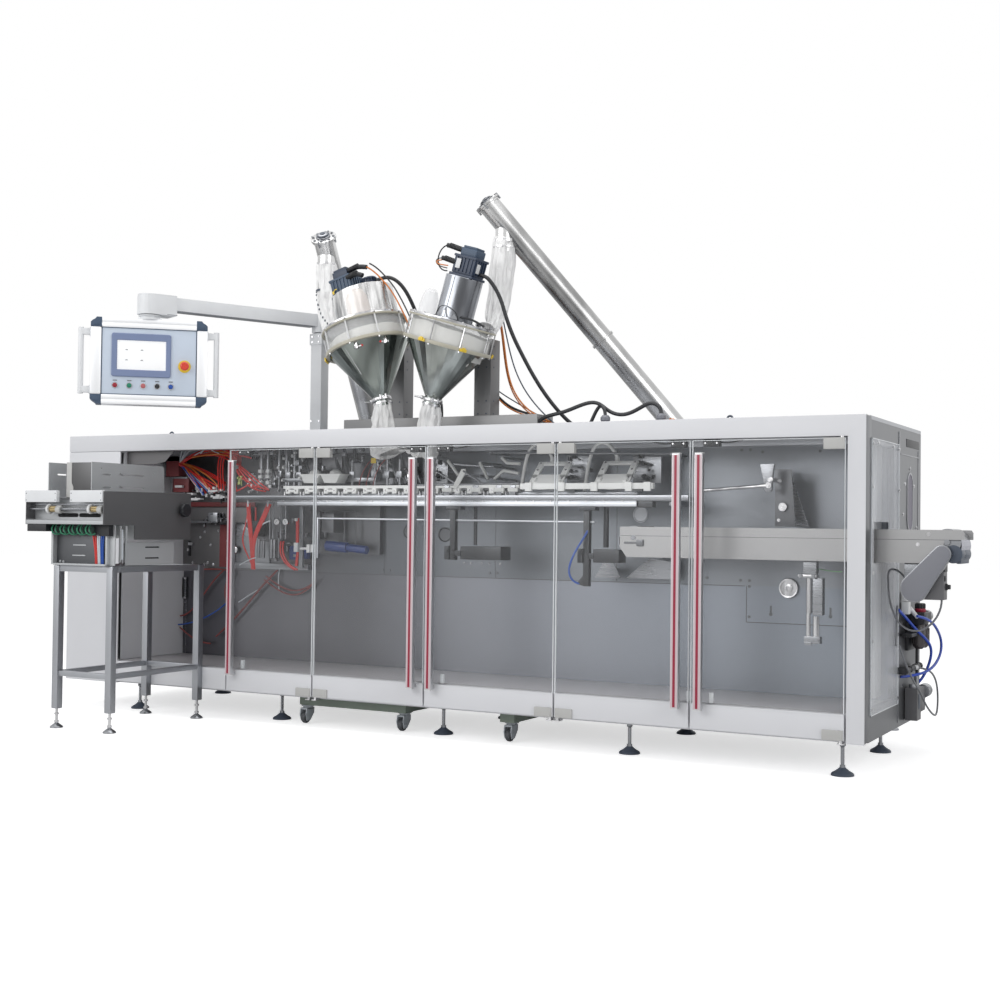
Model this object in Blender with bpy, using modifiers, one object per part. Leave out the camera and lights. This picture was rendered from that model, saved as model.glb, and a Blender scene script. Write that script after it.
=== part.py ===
"""Horizontal powder packaging machine: body with five glass doors, infeed unit, two tilted
screw fillers with their feeders, control panel on a swinging arm, and outfeed conveyor.
Machine frame: X along the body from its left end, Y from the front to the back, Z up."""

import math

import bmesh
import bpy
from mathutils import Matrix, Vector

# Driving dimensions, metres.
BODY_LENGTH = 4.10
BODY_DEPTH = 0.99
BODY_TOP = 1.385
BODY_BOTTOM = 0.136
DECK = 0.25
SHEET = 0.015
LEFT_WIDTH = 0.35
BAY_END = 1.043
POST_WIDTH = 0.07
FRONT_DEPTH = 0.06
RAIL_HEIGHT = 0.082
WALL_Y = 0.492
WALL = 0.008
END_WALL = 0.020
GAP = 0.0003

DOOR_Y = 0.008
PANE = 0.008
BAND = 0.010
DOOR_GAP = 0.008
HINGE_INSET = 0.014
HINGE_WIDTH = 0.070
HANDLE_INSET = 0.044
HANDLE_WIDTH = 0.033
BARREL = 0.012
PIN = 0.008
DOOR_WIDTHS = (0.498, 0.597, 0.632, 0.596, 0.617)
# Side of each door's hinges: 1 is right.
DOOR_SIDES = (1, -1, 1, -1, 1)

FEET = ((0.402, 0.117), (1.248, 0.184), (2.155, 0.187), (3.090, 0.135), (3.995, 0.093),
        (0.335, 0.848), (1.248, 0.800), (2.155, 0.800), (3.090, 0.800), (3.987, 0.754))
FOOT_RADIUS = 0.045
CASTERS = ((1.434, 0.141), (1.957, 0.170), (2.520, 0.158))
CASTER_TOP = 0.088
WHEEL_RADIUS = 0.027
WHEEL_WIDTH = 0.021
WHEEL_LIFT = 0.0025
BEAM = 0.05

POUCH_Y = 0.25
RAIL_TOP = 1.083
LEAN = math.radians(16.5)
# (name, side, x of the outlet, its height over the roof)
CONE_TIPS = (("left", -1, 1.751, 0.162), ("right", 1, 2.039, 0.152))
CONE_LENGTH = 0.247
DRUM_HEIGHT = 0.113
DRUM_RADIUS = 0.195
DRUM_WALL = 0.006
RIM = 0.006
LID = 0.010
OUTLET_RADIUS = 0.038
COLUMN = 0.09
COLUMN_SHIFT = {"left": 0.013, "right": 0.066}
TRAY_TOP = 0.082

POST = (1.249, 0.450)
POST_SIDE = 0.055
NECK = (0.870, -0.368)
ARM_RISE = 0.523
ARM_DEPTH = 0.096
PANEL_DROP = 0.020
PANEL_SIZE = (0.525, 0.085, 0.400)
PANEL_YAW = math.radians(42.5)
GRIP_OUT = 0.0425

TUBE_RADIUS = 0.053
SPOUT_RADIUS = 0.045
HOPPER_TOP = 0.900
HOPPER_WIDTH = 0.520
# (name, upper end and a point lower down with heights over the roof, distance down to the
# spout, height of the spout's lower end, inlet on the lid in the filler's own frame)
FEEDERS = (("left", (1.286, 0.420, 0.987), (1.130, 1.080, 0.136), 0.060, 0.740,
            (-0.160, 0.050)),
           ("right", (2.189, 0.494, 1.089), (2.879, 1.060, 0.107), 0.115, 0.865,
            (0.105, 0.118)))
LEAD_RADIUS = 0.009
LEAD_GAP = 0.0005
# Held leads: name, (x, height) of the first points in the filler's own frame, and the
# points down to the tray, with heights over the roof.
LEADS = (("left", ((0.127, 0.548), (0.165, 0.548), (0.205, 0.540)),
          ((1.845, 0.275, 0.700), (1.880, 0.315, 0.615), (1.905, 0.370, 0.485),
           (1.922, 0.430, 0.355), (1.925, 0.490, 0.215), (1.925, 0.520, 0.140))),
         ("right", ((0.074, 0.600), (0.096, 0.600), (0.120, 0.600)),
          ((2.368, 0.275, 0.625), (2.385, 0.310, 0.520), (2.390, 0.350, 0.400),
           (2.405, 0.395, 0.290), (2.420, 0.440, 0.200), (2.425, 0.490, 0.130))))

BELT_TOP = 0.945
CONVEYOR_START = 3.012
CONVEYOR_OUT = 0.332
CONVEYOR_Y = (0.150, 0.350)
CONVEYOR_DEPTH = 0.123

AIR_TOP = 0.640

INFEED_X = (0.441, 0.920)
LEG = 0.035
STAND_TOP = 0.745
STAND_Y = (-0.600, -0.0148)
MAGAZINE = 1.050

# Sizes that follow from the others.
RAIL_BOTTOM = BODY_TOP - RAIL_HEIGHT
CABINET_Y = WALL_Y + WALL
END_X = BODY_LENGTH - END_WALL
DOOR_BOTTOM = BODY_BOTTOM + 0.009
BAND_TOP = DECK - 0.004
DOOR_TOP = RAIL_BOTTOM - 0.006
HANDLE_Z = (BAND_TOP - 0.021, DOOR_TOP - 0.054)
ARM_BOTTOM = BODY_TOP + ARM_RISE
ARM_TOP = ARM_BOTTOM + ARM_DEPTH
PANEL_TOP = ARM_BOTTOM - PANEL_DROP
CONVEYOR_X = (CONVEYOR_START, BODY_LENGTH + CONVEYOR_OUT)
COLUMN_Y = POUCH_Y + DRUM_RADIUS + RIM + 0.024

# Space the assembly takes up, which sets its origin: middle of the footprint, on the floor.
X_RANGE = (0.0, 4.4477)
Y_RANGE = (-0.703, 2.2094)
ORIGIN = Vector(((X_RANGE[0] + X_RANGE[1]) / 2, (Y_RANGE[0] + Y_RANGE[1]) / 2, 0))

COLOURS = {
    "white_paint": ((0.80, 0.80, 0.82), 0.35, 0.0),
    "stainless": ((0.62, 0.62, 0.63), 0.28, 1.0),
    "dark_steel": ((0.30, 0.30, 0.32), 0.40, 1.0),
    "aluminium": ((0.78, 0.79, 0.80), 0.30, 1.0),
    "clear_acrylic": ((0.92, 0.94, 0.96), 0.05, 0.0),
    "fabric": ((0.88, 0.87, 0.84), 0.85, 0.0),
    "olive_paint": ((0.20, 0.24, 0.18), 0.50, 0.0),
    "black_plastic": ((0.03, 0.03, 0.035), 0.40, 0.0),
    "rubber": ((0.05, 0.05, 0.05), 0.70, 0.0),
    "grey_plastic": ((0.60, 0.62, 0.65), 0.40, 0.0),
}


def material(name):
    """Principled material of one of the named finishes."""
    found = bpy.data.materials.get(name)
    if found:
        return found
    colour, roughness, metallic = COLOURS[name]
    made = bpy.data.materials.new(name)
    made.use_nodes = True
    shader = made.node_tree.nodes["Principled BSDF"]
    shader.inputs["Base Color"].default_value = (*colour, 1)
    shader.inputs["Roughness"].default_value = roughness
    shader.inputs["Metallic"].default_value = metallic
    if name == "clear_acrylic":
        shader.inputs["Alpha"].default_value = 0.3
    return made


def shape(bm):
    """A loose mesh object of this bmesh, with its faces turned outwards."""
    bmesh.ops.recalc_face_normals(bm, faces=bm.faces)
    mesh = bpy.data.meshes.new("shape")
    bm.to_mesh(mesh)
    bm.free()
    made = bpy.data.objects.new("shape", mesh)
    SCRATCH.objects.link(made)
    return made


def box(x, y, z):
    """Box between pairs of limits along X, Y and Z."""
    bm = bmesh.new()
    bmesh.ops.create_cube(bm, size=1)
    sizes = [high - low for low, high in (x, y, z)]
    middle = [(low + high) / 2 for low, high in (x, y, z)]
    bmesh.ops.scale(bm, vec=sizes, verts=bm.verts)
    bmesh.ops.translate(bm, vec=middle, verts=bm.verts)
    return shape(bm)


def rod(start, end, radius, sides=16, end_radius=None):
    """Round bar, or a cone when end_radius differs."""
    start, end = Vector(start), Vector(end)
    bm = bmesh.new()
    bmesh.ops.create_cone(bm, cap_ends=True, segments=sides, radius1=radius,
                          radius2=radius if end_radius is None else end_radius,
                          depth=(end - start).length)
    turn = Vector((0, 0, 1)).rotation_difference(end - start).to_matrix().to_4x4()
    bmesh.ops.transform(bm, matrix=Matrix.Translation((start + end) / 2) @ turn, verts=bm.verts)
    return shape(bm)


def frozen(original):
    """A mesh object with the evaluated shape of a curve or of an object with modifiers."""
    SCRATCH.objects.link(original)
    bpy.context.view_layer.update()
    graph = bpy.context.evaluated_depsgraph_get()
    mesh = bpy.data.meshes.new_from_object(original.evaluated_get(graph))
    bm = bmesh.new()
    bm.from_mesh(mesh)
    bmesh.ops.remove_doubles(bm, verts=bm.verts, dist=0.00001)
    bpy.data.objects.remove(original)
    return shape(bm)


def curve(points, dimensions, closed):
    """Curve data with one poly spline through the points."""
    data = bpy.data.curves.new("curve", "CURVE")
    data.dimensions = dimensions
    spline = data.splines.new("POLY")
    spline.points.add(len(points) - 1)
    for point, place in zip(spline.points, points):
        point.co = (*place, 1)
    spline.use_cyclic_u = closed
    return data


def plate(outline, axis, low, high):
    """Flat plate: the outline's two coordinates are the axes other than the named one."""
    data = curve([(a, b, 0) for a, b in outline], "2D", True)
    data.fill_mode = "BOTH"
    data.extrude = (high - low) / 2
    turn = {"x": Matrix(((0, 0, 1), (1, 0, 0), (0, 1, 0))),
            "y": Matrix(((1, 0, 0), (0, 0, 1), (0, 1, 0))),
            "z": Matrix.Identity(3)}[axis].to_4x4()
    middle = Vector([(low + high) / 2 if name == axis else 0 for name in "xyz"])
    solid = placed(frozen(bpy.data.objects.new("outline", data)),
                   Matrix.Translation(middle) @ turn)
    if axis == "y":
        solid.data.flip_normals()
    return solid


def wire(points, radius, resolution=2):
    """Round cord along the points, its ends closed."""
    data = curve(points, "3D", False)
    data.bevel_depth = radius
    data.bevel_resolution = resolution
    data.use_fill_caps = True
    return frozen(bpy.data.objects.new("cord", data))


def turned(profile, sides=32):
    """Ring-shaped solid: a closed profile of (radius, height) points screwed around Z."""
    mesh = bpy.data.meshes.new("profile")
    count = len(profile)
    mesh.from_pydata([(radius, 0, height) for radius, height in profile],
                     [(k, (k + 1) % count) for k in range(count)], [])
    ring = bpy.data.objects.new("profile", mesh)
    screw = ring.modifiers.new("turn", "SCREW")
    screw.steps = screw.render_steps = sides
    screw.use_merge_vertices = True
    screw.merge_threshold = 0.00001
    return frozen(ring)


def placed(piece, matrix):
    """The same piece after a move or a turn."""
    piece.data.transform(matrix)
    return piece


def obround(start, end, radius, steps=8):
    """Outline of a slot shape between two points."""
    heading = math.atan2(end[1] - start[1], end[0] - start[0])
    outline = []
    for centre, first in ((end, heading - math.pi / 2), (start, heading + math.pi / 2)):
        for k in range(steps + 1):
            angle = first + math.pi * k / steps
            outline.append((centre[0] + radius * math.cos(angle),
                            centre[1] + radius * math.sin(angle)))
    return outline


def node(name, shapes, finish, pivot=(0, 0, 0), holes=()):
    """Joins the shapes into one solid, cuts the holes, and hangs it in the assembly."""
    body = shapes[0]
    for kind, others in (("UNION", shapes[1:]), ("DIFFERENCE", holes)):
        for other in others:
            step = body.modifiers.new(kind.lower(), "BOOLEAN")
            step.operation = kind
            step.solver = "EXACT"
            step.object = other
    bpy.context.view_layer.update()
    graph = bpy.context.evaluated_depsgraph_get()
    mesh = bpy.data.meshes.new_from_object(body.evaluated_get(graph))
    mesh.transform(Matrix.Translation(-Vector(pivot)))
    mesh.name = name
    mesh.materials.clear()
    mesh.materials.append(material(finish))
    mesh.shade_smooth()
    mesh.set_sharp_from_angle(angle=math.radians(30))
    made = bpy.data.objects.new(name, mesh)
    MACHINE.objects.link(made)
    made.parent = ROOT
    made.location = pivot
    for piece in (*shapes, *holes):
        bpy.data.objects.remove(piece)
    return made


def tilted(side, x, rise):
    """Matrix from a filler's own upright frame, with its outlet at the origin."""
    return (Matrix.Translation((x, POUCH_Y, BODY_TOP + rise))
            @ Matrix.Rotation(side * LEAN, 4, "Y"))


def door_spans():
    """Left edge, right edge, handle and hinge axis of each door, and its hinge side."""
    left = BAY_END + DOOR_GAP - 0.001
    last = BODY_LENGTH - POST_WIDTH - DOOR_GAP
    room = last - left - DOOR_GAP * (len(DOOR_WIDTHS) - 1)
    spans = []
    for width, side in zip(DOOR_WIDTHS, DOOR_SIDES):
        right = left + width * room / sum(DOOR_WIDTHS)
        if side > 0:
            spans.append((left, right, left + HANDLE_INSET, right - HINGE_INSET, side))
        else:
            spans.append((left, right, right - HANDLE_INSET, left + HINGE_INSET, side))
        left = right + DOOR_GAP
    return spans


def base_frame():
    """Welded base slab with its levelling feet and the doors' lower pivots."""
    shapes = [box((0.004, END_X - GAP), (0.030, 0.985), (BODY_BOTTOM, DECK - GAP))]
    for x, y in FEET:
        shapes.append(rod((x, y, 0.0), (x, y, 0.012), FOOT_RADIUS, 16, FOOT_RADIUS - 0.005))
        shapes.append(rod((x, y, 0.010), (x, y, 0.030), 0.022, 12, 0.012))
        shapes.append(rod((x, y, 0.025), (x, y, BODY_BOTTOM + 0.014), 0.008, 8))
        shapes.append(rod((x, y, BODY_BOTTOM - 0.018), (x, y, BODY_BOTTOM + 0.004), 0.014, 6))
    for *_, x, side in door_spans():
        shapes.append(box((x - 0.013, x + 0.013), (DOOR_Y - 0.014, 0.036),
                          (BODY_BOTTOM - 0.006, DOOR_BOTTOM - 0.0055)))
        shapes.append(rod((x, DOOR_Y, BODY_BOTTOM - 0.001), (x, DOOR_Y, DOOR_BOTTOM - GAP),
                          PIN, 16))
    node("base_frame", shapes, "white_paint")


def caster_frames():
    """Beams under the base that carry the casters."""
    top, bottom = BODY_BOTTOM - GAP, CASTER_TOP
    (x0, y0), (x1, y1), (x2, y2) = CASTERS
    half = BEAM / 2
    shapes = [box((x0 - 0.035, x1 + 0.035), (y0 - 0.020, y0 + 0.045), (bottom, top))]
    for x in (x0, x1):
        shapes.append(box((x - half, x + half), (y0 - 0.020, 0.860), (bottom, top)))
    node("caster_frame", shapes, "olive_paint")
    node("caster_beam", [box((x2 - 0.035, x2 + 0.035), (y2 - 0.045, 0.860), (bottom, top))],
         "olive_paint")


def casters():
    """Swivelling forks with their wheels, a little above the floor."""
    for i, (x, y) in enumerate(CASTERS, 1):
        top = CASTER_TOP - GAP
        axle = Vector((x, y - 0.018, WHEEL_LIFT + WHEEL_RADIUS))
        fork = [rod((x, y, top - 0.006), (x, y, top), 0.032, 20),
                rod((x, y, top - 0.016), (x, y, top - 0.004), 0.024, 20)]
        for side in (-1, 1):
            out = Vector((side, 0, 0))
            rim = WHEEL_WIDTH / 2
            fork.append(rod(axle + out * (rim + GAP), axle + out * (rim + 0.012), 0.006, 12))
            low, high = sorted((side * (rim + 0.005), side * (rim + 0.010)))
            outline = [(y - 0.034, 0.018), (y - 0.006, 0.018), (y + 0.024, 0.050),
                       (y + 0.024, top - 0.012), (y - 0.034, top - 0.012), (y - 0.040, 0.045)]
            fork.append(plate(outline, "x", x + low, x + high))
        fork.append(box((x - rim - 0.0075, x + rim + 0.0075), (y - 0.036, y + 0.024),
                        (top - 0.020, top - 0.012)))
        node(f"caster_fork_{i}", fork, "white_paint", (x, y, top))
        wheel = rod(axle - Vector((rim, 0, 0)), axle + Vector((rim, 0, 0)), WHEEL_RADIUS, 24)
        node(f"caster_wheel_{i}", [wheel], "rubber", axle)


def housings():
    """Closed left housing with the kick panel, the rear cabinet, and the roof."""
    left = [box((0, LEFT_WIDTH), (FRONT_DEPTH + GAP, WALL_Y - 2 * GAP),
                (DECK, BODY_TOP - SHEET - GAP)),
            box((0, LEFT_WIDTH), (0, FRONT_DEPTH + 0.01), (DECK, RAIL_BOTTOM - GAP)),
            box((0, LEFT_WIDTH), (0, 0.0295), (BODY_BOTTOM, DECK + 0.01)),
            box((LEFT_WIDTH - 0.01, BAY_END), (0.003, 0.013), (DOOR_BOTTOM, BAND_TOP))]
    node("left_housing", left, "white_paint")
    node("rear_cabinet", [box((0, END_X - GAP), (CABINET_Y, BODY_DEPTH),
                              (DECK, BODY_TOP - SHEET - GAP))], "stainless")
    roof = box((0, BODY_LENGTH), (FRONT_DEPTH + GAP, BODY_DEPTH), (BODY_TOP - SHEET, BODY_TOP))
    mouth = box((1.70, 2.09), (0.13, 0.37), (BODY_TOP - 0.1, BODY_TOP + 0.1))
    node("roof_panel", [roof], "stainless", holes=[mouth])


def front_frame():
    """Top rail along the front with the doors' upper pivots, and the post at its right end."""
    rail = box((0, BODY_LENGTH), (0, FRONT_DEPTH), (RAIL_BOTTOM, BODY_TOP))
    post = box((BODY_LENGTH - POST_WIDTH, BODY_LENGTH), (0, FRONT_DEPTH),
               (BODY_BOTTOM - 0.002, RAIL_BOTTOM + 0.01))
    cut = box((BODY_LENGTH - POST_WIDTH - 0.01, END_X), (0.0295, FRONT_DEPTH + 0.01),
              (BODY_BOTTOM - 0.01, DECK))
    pins = [rod((x, DOOR_Y, DOOR_TOP + 0.001 + GAP), (x, DOOR_Y, RAIL_BOTTOM + 0.005), PIN, 16)
            for *_, x, side in door_spans()]
    node("front_frame", [rail, post, *pins], "white_paint", holes=[cut])


def inner_wall():
    """Wall behind the working row, with its raised stainless plates."""
    shapes = [box((LEFT_WIDTH + GAP, END_X - GAP), (WALL_Y, CABINET_Y - GAP),
                  (DECK, BODY_TOP - SHEET - GAP)),
              box((LEFT_WIDTH + 0.010, 3.48), (WALL_Y - 0.006, WALL_Y + 0.002),
                  (0.702, BODY_TOP - 0.035)),
              box((3.47, END_X - 0.010), (WALL_Y - 0.008, WALL_Y + 0.002),
                  (0.549, BODY_TOP - 0.035))]
    node("inner_wall", shapes, "stainless")


def end_wall():
    """Right end wall with its window, and the clear panel over the window."""
    wall = box((END_X, BODY_LENGTH), (FRONT_DEPTH + GAP, BODY_DEPTH),
               (BODY_BOTTOM, BODY_TOP - SHEET - GAP))
    window = box((END_X - 0.01, BODY_LENGTH + 0.01), (0.105, 0.475),
                 (DECK + 0.01, BODY_TOP - 0.105))
    node("end_wall", [wall], "stainless", holes=[window])
    panel = box((BODY_LENGTH + GAP, BODY_LENGTH + 0.006), (0.080, 0.550),
                (DECK - 0.015, BODY_TOP - 0.085))
    slot = box((BODY_LENGTH - 0.01, BODY_LENGTH + 0.02),
               (CONVEYOR_Y[0] - 0.04, CONVEYOR_Y[1] + 0.02),
               (BELT_TOP - CONVEYOR_DEPTH - 0.017, BELT_TOP + 0.020))
    node("end_window", [panel], "clear_acrylic", holes=[slot])


def doors():
    """Five hinged doors: a clear pane, and the band, handle and lower hinge under it."""
    for i, (left, right, handle, axis, side) in enumerate(door_spans(), 1):
        near, far = sorted((axis, axis - side * HINGE_WIDTH))
        pivot = (axis, DOOR_Y, 0)
        depth = (DOOR_Y - BARREL, DOOR_Y + BARREL)

        def hinge(low, high):
            return [box((near, far), depth, (low, high)),
                    rod((axis, DOOR_Y, low), (axis, DOOR_Y, high), BARREL, 20)]

        pane = box((left, right), (DOOR_Y - PANE / 2, DOOR_Y + PANE / 2),
                   (BAND_TOP + GAP, DOOR_TOP))
        node(f"door_{i}_pane", [pane, *hinge(DOOR_TOP - 0.043, DOOR_TOP + 0.001)],
             "clear_acrylic", pivot)
        band = box((left, right), (DOOR_Y - BAND / 2, DOOR_Y + BAND / 2),
                   (DOOR_BOTTOM, BAND_TOP))
        half = HANDLE_WIDTH / 2
        grip = box((handle - half, handle + half), (DOOR_Y - 0.053, DOOR_Y - 0.028), HANDLE_Z)
        foot = box((handle - 0.010, handle + 0.010), (DOOR_Y - 0.038, DOOR_Y),
                   (BAND_TOP - 0.018, BAND_TOP - 0.002))
        head = box((handle - 0.010, handle + 0.010),
                   (DOOR_Y - 0.038, DOOR_Y - PANE / 2 - GAP),
                   (HANDLE_Z[1] - 0.038, HANDLE_Z[1] - 0.018))
        node(f"door_{i}_trim", [band, foot, grip, head, *hinge(DOOR_BOTTOM, DOOR_BOTTOM + 0.039)],
             "aluminium", pivot)


def working_row():
    """Pouch rail, grippers, bag openers and the linkage that hangs below."""
    wall = WALL_Y - 0.006 - GAP
    y, z = POUCH_Y, RAIL_TOP
    rail = [box((0.93, 3.32), (y - 0.060, y + 0.040), (z - 0.023, z)),
            box((1.20, 3.09), (y - 0.065, y), (z - 0.049, z - 0.021))]
    for x in (1.70, 2.20, 2.76, 3.24):
        rail.append(box((x - 0.025, x + 0.025), (y - 0.010, wall), (z - 0.043, z - 0.013)))
    node("pouch_rail", rail, "stainless")

    row = [box((1.22, 3.08), (y - 0.035, y + 0.005), (z + GAP, z + 0.015))]
    for k in range(11):
        x = 1.275 + 0.113 * k
        row.append(box((x - 0.038, x + 0.038), (y - 0.052, y + 0.018), (z + 0.009, z + 0.039)))
    node("gripper_row", row, "aluminium")

    opener = [box((2.555, 3.240), (y - 0.090, y - 0.065), (z + 0.021, z + 0.051)),
              box((2.62, 2.66), (y - 0.075, wall), (z + 0.025, z + 0.045)),
              box((2.95, 2.99), (y - 0.075, wall), (z + 0.025, z + 0.045))]
    frames, windows = [], []
    for x in (2.585, 2.899):
        lean = (Matrix.Translation((x, y - 0.082, z + 0.047))
                @ Matrix.Rotation(math.radians(-46), 4, "X"))
        frames.append(placed(box((0, 0.163), (-0.005, 0.005), (0, 0.145)), lean))
        windows.append(placed(box((0.030, 0.133), (-0.02, 0.02), (0.050, 0.125)), lean))
    node("bag_opener", opener + frames, "white_paint", holes=windows)

    y -= 0.050
    linkage = [rod((1.430, y, z - 0.116), (2.890, y, z - 0.116), 0.005, 10)]
    for x, low in ((2.188, z - 0.293), (2.856, z - 0.393)):
        linkage.append(box((x - 0.014, x + 0.014), (y - 0.014, y + 0.014),
                           (low, z - 0.049 - GAP)))
    linkage.append(box((2.150, 2.440), (y - 0.010, y + 0.090), (z - 0.303, z - 0.257)))
    linkage.append(box((2.830, 3.000), (y - 0.010, y + 0.070), (z - 0.393, z - 0.293)))
    node("lower_linkage", linkage, "dark_steel")


def stations():
    """Valve station at the left and the discharge arm at the right."""
    wall = WALL_Y - 0.006 - GAP
    valve = [box((1.02, 1.62), (0.455, wall), (0.800, 1.330)),
             box((1.06, 1.30), (0.330, 0.460), (1.150, 1.270)),
             box((1.08, 1.16), (0.300, 0.460), (0.830, 0.960)),
             box((1.22, 1.30), (0.330, 0.460), (0.840, 1.010)),
             box((1.36, 1.42), (0.360, 0.460), (0.870, 1.000)),
             rod((1.46, 0.400, 0.840), (1.60, 0.400, 0.840), 0.032, 16),
             box((1.50, 1.56), (0.395, 0.460), (0.815, 0.865))]
    node("valve_station", valve, "stainless")
    step = WALL_Y - 0.008 - GAP
    y, z = POUCH_Y - 0.050, RAIL_TOP
    link = [(3.626, 0.125), (3.685, 0.127), (3.675, 0.016), (3.645, 0.016)]
    arm = [rod((3.360, y, z + 0.018), (3.662, y, z + 0.040), 0.007, 12),
           plate([(x, z + rise) for x, rise in link], "y", y - 0.008, y + 0.008)]
    for depth, right, foot in ((0.100, 3.724, 3.742), (0.210, 3.688, 3.766)):
        outline = [(3.656, 0.112), (right, 0.112), (foot, -0.126), (3.656, -0.126)]
        arm.append(plate([(x, z + rise) for x, rise in outline], "y", y + depth,
                         y + depth + 0.008))
    arm.append(rod((3.666, y, z + 0.062), (3.666, step, z + 0.062), 0.009, 14))
    arm.append(rod((3.692, y + 0.080, z - 0.046), (3.692, y + 0.105, z - 0.046), 0.019, 20))
    node("discharge_arm", arm, "stainless")


def outfeed():
    """Conveyor through the end wall, with its belt, drive and hanging bracket."""
    (x0, x1), (y0, y1) = CONVEYOR_X, CONVEYOR_Y
    roller = 0.0515
    mid = BELT_TOP - 0.055
    low, high = BELT_TOP - CONVEYOR_DEPTH, BELT_TOP - 0.009
    side = [(x0 + 0.030, low), (x1 - 0.020, low), (x1, low + 0.028), (x1, high),
            (x0, high), (x0, low + 0.048)]
    frame = [plate(side, "y", y0, y0 + 0.004), plate(side, "y", y1 - 0.004, y1),
             box((x0 + 0.188, x1 - 0.072), (y0 + 0.002, y1 - 0.002), (low, low + 0.006)),
             box((x0 + 0.12, x1 - 0.12), (y0 + 0.002, y1 - 0.002), (mid - 0.020, mid + 0.048))]
    for x in (x0 + 0.062, x1 - 0.062):
        frame.append(rod((x, y0 + 0.002, mid), (x, y1 - 0.002, mid), roller, 28))
    node("outfeed_frame", frame, "stainless")

    ends = ((x0 + 0.062, mid), (x1 - 0.062, mid))
    outer = plate(obround(*ends, 0.055, 12), "y", y0 + 0.008, y1 - 0.008)
    inner = plate(obround(*ends, 0.052, 12), "y", y0 - 0.01, y1 + 0.01)
    node("outfeed_belt", [outer], "white_paint", holes=[inner])

    foot, top = (x1 - 0.240, BELT_TOP - 0.217), (x1 - 0.034, BELT_TOP - 0.053)
    drive = [plate(obround(foot, top, 0.050), "y", y0 - 0.038, y0 - GAP),
             rod((foot[0], y0 - 0.01, foot[1]), (foot[0], y0 + 0.190, foot[1]), 0.046, 20),
             box((x1 - 0.182, x1 - 0.072), (y0 - 0.002, y0 + 0.070), (low - 0.110, low - 0.006)),
             rod((x1 - 0.102, y0 - 0.036, low - 0.060), (x1 - 0.102, y0 + 0.004, low - 0.060),
                 0.014, 12),
             box((x1 - 0.190, x1 - 0.132), (y0 - 0.020, y0 + 0.004), (low - 0.092, low - 0.062))]
    node("outfeed_drive", drive, "stainless")

    step = WALL_Y - 0.008 - GAP
    x, y = 3.840, y0 + 0.054
    bracket = [box((x - 0.018, x + 0.018), (y - 0.018, y + 0.018), (low - 0.339, low - GAP)),
               box((x - 0.018, x + 0.018), (y + 0.006, step), (low - 0.222, low - 0.182)),
               box((x - 0.045, x + 0.045), (y - 0.034, y + 0.034), (low - 0.047, low - 0.022)),
               box((x - 0.040, x + 0.040), (y - 0.028, y + 0.028), (low - 0.322, low - 0.306))]
    node("outfeed_bracket", bracket, "stainless")


def air_unit():
    """Compressed air service unit on the cabinet's end, and the regulator below it."""
    x, y = BODY_LENGTH + GAP, BODY_DEPTH - 0.175
    pipe = AIR_TOP - 0.270
    parts = [box((x, x + 0.012), (y - 0.125, y + 0.085), (AIR_TOP - 0.200, AIR_TOP)),
             box((x + 0.010, x + 0.075), (y - 0.110, y + 0.065), (AIR_TOP - 0.090, AIR_TOP - 0.035)),
             rod((x + 0.045, y - 0.040, AIR_TOP - 0.050), (x + 0.045, y - 0.040, AIR_TOP), 0.022, 16),
             rod((x + 0.045, y + 0.060, AIR_TOP - 0.060), (x + 0.045, y + 0.110, AIR_TOP - 0.060),
                 0.026, 20)]
    for step in (-0.060, 0.020):
        parts.append(rod((x + 0.045, y + step, AIR_TOP - 0.193),
                         (x + 0.045, y + step, AIR_TOP - 0.075), 0.027, 16))
    parts += [rod((x + 0.030, y - 0.270, pipe), (x + 0.030, y + 0.030, pipe), 0.013, 12),
              rod((x + 0.030, y - 0.030, AIR_TOP - 0.380), (x + 0.030, y - 0.030, AIR_TOP - 0.180),
                  0.011, 12),
              box((x, x + 0.055), (y - 0.135, y + 0.055), (AIR_TOP - 0.490, AIR_TOP - 0.350)),
              rod((x + 0.038, y + 0.050, AIR_TOP - 0.382), (x + 0.038, y + 0.120, AIR_TOP - 0.382),
                  0.030, 20)]
    node("air_unit", parts, "black_plastic")


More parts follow.
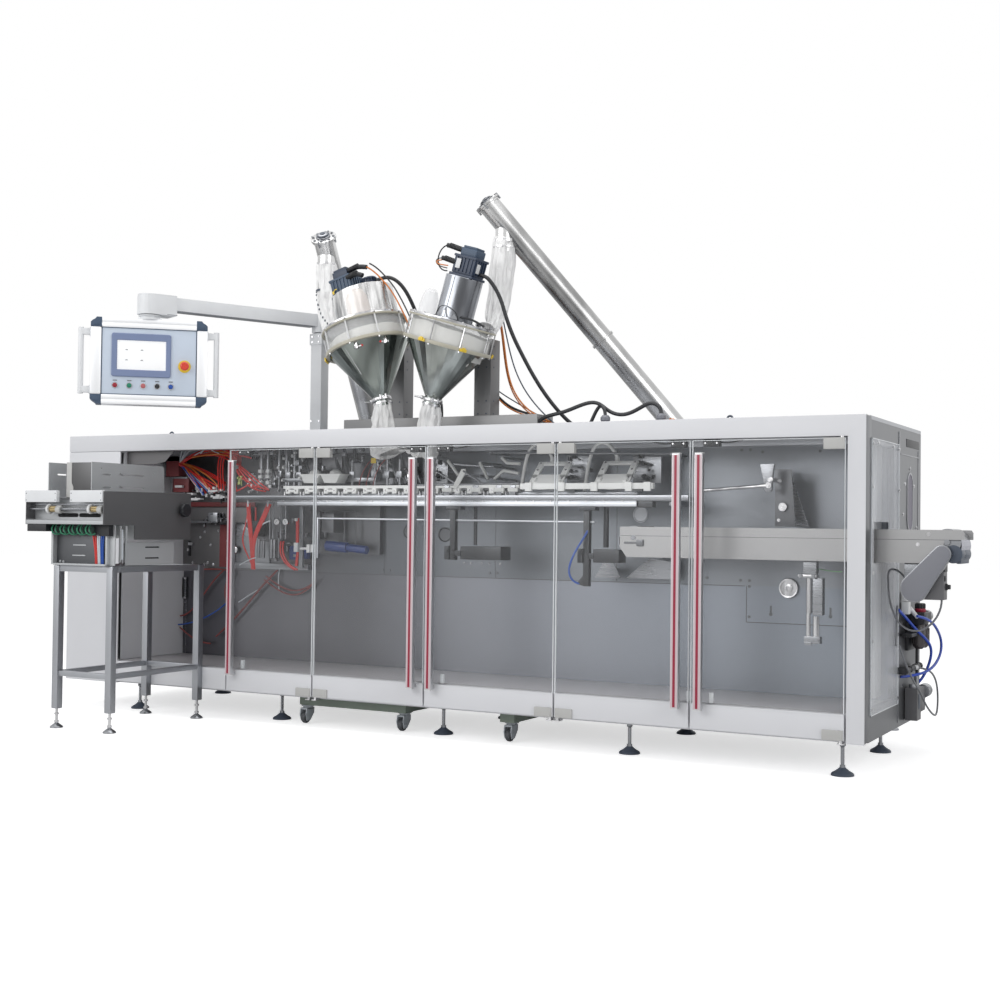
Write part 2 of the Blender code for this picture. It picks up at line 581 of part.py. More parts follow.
def infeed():
    """Pouch magazine on its own stand in the open bay."""
    x0, x1 = INFEED_X
    leg_x = (x0 + 0.119, x1 - LEG)
    legs = []
    for x in leg_x:
        for y in STAND_Y:
            legs.append(box((x - LEG / 2, x + LEG / 2), (y - LEG / 2, y + LEG / 2),
                            (0.020, STAND_TOP)))
            legs.append(rod((x, y, 0.0), (x, y, 0.012), 0.030, 16, 0.026))
            legs.append(rod((x, y, 0.008), (x, y, 0.030), 0.008, 10))
    for low, high, half in ((DECK - 0.012, DECK + 0.012, 0.012),
                            (STAND_TOP - 0.030, STAND_TOP, 0.015)):
        for y in STAND_Y:
            legs.append(box(leg_x, (y - half, y + half), (low, high)))
        for x in leg_x:
            legs.append(box((x - half, x + half), STAND_Y, (low, high)))
    node("infeed_stand", legs, "stainless")

    top, rest = MAGAZINE + 0.030, STAND_TOP + GAP
    front = STAND_Y[0] - 0.095
    side = [(front, top), (-0.120, top + 0.005), (-0.120, MAGAZINE - 0.185),
            (-0.500, MAGAZINE - 0.185), (-0.500, rest), (-0.575, rest),
            (-0.575, MAGAZINE - 0.120), (front, MAGAZINE - 0.120)]
    head = [plate(side, "x", x1 - 0.004, x1), plate(side, "x", x0, x0 + 0.004),
            box((x0, x1), (front + 0.005, front + 0.055), (MAGAZINE - 0.120, MAGAZINE - 0.090)),
            box((x0, x1), (front + 0.055, -0.130), (MAGAZINE - 0.010, MAGAZINE)),
            box((x0, x1), (-0.560, -0.540), (rest, MAGAZINE - 0.090)),
            box((x0, x1), (-0.150, -0.130), (MAGAZINE - 0.185, MAGAZINE)),
            box((x0, x0 + 0.199), (front - 0.008, front + 0.035), (MAGAZINE - 0.020, top)),
            box((x1 - 0.200, x1), (front - 0.008, front + 0.035), (MAGAZINE - 0.020, top)),
            rod((x0 + 0.002, front + 0.023, MAGAZINE - 0.050),
                (x1 - 0.002, front + 0.023, MAGAZINE - 0.050), 0.008, 12)]
    node("infeed_head", head, "stainless")

    low, high = MAGAZINE + GAP, MAGAZINE + 0.163
    guides = [box((x0 + 0.097, x1 - 0.114), (front + 0.040, -0.184), (low, low + 0.004)),
              box((x0 + 0.097, x0 + 0.101), (front + 0.040, -0.184), (low, high)),
              box((x1 - 0.118, x1 - 0.114), (front + 0.040, -0.184), (low, high)),
              box((x0 + 0.211, x1 - 0.114), (front + 0.040, front + 0.044), (low, high))]
    node("infeed_guides", guides, "stainless")
    x = x1 + GAP
    knob = [rod((x, -0.187, MAGAZINE - 0.046), (x + 0.012, -0.187, MAGAZINE - 0.046), 0.014, 16),
            rod((x + 0.010, -0.187, MAGAZINE - 0.046), (x + 0.036, -0.187, MAGAZINE - 0.046), 0.0325, 28)]
    node("infeed_knob", knob, "black_plastic", (x, -0.187, MAGAZINE - 0.046))


def control_panel():
    """Post on the roof, swinging arm, and the operator's panel that hangs from it."""
    (px, py), half = POST, POST_SIDE / 2
    top = ARM_BOTTOM - 0.003
    post = [box((px - half, px + half), (py - half, py + half), (BODY_TOP + GAP, top)),
            box((px - half - 0.008, px + half + 0.008), (py - half - 0.008, py + half + 0.008),
                (BODY_TOP + GAP, BODY_TOP + 0.098))]
    node("panel_post", post, "white_paint")

    reach = Vector((NECK[0] - px, NECK[1] - py, 0))
    turn = Matrix.Translation((px, py, 0)) @ Matrix.Rotation(math.atan2(reach.y, reach.x), 4, "Z")
    length = reach.length
    arm = [rod((0, 0, top + GAP), (0, 0, ARM_TOP), 0.042, 24),
           box((0.02, length - 0.05), (-0.030, 0.030), (ARM_TOP - 0.070, ARM_TOP - 0.005)),
           box((length - 0.110, length + 0.060), (-0.056, 0.056), (ARM_BOTTOM, ARM_TOP))]
    node("panel_arm", [placed(piece, turn) for piece in arm], "white_paint", (px, py, top))

    wide, deep, tall = PANEL_SIZE
    low = PANEL_TOP - tall
    shapes = [box((-wide / 2, wide / 2), (-deep / 2, deep / 2), (low, PANEL_TOP)),
              rod((0, 0, PANEL_TOP - 0.01), (0, 0, ARM_BOTTOM - GAP), 0.052, 24)]
    for side in (-1, 1):
        near, far = sorted((side * (wide / 2 - 0.01), side * (wide / 2 + GRIP_OUT + 0.007)))
        for z in (low + 0.050, PANEL_TOP - 0.070):
            shapes.append(box((near, far), (-0.020, 0.000), (z, z + 0.020)))
        grip = side * (wide / 2 + GRIP_OUT)
        shapes.append(rod((grip, -0.010, low + 0.046), (grip, -0.010, PANEL_TOP - 0.046),
                          0.012, 16))
    hang = Matrix.Translation((*NECK, 0)) @ Matrix.Rotation(PANEL_YAW, 4, "Z")
    node("operator_panel", [placed(piece, hang) for piece in shapes], "grey_plastic",
         (*NECK, PANEL_TOP))


def filler_stand():
    """Tray on the roof with the two columns that hold the fillers."""
    front = COLUMN_Y - 0.020
    shapes = [box((1.400, 2.480), (front, front + 0.165), (BODY_TOP + GAP, BODY_TOP + TRAY_TOP))]
    for name, side, x, rise in CONE_TIPS:
        rim = tilted(side, x, rise) @ Vector((0, 0, CONE_LENGTH + 0.004))
        column = rim.x + COLUMN_SHIFT[name]
        half = COLUMN / 2
        shapes.append(box((column - half, column + half), (COLUMN_Y, COLUMN_Y + COLUMN),
                          (BODY_TOP + TRAY_TOP - 0.017, rim.z + 0.054)))
        shapes.append(box((min(rim.x, column) - 0.030, max(rim.x, column) + 0.030),
                          (POUCH_Y + DRUM_RADIUS + RIM + GAP, COLUMN_Y + 0.005),
                          (rim.z - 0.021, rim.z + 0.021)))
    node("filler_stand", shapes, "stainless")


def over_roof(point):
    """The point with its height counted from the roof."""
    return Vector((point[0], point[1], BODY_TOP + point[2]))


def leads():
    """Bundled leads from each filler's motor down to the tray, held at both ends."""
    for (name, own, points), tip in zip(LEADS, CONE_TIPS):
        lean = tilted(*tip[1:])
        route = [lean @ Vector((x, 0, height)) for x, height in own]
        route[0] += (route[1] - route[0]).normalized() * LEAD_GAP
        route += [over_roof(point) for point in points]
        x, y, _ = route[-1]
        route.append(Vector((x, y, BODY_TOP + TRAY_TOP + 0.020)))
        route.append(Vector((x, y, BODY_TOP + TRAY_TOP + 2 * GAP)))
        node(f"filler_lead_{name}", [wire(smooth(route), LEAD_RADIUS)], "black_plastic")


def smooth(route, steps=4):
    """Points on one smooth curve through the route's points."""
    ends = [2 * route[0] - route[1], *route, 2 * route[-1] - route[-2]]
    found = []
    for a, b, c, d in zip(ends, ends[1:], ends[2:], ends[3:]):
        for k in range(steps):
            t = k / steps
            found.append(0.5 * (2 * b + (c - a) * t + (2 * a - 5 * b + 4 * c - d) * t * t
                                + (3 * b - a - 3 * c + d) * t ** 3))
    return [*found, route[-1]]


def fillers():
    """Per side: steel cone, clear drum with its rims, and the lid with can and motor."""
    low = CONE_LENGTH
    high = CONE_LENGTH + DRUM_HEIGHT
    for name, side, x, rise in CONE_TIPS:
        lean = tilted(side, x, rise)
        cone = turned([(OUTLET_RADIUS - 0.004, -0.045), (OUTLET_RADIUS - 0.004, 0.001),
                       (DRUM_RADIUS - 0.008, low + 0.008), (DRUM_RADIUS + RIM, low + 0.008),
                       (DRUM_RADIUS + RIM, low), (DRUM_RADIUS - 0.004, low),
                       (OUTLET_RADIUS, 0.0), (OUTLET_RADIUS, -0.045)])
        node(f"filler_cone_{name}", [placed(cone, lean)], "stainless")
        wall = DRUM_RADIUS - DRUM_WALL
        drum = turned([(wall, low + 0.008 + GAP), (wall, high), (DRUM_RADIUS, high),
                       (DRUM_RADIUS, low + 0.008 + GAP)])
        node(f"filler_drum_{name}", [placed(drum, lean)], "clear_acrylic")
        lid = [rod((0, 0, high + GAP), (0, 0, high + LID), DRUM_RADIUS + 0.010, 32)]
        if side < 0:
            middle, radius, foot, motor = 0.035, 0.148, high + 0.160, -0.040
            lid.append(rod((0.085, 0, foot - 0.005), (0.085, 0, foot + 0.055), 0.042, 20))
        else:
            middle, radius, foot, motor = 0.0, 0.088, high + 0.210, 0.010
        lid.append(rod((middle, 0, high), (middle, 0, foot), radius, 28))
        lid.append(box((motor - 0.064, motor + 0.064), (-0.064, 0.064),
                       (foot - 0.005, foot + 0.100)))
        lid.append(box((motor - 0.042, motor + 0.042), (-0.042, 0.042),
                       (foot + 0.090, foot + 0.145)))
        node(f"filler_motor_{name}", [placed(piece, lean) for piece in lid], "stainless")


def sleeves():
    """Fabric sleeves: from each feeder's spout to the lid, and from each cone downwards."""
    for name, upper, lower, along, spout_low, inlet in FEEDERS:
        upper, lower = over_roof(upper), over_roof(lower)
        start = upper + (lower - upper).normalized() * along
        top = Vector((start.x, start.y, BODY_TOP + spout_low - GAP))
        lean = next(tilted(*tip[1:]) for tip in CONE_TIPS if tip[0] == name)
        lid = CONE_LENGTH + DRUM_HEIGHT + LID + GAP
        low, neck = lean @ Vector((*inlet, lid)), lean @ Vector((*inlet, lid + 0.045))
        sleeve = [rod(top, top - Vector((0, 0, 0.065)), SPOUT_RADIUS, 24),
                  rod(top - Vector((0, 0, 0.045)), neck, 0.040, 24),
                  rod(neck + (neck - low) * 0.3, low, 0.038, 24)]
        node(f"feed_sleeve_{name}", sleeve, "fabric")
    for name, side, x, rise in CONE_TIPS:
        lean = tilted(side, x, rise)
        neck = OUTLET_RADIUS
        sleeve = turned([(neck + 0.012, -0.290), (neck + 0.018, -0.160), (neck + GAP, -0.020),
                         (neck + 0.008, -0.020), (neck + 0.024, -0.160), (neck + 0.018, -0.290)])
        node(f"outlet_sleeve_{name}", [placed(sleeve, lean)], "fabric")


def screw_feeders():
    """Inclined screw conveyors that rise from floor hoppers behind the body."""
    for name, upper, lower, along, spout_low, _ in FEEDERS:
        upper, lower = over_roof(upper), over_roof(lower)
        heading = (lower - upper).normalized()
        foot = upper + heading * ((upper.z - 0.400) / -heading.z)
        start = upper + heading * along
        cap = upper - heading * 0.035
        parts = [rod(upper - heading * 0.012, foot, TUBE_RADIUS, 28),
                 rod(upper - heading * 0.016, upper, TUBE_RADIUS + 0.012, 28),
                 rod(cap, upper, 0.036, 20),
                 rod(start, (start.x, start.y, BODY_TOP + spout_low), SPOUT_RADIUS, 24)]
        x, y = foot.x, foot.y
        wide, shoulder, bin_low = HOPPER_WIDTH / 2, HOPPER_TOP - 0.260, HOPPER_TOP - 0.570
        parts.append(box((x - wide, x + wide), (y - wide, y + wide), (shoulder, HOPPER_TOP)))
        pyramid = bmesh.new()
        bmesh.ops.create_cone(pyramid, cap_ends=True, segments=4, radius1=0.10 * math.sqrt(2),
                              radius2=wide * math.sqrt(2), depth=shoulder - bin_low)
        bmesh.ops.rotate(pyramid, matrix=Matrix.Rotation(math.pi / 4, 3, "Z"),
                         verts=pyramid.verts)
        bmesh.ops.translate(pyramid, vec=(x, y, (shoulder + bin_low) / 2 + 0.0005),
                            verts=pyramid.verts)
        parts.append(shape(pyramid))
        for dx in (-1, 1):
            for dy in (-1, 1):
                cx, cy = x + dx * (wide - 0.03), y + dy * (wide - 0.03)
                parts.append(rod((cx, cy, 0.0), (cx, cy, shoulder + 0.060), 0.019, 12))
        node(f"screw_feeder_{name}", parts, "stainless")


for old in list(bpy.data.objects):
    bpy.data.objects.remove(old)
MACHINE = bpy.data.collections.new("horizontal_powder_packaging_machine")
SCRATCH = bpy.data.collections.new("shapes")
for collection in (MACHINE, SCRATCH):
    bpy.context.scene.collection.children.link(collection)
ROOT = bpy.data.objects.new("machine_origin", None)
MACHINE.objects.link(ROOT)
ROOT.location = -ORIGIN

for build in (base_frame, caster_frames, casters, housings, front_frame, inner_wall, end_wall,
              doors, working_row, stations, outfeed, air_unit, infeed, control_panel,
              filler_stand, fillers, leads, sleeves, screw_feeders):
    build()
bpy.data.collections.remove(SCRATCH)
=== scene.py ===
# %% [markdown]
# # A horizontal powder packaging machine
# This lesson dresses a plain solid model of a packing machine until it looks like the
# real one. The solids are already the right size, so nothing here moves them: each cell
# gives them a finish, or adds the small parts that a solid model leaves out.

# %% The frame
import math
import random

import bmesh
import bpy
from mathutils import Matrix, Vector, noise


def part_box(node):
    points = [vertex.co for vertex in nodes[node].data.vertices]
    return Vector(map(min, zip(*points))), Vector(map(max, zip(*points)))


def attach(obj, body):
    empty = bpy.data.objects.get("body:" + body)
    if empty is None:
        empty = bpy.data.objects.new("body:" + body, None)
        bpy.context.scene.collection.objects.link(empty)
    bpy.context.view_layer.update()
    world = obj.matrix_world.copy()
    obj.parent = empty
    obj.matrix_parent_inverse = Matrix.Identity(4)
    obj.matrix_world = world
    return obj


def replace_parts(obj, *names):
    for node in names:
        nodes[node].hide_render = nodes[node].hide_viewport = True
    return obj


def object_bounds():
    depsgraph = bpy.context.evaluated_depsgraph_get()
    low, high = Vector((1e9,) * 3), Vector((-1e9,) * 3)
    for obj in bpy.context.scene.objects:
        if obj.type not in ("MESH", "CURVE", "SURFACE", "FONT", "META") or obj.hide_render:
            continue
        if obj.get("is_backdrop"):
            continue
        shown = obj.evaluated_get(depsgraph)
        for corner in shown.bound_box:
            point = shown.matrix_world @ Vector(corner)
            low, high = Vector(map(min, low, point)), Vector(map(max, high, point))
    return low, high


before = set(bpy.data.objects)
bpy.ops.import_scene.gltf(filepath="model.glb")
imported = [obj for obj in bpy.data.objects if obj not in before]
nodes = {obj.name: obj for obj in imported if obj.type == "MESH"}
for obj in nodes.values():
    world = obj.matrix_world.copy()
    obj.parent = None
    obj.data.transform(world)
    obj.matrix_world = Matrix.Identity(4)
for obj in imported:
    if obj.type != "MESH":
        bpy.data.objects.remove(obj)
solid_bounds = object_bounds()
print("solids loaded:", len(nodes))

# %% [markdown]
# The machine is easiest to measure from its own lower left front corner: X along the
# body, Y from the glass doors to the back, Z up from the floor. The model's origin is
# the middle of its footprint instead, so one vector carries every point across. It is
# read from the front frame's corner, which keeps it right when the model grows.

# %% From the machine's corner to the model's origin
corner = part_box("front_frame")[0]
SHIFT = Vector((corner.x, corner.y, 0))
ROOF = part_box("roof_panel")[1].z
print("the machine's corner lies at", tuple(round(value, 4) for value in SHIFT))

# %% [markdown]
# ## The camera
# The picture was taken from the right of the middle, a little below the roof, with a
# normal lens. The eye point and the angles come from the body's straight edges: long
# edges give the turn, upright edges give the tilt, and the body's length the distance.

# %% Camera
eye = Vector((5.37575, -5.27247, 0.93506)) + SHIFT
turn, lift, roll = math.radians(28.3333), math.radians(1.1751), math.radians(0.6762)
ahead = Vector((-math.sin(turn) * math.cos(lift), math.cos(turn) * math.cos(lift),
                math.sin(lift)))
level = Vector((math.cos(turn), math.sin(turn), 0))
above = level.cross(ahead)
right = level * math.cos(roll) + above * math.sin(roll)
up = above * math.cos(roll) - level * math.sin(roll)
camera = bpy.data.objects.new("camera", bpy.data.cameras.new("camera"))
bpy.context.scene.collection.objects.link(camera)
camera.matrix_world = Matrix((right, up, -ahead)).transposed().to_4x4()
camera.location = eye
camera.data.sensor_width = 36
camera.data.lens = 1391.3 / 1000 * 36
camera.data.clip_end = 60
bpy.context.scene.camera = camera
print("lens", round(camera.data.lens, 2), "mm, eye height", round(eye.z, 3), "m")

# %% [markdown]
# ## Writing materials as sums
# A shader is a drawing of boxes and wires, but most of it is plain arithmetic. The class
# below wraps one output socket, so that `grain * 0.2 + 0.3` adds the Math nodes by
# itself, and one method of the recipe makes every other kind of node.

# %% A socket that can be added and multiplied
class Shade:
    """One output of a node, with arithmetic."""

    def __init__(self, recipe, socket):
        self.recipe, self.socket = recipe, socket

    def math(self, operation, first, second):
        return self.recipe.node("ShaderNodeMath", {"operation": operation},
                                {0: first, 1: second})

    def __add__(self, other):
        return self.math("ADD", self, other)

    def __sub__(self, other):
        return self.math("SUBTRACT", self, other)

    def __rsub__(self, other):
        return self.math("SUBTRACT", other, self)

    def __mul__(self, other):
        return self.math("MULTIPLY", self, other)

    def __pow__(self, other):
        return self.math("POWER", self, other)

    def __gt__(self, other):
        return self.math("GREATER_THAN", self, other)

    __radd__ = __add__
    __rmul__ = __mul__


# %% A recipe that holds one material's nodes
class Recipe:
    """A material in the making, with its constants set on the shader's own sockets."""

    def __init__(self, name, **constants):
        self.material = bpy.data.materials.new(name)
        self.material.use_nodes = True
        self.tree = self.material.node_tree
        self.shader = self.tree.nodes["Principled BSDF"]
        for key, value in constants.items():
            self.shader.inputs[key.replace("_", " ")].default_value = value

    def node(self, kind, settings=None, sockets=None, output=0):
        made = self.tree.nodes.new(kind)
        for key, value in (settings or {}).items():
            setattr(made, key, value)
        for key, value in (sockets or {}).items():
            self.feed(made.inputs[key], value)
        return Shade(self, made.outputs[output])

    def feed(self, socket, value):
        if isinstance(value, Shade):
            self.tree.links.new(value.socket, socket)
        else:
            socket.default_value = value

    def place(self, stretch=(1, 1, 1)):
        """The point on the object, in metres, stretched along its axes."""
        point = self.node("ShaderNodeTexCoord", output="Object")
        return self.node("ShaderNodeVectorMath", {"operation": "MULTIPLY"},
                         {0: point, 1: stretch})

    def noise(self, scale, detail=3.0, stretch=(1, 1, 1)):
        return self.node("ShaderNodeTexNoise", None,
                         {"Vector": self.place(stretch), "Scale": scale, "Detail": detail})

    def ramp(self, value, stops):
        """A colour that follows the value; each stop is (place, colour)."""
        made = self.node("ShaderNodeValToRGB", None, {0: value})
        elements = made.socket.node.color_ramp.elements
        while len(elements) < len(stops):
            elements.new(0.5)
        for element, (where, colour) in zip(elements, stops):
            element.position = where
            element.color = (*colour, 1)
        return made

    def blend(self, share, first, second):
        """Between two colours, by a share from 0 to 1."""
        made = self.node("ShaderNodeMix", {"data_type": "RGBA"}, {0: share}, output=2)
        for index, colour in ((6, first), (7, second)):
            value = colour if isinstance(colour, Shade) else (*colour, 1)
            self.feed(made.socket.node.inputs[index], value)
        return made

    def bump(self, height, strength, distance=0.001):
        return self.node("ShaderNodeBump", None,
                         {"Height": height, "Strength": strength, "Distance": distance})

    def done(self, **links):
        """Wires the changing inputs and gives back the material."""
        for key, value in links.items():
            self.feed(self.shader.inputs[key.replace("_", " ")], value)
        return self.material


print("recipes ready")

# %% [markdown]
# ## Finishes: paint
# Powder coat is baked plastic: its colour is even, its gloss is soft and its skin has a
# fine orange peel. A flat colour would look like paper, so a slow noise moves the tone
# and the gloss a little and a fast one makes the peel.

# %% Powder coats
def painted(name, colour, gloss=0.36, peel=0.04):
    """Baked paint with a faint orange peel."""
    recipe = Recipe(name)
    cloud = recipe.noise(2.3, 4)
    peels = recipe.noise(140, 1)
    darker = tuple(part * 0.93 for part in colour)
    lighter = tuple(min(part * 1.05, 1) for part in colour)
    return recipe.done(Base_Color=recipe.blend(cloud, darker, lighter),
                       Roughness=cloud * 0.12 + (gloss - 0.06),
                       Normal=recipe.bump(peels, peel, 0.0005))


WHITE = painted("white powder coat", (0.655, 0.662, 0.690))
WARM_WHITE = painted("white cast metal", (0.66, 0.67, 0.66), 0.42)
BRIGHT_WHITE = painted("bright white cast metal", (0.86, 0.87, 0.86), 0.38)
OLIVE = painted("olive enamel", (0.155, 0.190, 0.155), 0.45)
NAVY = painted("dark blue enamel", (0.018, 0.032, 0.065), 0.40)
SLATE = painted("slate blue moulding", (0.045, 0.075, 0.125), 0.45, 0.2)
GREY = painted("mid grey enamel", (0.19, 0.20, 0.22), 0.45)
BLACK = painted("black moulding", (0.012, 0.013, 0.016), 0.42, 0.25)
FORK = painted("zinc plated fork", (0.36, 0.39, 0.42), 0.34)
CUP = painted("foot cup enamel", (0.055, 0.070, 0.098), 0.42)
DECK_SHEET = painted("deck sheet", (0.40, 0.39, 0.405), 0.40)
print("painted finishes:", WHITE.name, "and ten more")

# %% [markdown]
# ## Finishes: brushed sheet
# Stainless sheet is brushed in one direction, which draws its reflections out across the
# grain. A noise squeezed hard along one axis gives the fine lines. Around the machine
# the room was dark, so every sheet reads darker than bare steel in a white studio; the
# tone is written into each sheet's colour.

# %% Brushed steel
def brushed(name, tone, grain="x", gloss=0.34, spread=0.18, tint=(0.97, 1.0, 1.06),
            metal=1.0):
    """Steel sheet with its brushing along one axis of the machine."""
    recipe = Recipe(name, Metallic=metal)
    lines = recipe.noise(1.0, 2, {"x": (3, 220, 220), "y": (220, 3, 220),
                                  "z": (220, 220, 3)}[grain])
    cloud = recipe.noise(1.7, 3)
    shares = lines * 0.16 + cloud * 0.84
    darker = tuple(tone * (1 - spread) * part for part in tint)
    lighter = tuple(min(tone * (1 + spread) * part, 1) for part in tint)
    return recipe.done(Base_Color=recipe.blend(shares, darker, lighter),
                       Roughness=lines * 0.05 + cloud * 0.08 + (gloss - 0.065),
                       Normal=recipe.bump(lines, 0.012, 0.0002))


STEEL = brushed("brushed steel", 0.42)
STEEL_UP = brushed("brushed steel, upright grain", 0.34, "z")
END_SHEET = brushed("end wall sheet", 0.185, "z", 0.36, 0.30)
ROOF_SHEET = brushed("roof sheet", 0.40, "x", 0.34, 0.10)
DARK_SHEET = brushed("dark steel sheet", 0.125, "x", 0.40, 0.20)
MAGAZINE_SIDE = brushed("magazine side sheet", 0.115, "x", 0.42, 0.16, (1.0, 1.0, 1.04), 0.4)
MAGAZINE_PALE = brushed("magazine pale sheet", 0.46, "x", 0.40, 0.06, (0.97, 1.0, 1.03), 0.4)
BAY_SHEET = brushed("air station sheet", 0.135, "x", 0.42, 0.22, (1.02, 1.0, 1.03), 0.6)
BRICK = painted("red anodised sheet", (0.20, 0.042, 0.045), 0.36)
MACHINED = brushed("machined steel", 0.30, "x", 0.28, 0.25)
SHADE_STEEL = brushed("steel in shade", 0.155, "x", 0.36, 0.3)
LEVER_STEEL = brushed("lever steel", 0.070, "x", 0.38, 0.3)
COLUMN_STEEL = brushed("column steel", 0.190, "z", 0.46, 0.20, (1.0, 1.0, 1.02), 0.45)
TRAY_STEEL = brushed("tray steel", 0.255, "x", 0.44, 0.10, (1.0, 1.0, 1.01), 0.4)
BELT_STEEL = brushed("conveyor side", 0.36, "x", 0.34, 0.12, (1.0, 1.0, 1.01), 0.85)
LEG_STEEL = brushed("leg tube", 0.40, "z", 0.38, 0.1)
PROFILE = brushed("anodised profile", 0.62, "z", 0.40, 0.10, (1.0, 1.0, 1.02))
PALE_STEEL = brushed("pale rail face", 0.60, "x", 0.38, 0.06)
# A darker copy of the magazine's sheet, used as painted shade by the stop plate.
MAGAZINE_SHADE = brushed("magazine dark sheet", 0.115, "z", 0.40, 0.2, (1.0, 1.0, 1.02))
FOOT_STEEL = brushed("stand foot", 0.28, "x", 0.30, 0.3)
PANEL_METAL = brushed("satin extrusion", 0.84, "x", 0.45, 0.03, (0.99, 1.0, 1.02))
BRASS = brushed("brass", 0.42, "x", 0.35, 0.2, (1.0, 0.78, 0.42))
print("brushed finishes ready")


# %% [markdown]
# The wall behind the doors is one long sheet. Its upper plates mirror the dark room and
# its lower sheet mirrors the floor, so the tone climbs towards the right and the bottom.
# A gradient along the machine's own axes carries that, with the brushing on top.

# %% Inner wall sheet
def wall_finish():
    recipe = Recipe("inner wall sheet", Metallic=0.85)
    point = recipe.node("ShaderNodeSeparateXYZ", None, {0: recipe.place()})
    along, height = point, Shade(recipe, point.socket.node.outputs[2])
    lines = recipe.noise(1.0, 1, (2, 90, 90))
    cloud = recipe.noise(0.9, 2)
    run = recipe.node("ShaderNodeMapRange", None, {0: along, 1: -1.8, 2: 1.9, 3: 0.0, 4: 1.0})
    low = recipe.ramp(run, [(0.0, (0.150, 0.148, 0.165)), (0.30, (0.165, 0.168, 0.182)),
                            (0.55, (0.275, 0.290, 0.325)), (1.0, (0.235, 0.262, 0.300))])
    high = recipe.ramp(run, [(0.0, (0.20, 0.195, 0.20)), (0.35, (0.145, 0.155, 0.170)),
                             (0.60, (0.20, 0.215, 0.235)), (1.0, (0.265, 0.280, 0.305))])
    seam = recipe.node("ShaderNodeMapRange", None, {0: height, 1: 0.700, 2: 0.705, 3: 0.0,
                                                    4: 1.0})
    colour = recipe.blend(seam, low, high)
    mottle = recipe.blend(cloud * 0.94 + lines * 0.06, (0.86, 0.86, 0.87), (1.08, 1.08, 1.07))
    tone = recipe.node("ShaderNodeMix", {"data_type": "RGBA", "blend_type": "MULTIPLY"},
                       {0: 1.0, 6: colour, 7: mottle}, output=2)
    return recipe.done(Base_Color=tone, Roughness=cloud * 0.06 + 0.30)


WALL = wall_finish()

# %% [markdown]
# ## Finishes: polished steel
# The cones, tubes and cans are polished, so they show the room rather than a colour. A
# streaky noise that runs down the wall of the cone paints the room's dark and light
# bands into the colour as painted reflections, with a tone and tint for each part, and a
# second one leaves the faint smears that powder and hands leave on polish.

# %% Polished steel
def polished(name, tone, reflection_streaks=3.0, tint=(0.96, 1.0, 0.98), spread=0.45, gloss=0.16,
             stretch=(1, 1, 0.15)):
    recipe = Recipe(name, Metallic=1.0)
    bands = recipe.noise(reflection_streaks, 2, stretch)
    smears = recipe.noise(14, 3)
    darker = tuple(tone * (1 - spread) * part for part in tint)
    lighter = tuple(min(tone * (1 + spread) * part, 1) for part in tint)
    share = recipe.node("ShaderNodeMapRange", None, {0: bands, 1: 0.35, 2: 0.65, 3: 0.0, 4: 1.0})
    return recipe.done(Base_Color=recipe.blend(share, darker, lighter),
                       Roughness=smears * 0.14 + (gloss - 0.05),
                       Normal=recipe.bump(smears, 0.03, 0.0006))


# The tones, tints and band scales below paint each part's reflections; the right cone is given
# brighter painted reflections than the left.
CONE = polished("polished cone", 0.245, 7.0, (0.93, 1.03, 0.97), 0.50)
CONE_BRIGHTER_REFLECTION = polished("brighter cone", 0.36, 7.0, (0.96, 1.02, 0.97), 0.40)
TUBE = polished("polished tube", 0.50, 5.0, (1.0, 1.0, 1.0), 0.40, 0.24)
CAN = polished("polished can", 0.295, 11.0, (0.96, 1.0, 1.08), 0.40, 0.22)
CAN_BRIGHT = polished("bright fluted can", 0.58, 26.0, (1, 1, 1), 0.30, 0.24, (1, 1, 0.05))
CHROME = polished("bright small steel", 0.60, 30.0, (1, 1, 1.02), 0.2, 0.18)
print("polished finishes ready")

# %% [markdown]
# ## Finishes: plastics, rubber, hoses
# Small parts carry most of the colour here: red, blue and clear air hoses, yellow
# latches, green belts, the buttons. Moulded plastic is simpler than metal: a colour, a
# gloss, and a fine texture from the mould.

# %% Moulded plastics
def moulded(name, colour, gloss=0.35, texture=320, strength=0.12, **constants):
    recipe = Recipe(name, **constants)
    fine = recipe.noise(texture, 1)
    cloud = recipe.noise(9, 2)
    darker = tuple(part * 0.88 for part in colour)
    return recipe.done(Base_Color=recipe.blend(cloud, darker, colour),
                       Roughness=fine * 0.06 + (gloss - 0.03),
                       Normal=recipe.bump(fine, strength * 0.5, 0.0003))


RED = moulded("red hose", (0.62, 0.035, 0.030), 0.30)
# A darker red than the hose red, used for the low loops and the station's red tubes.
DARKER_RED = moulded("dulled red hose", (0.24, 0.060, 0.055), 0.5)
DRIVE_GREY = painted("drive cover", (0.185, 0.190, 0.215), 0.40)
CONTROL_GREY = painted("control box", (0.105, 0.105, 0.112), 0.42)
CABLE_GREY = moulded("grey cable", (0.16, 0.165, 0.18), 0.38)
BOWL_DARK = moulded("smoked bowl", (0.055, 0.048, 0.050), 0.22)
HOSE_BLUE = moulded("blue hose end", (0.016, 0.060, 0.42), 0.35)
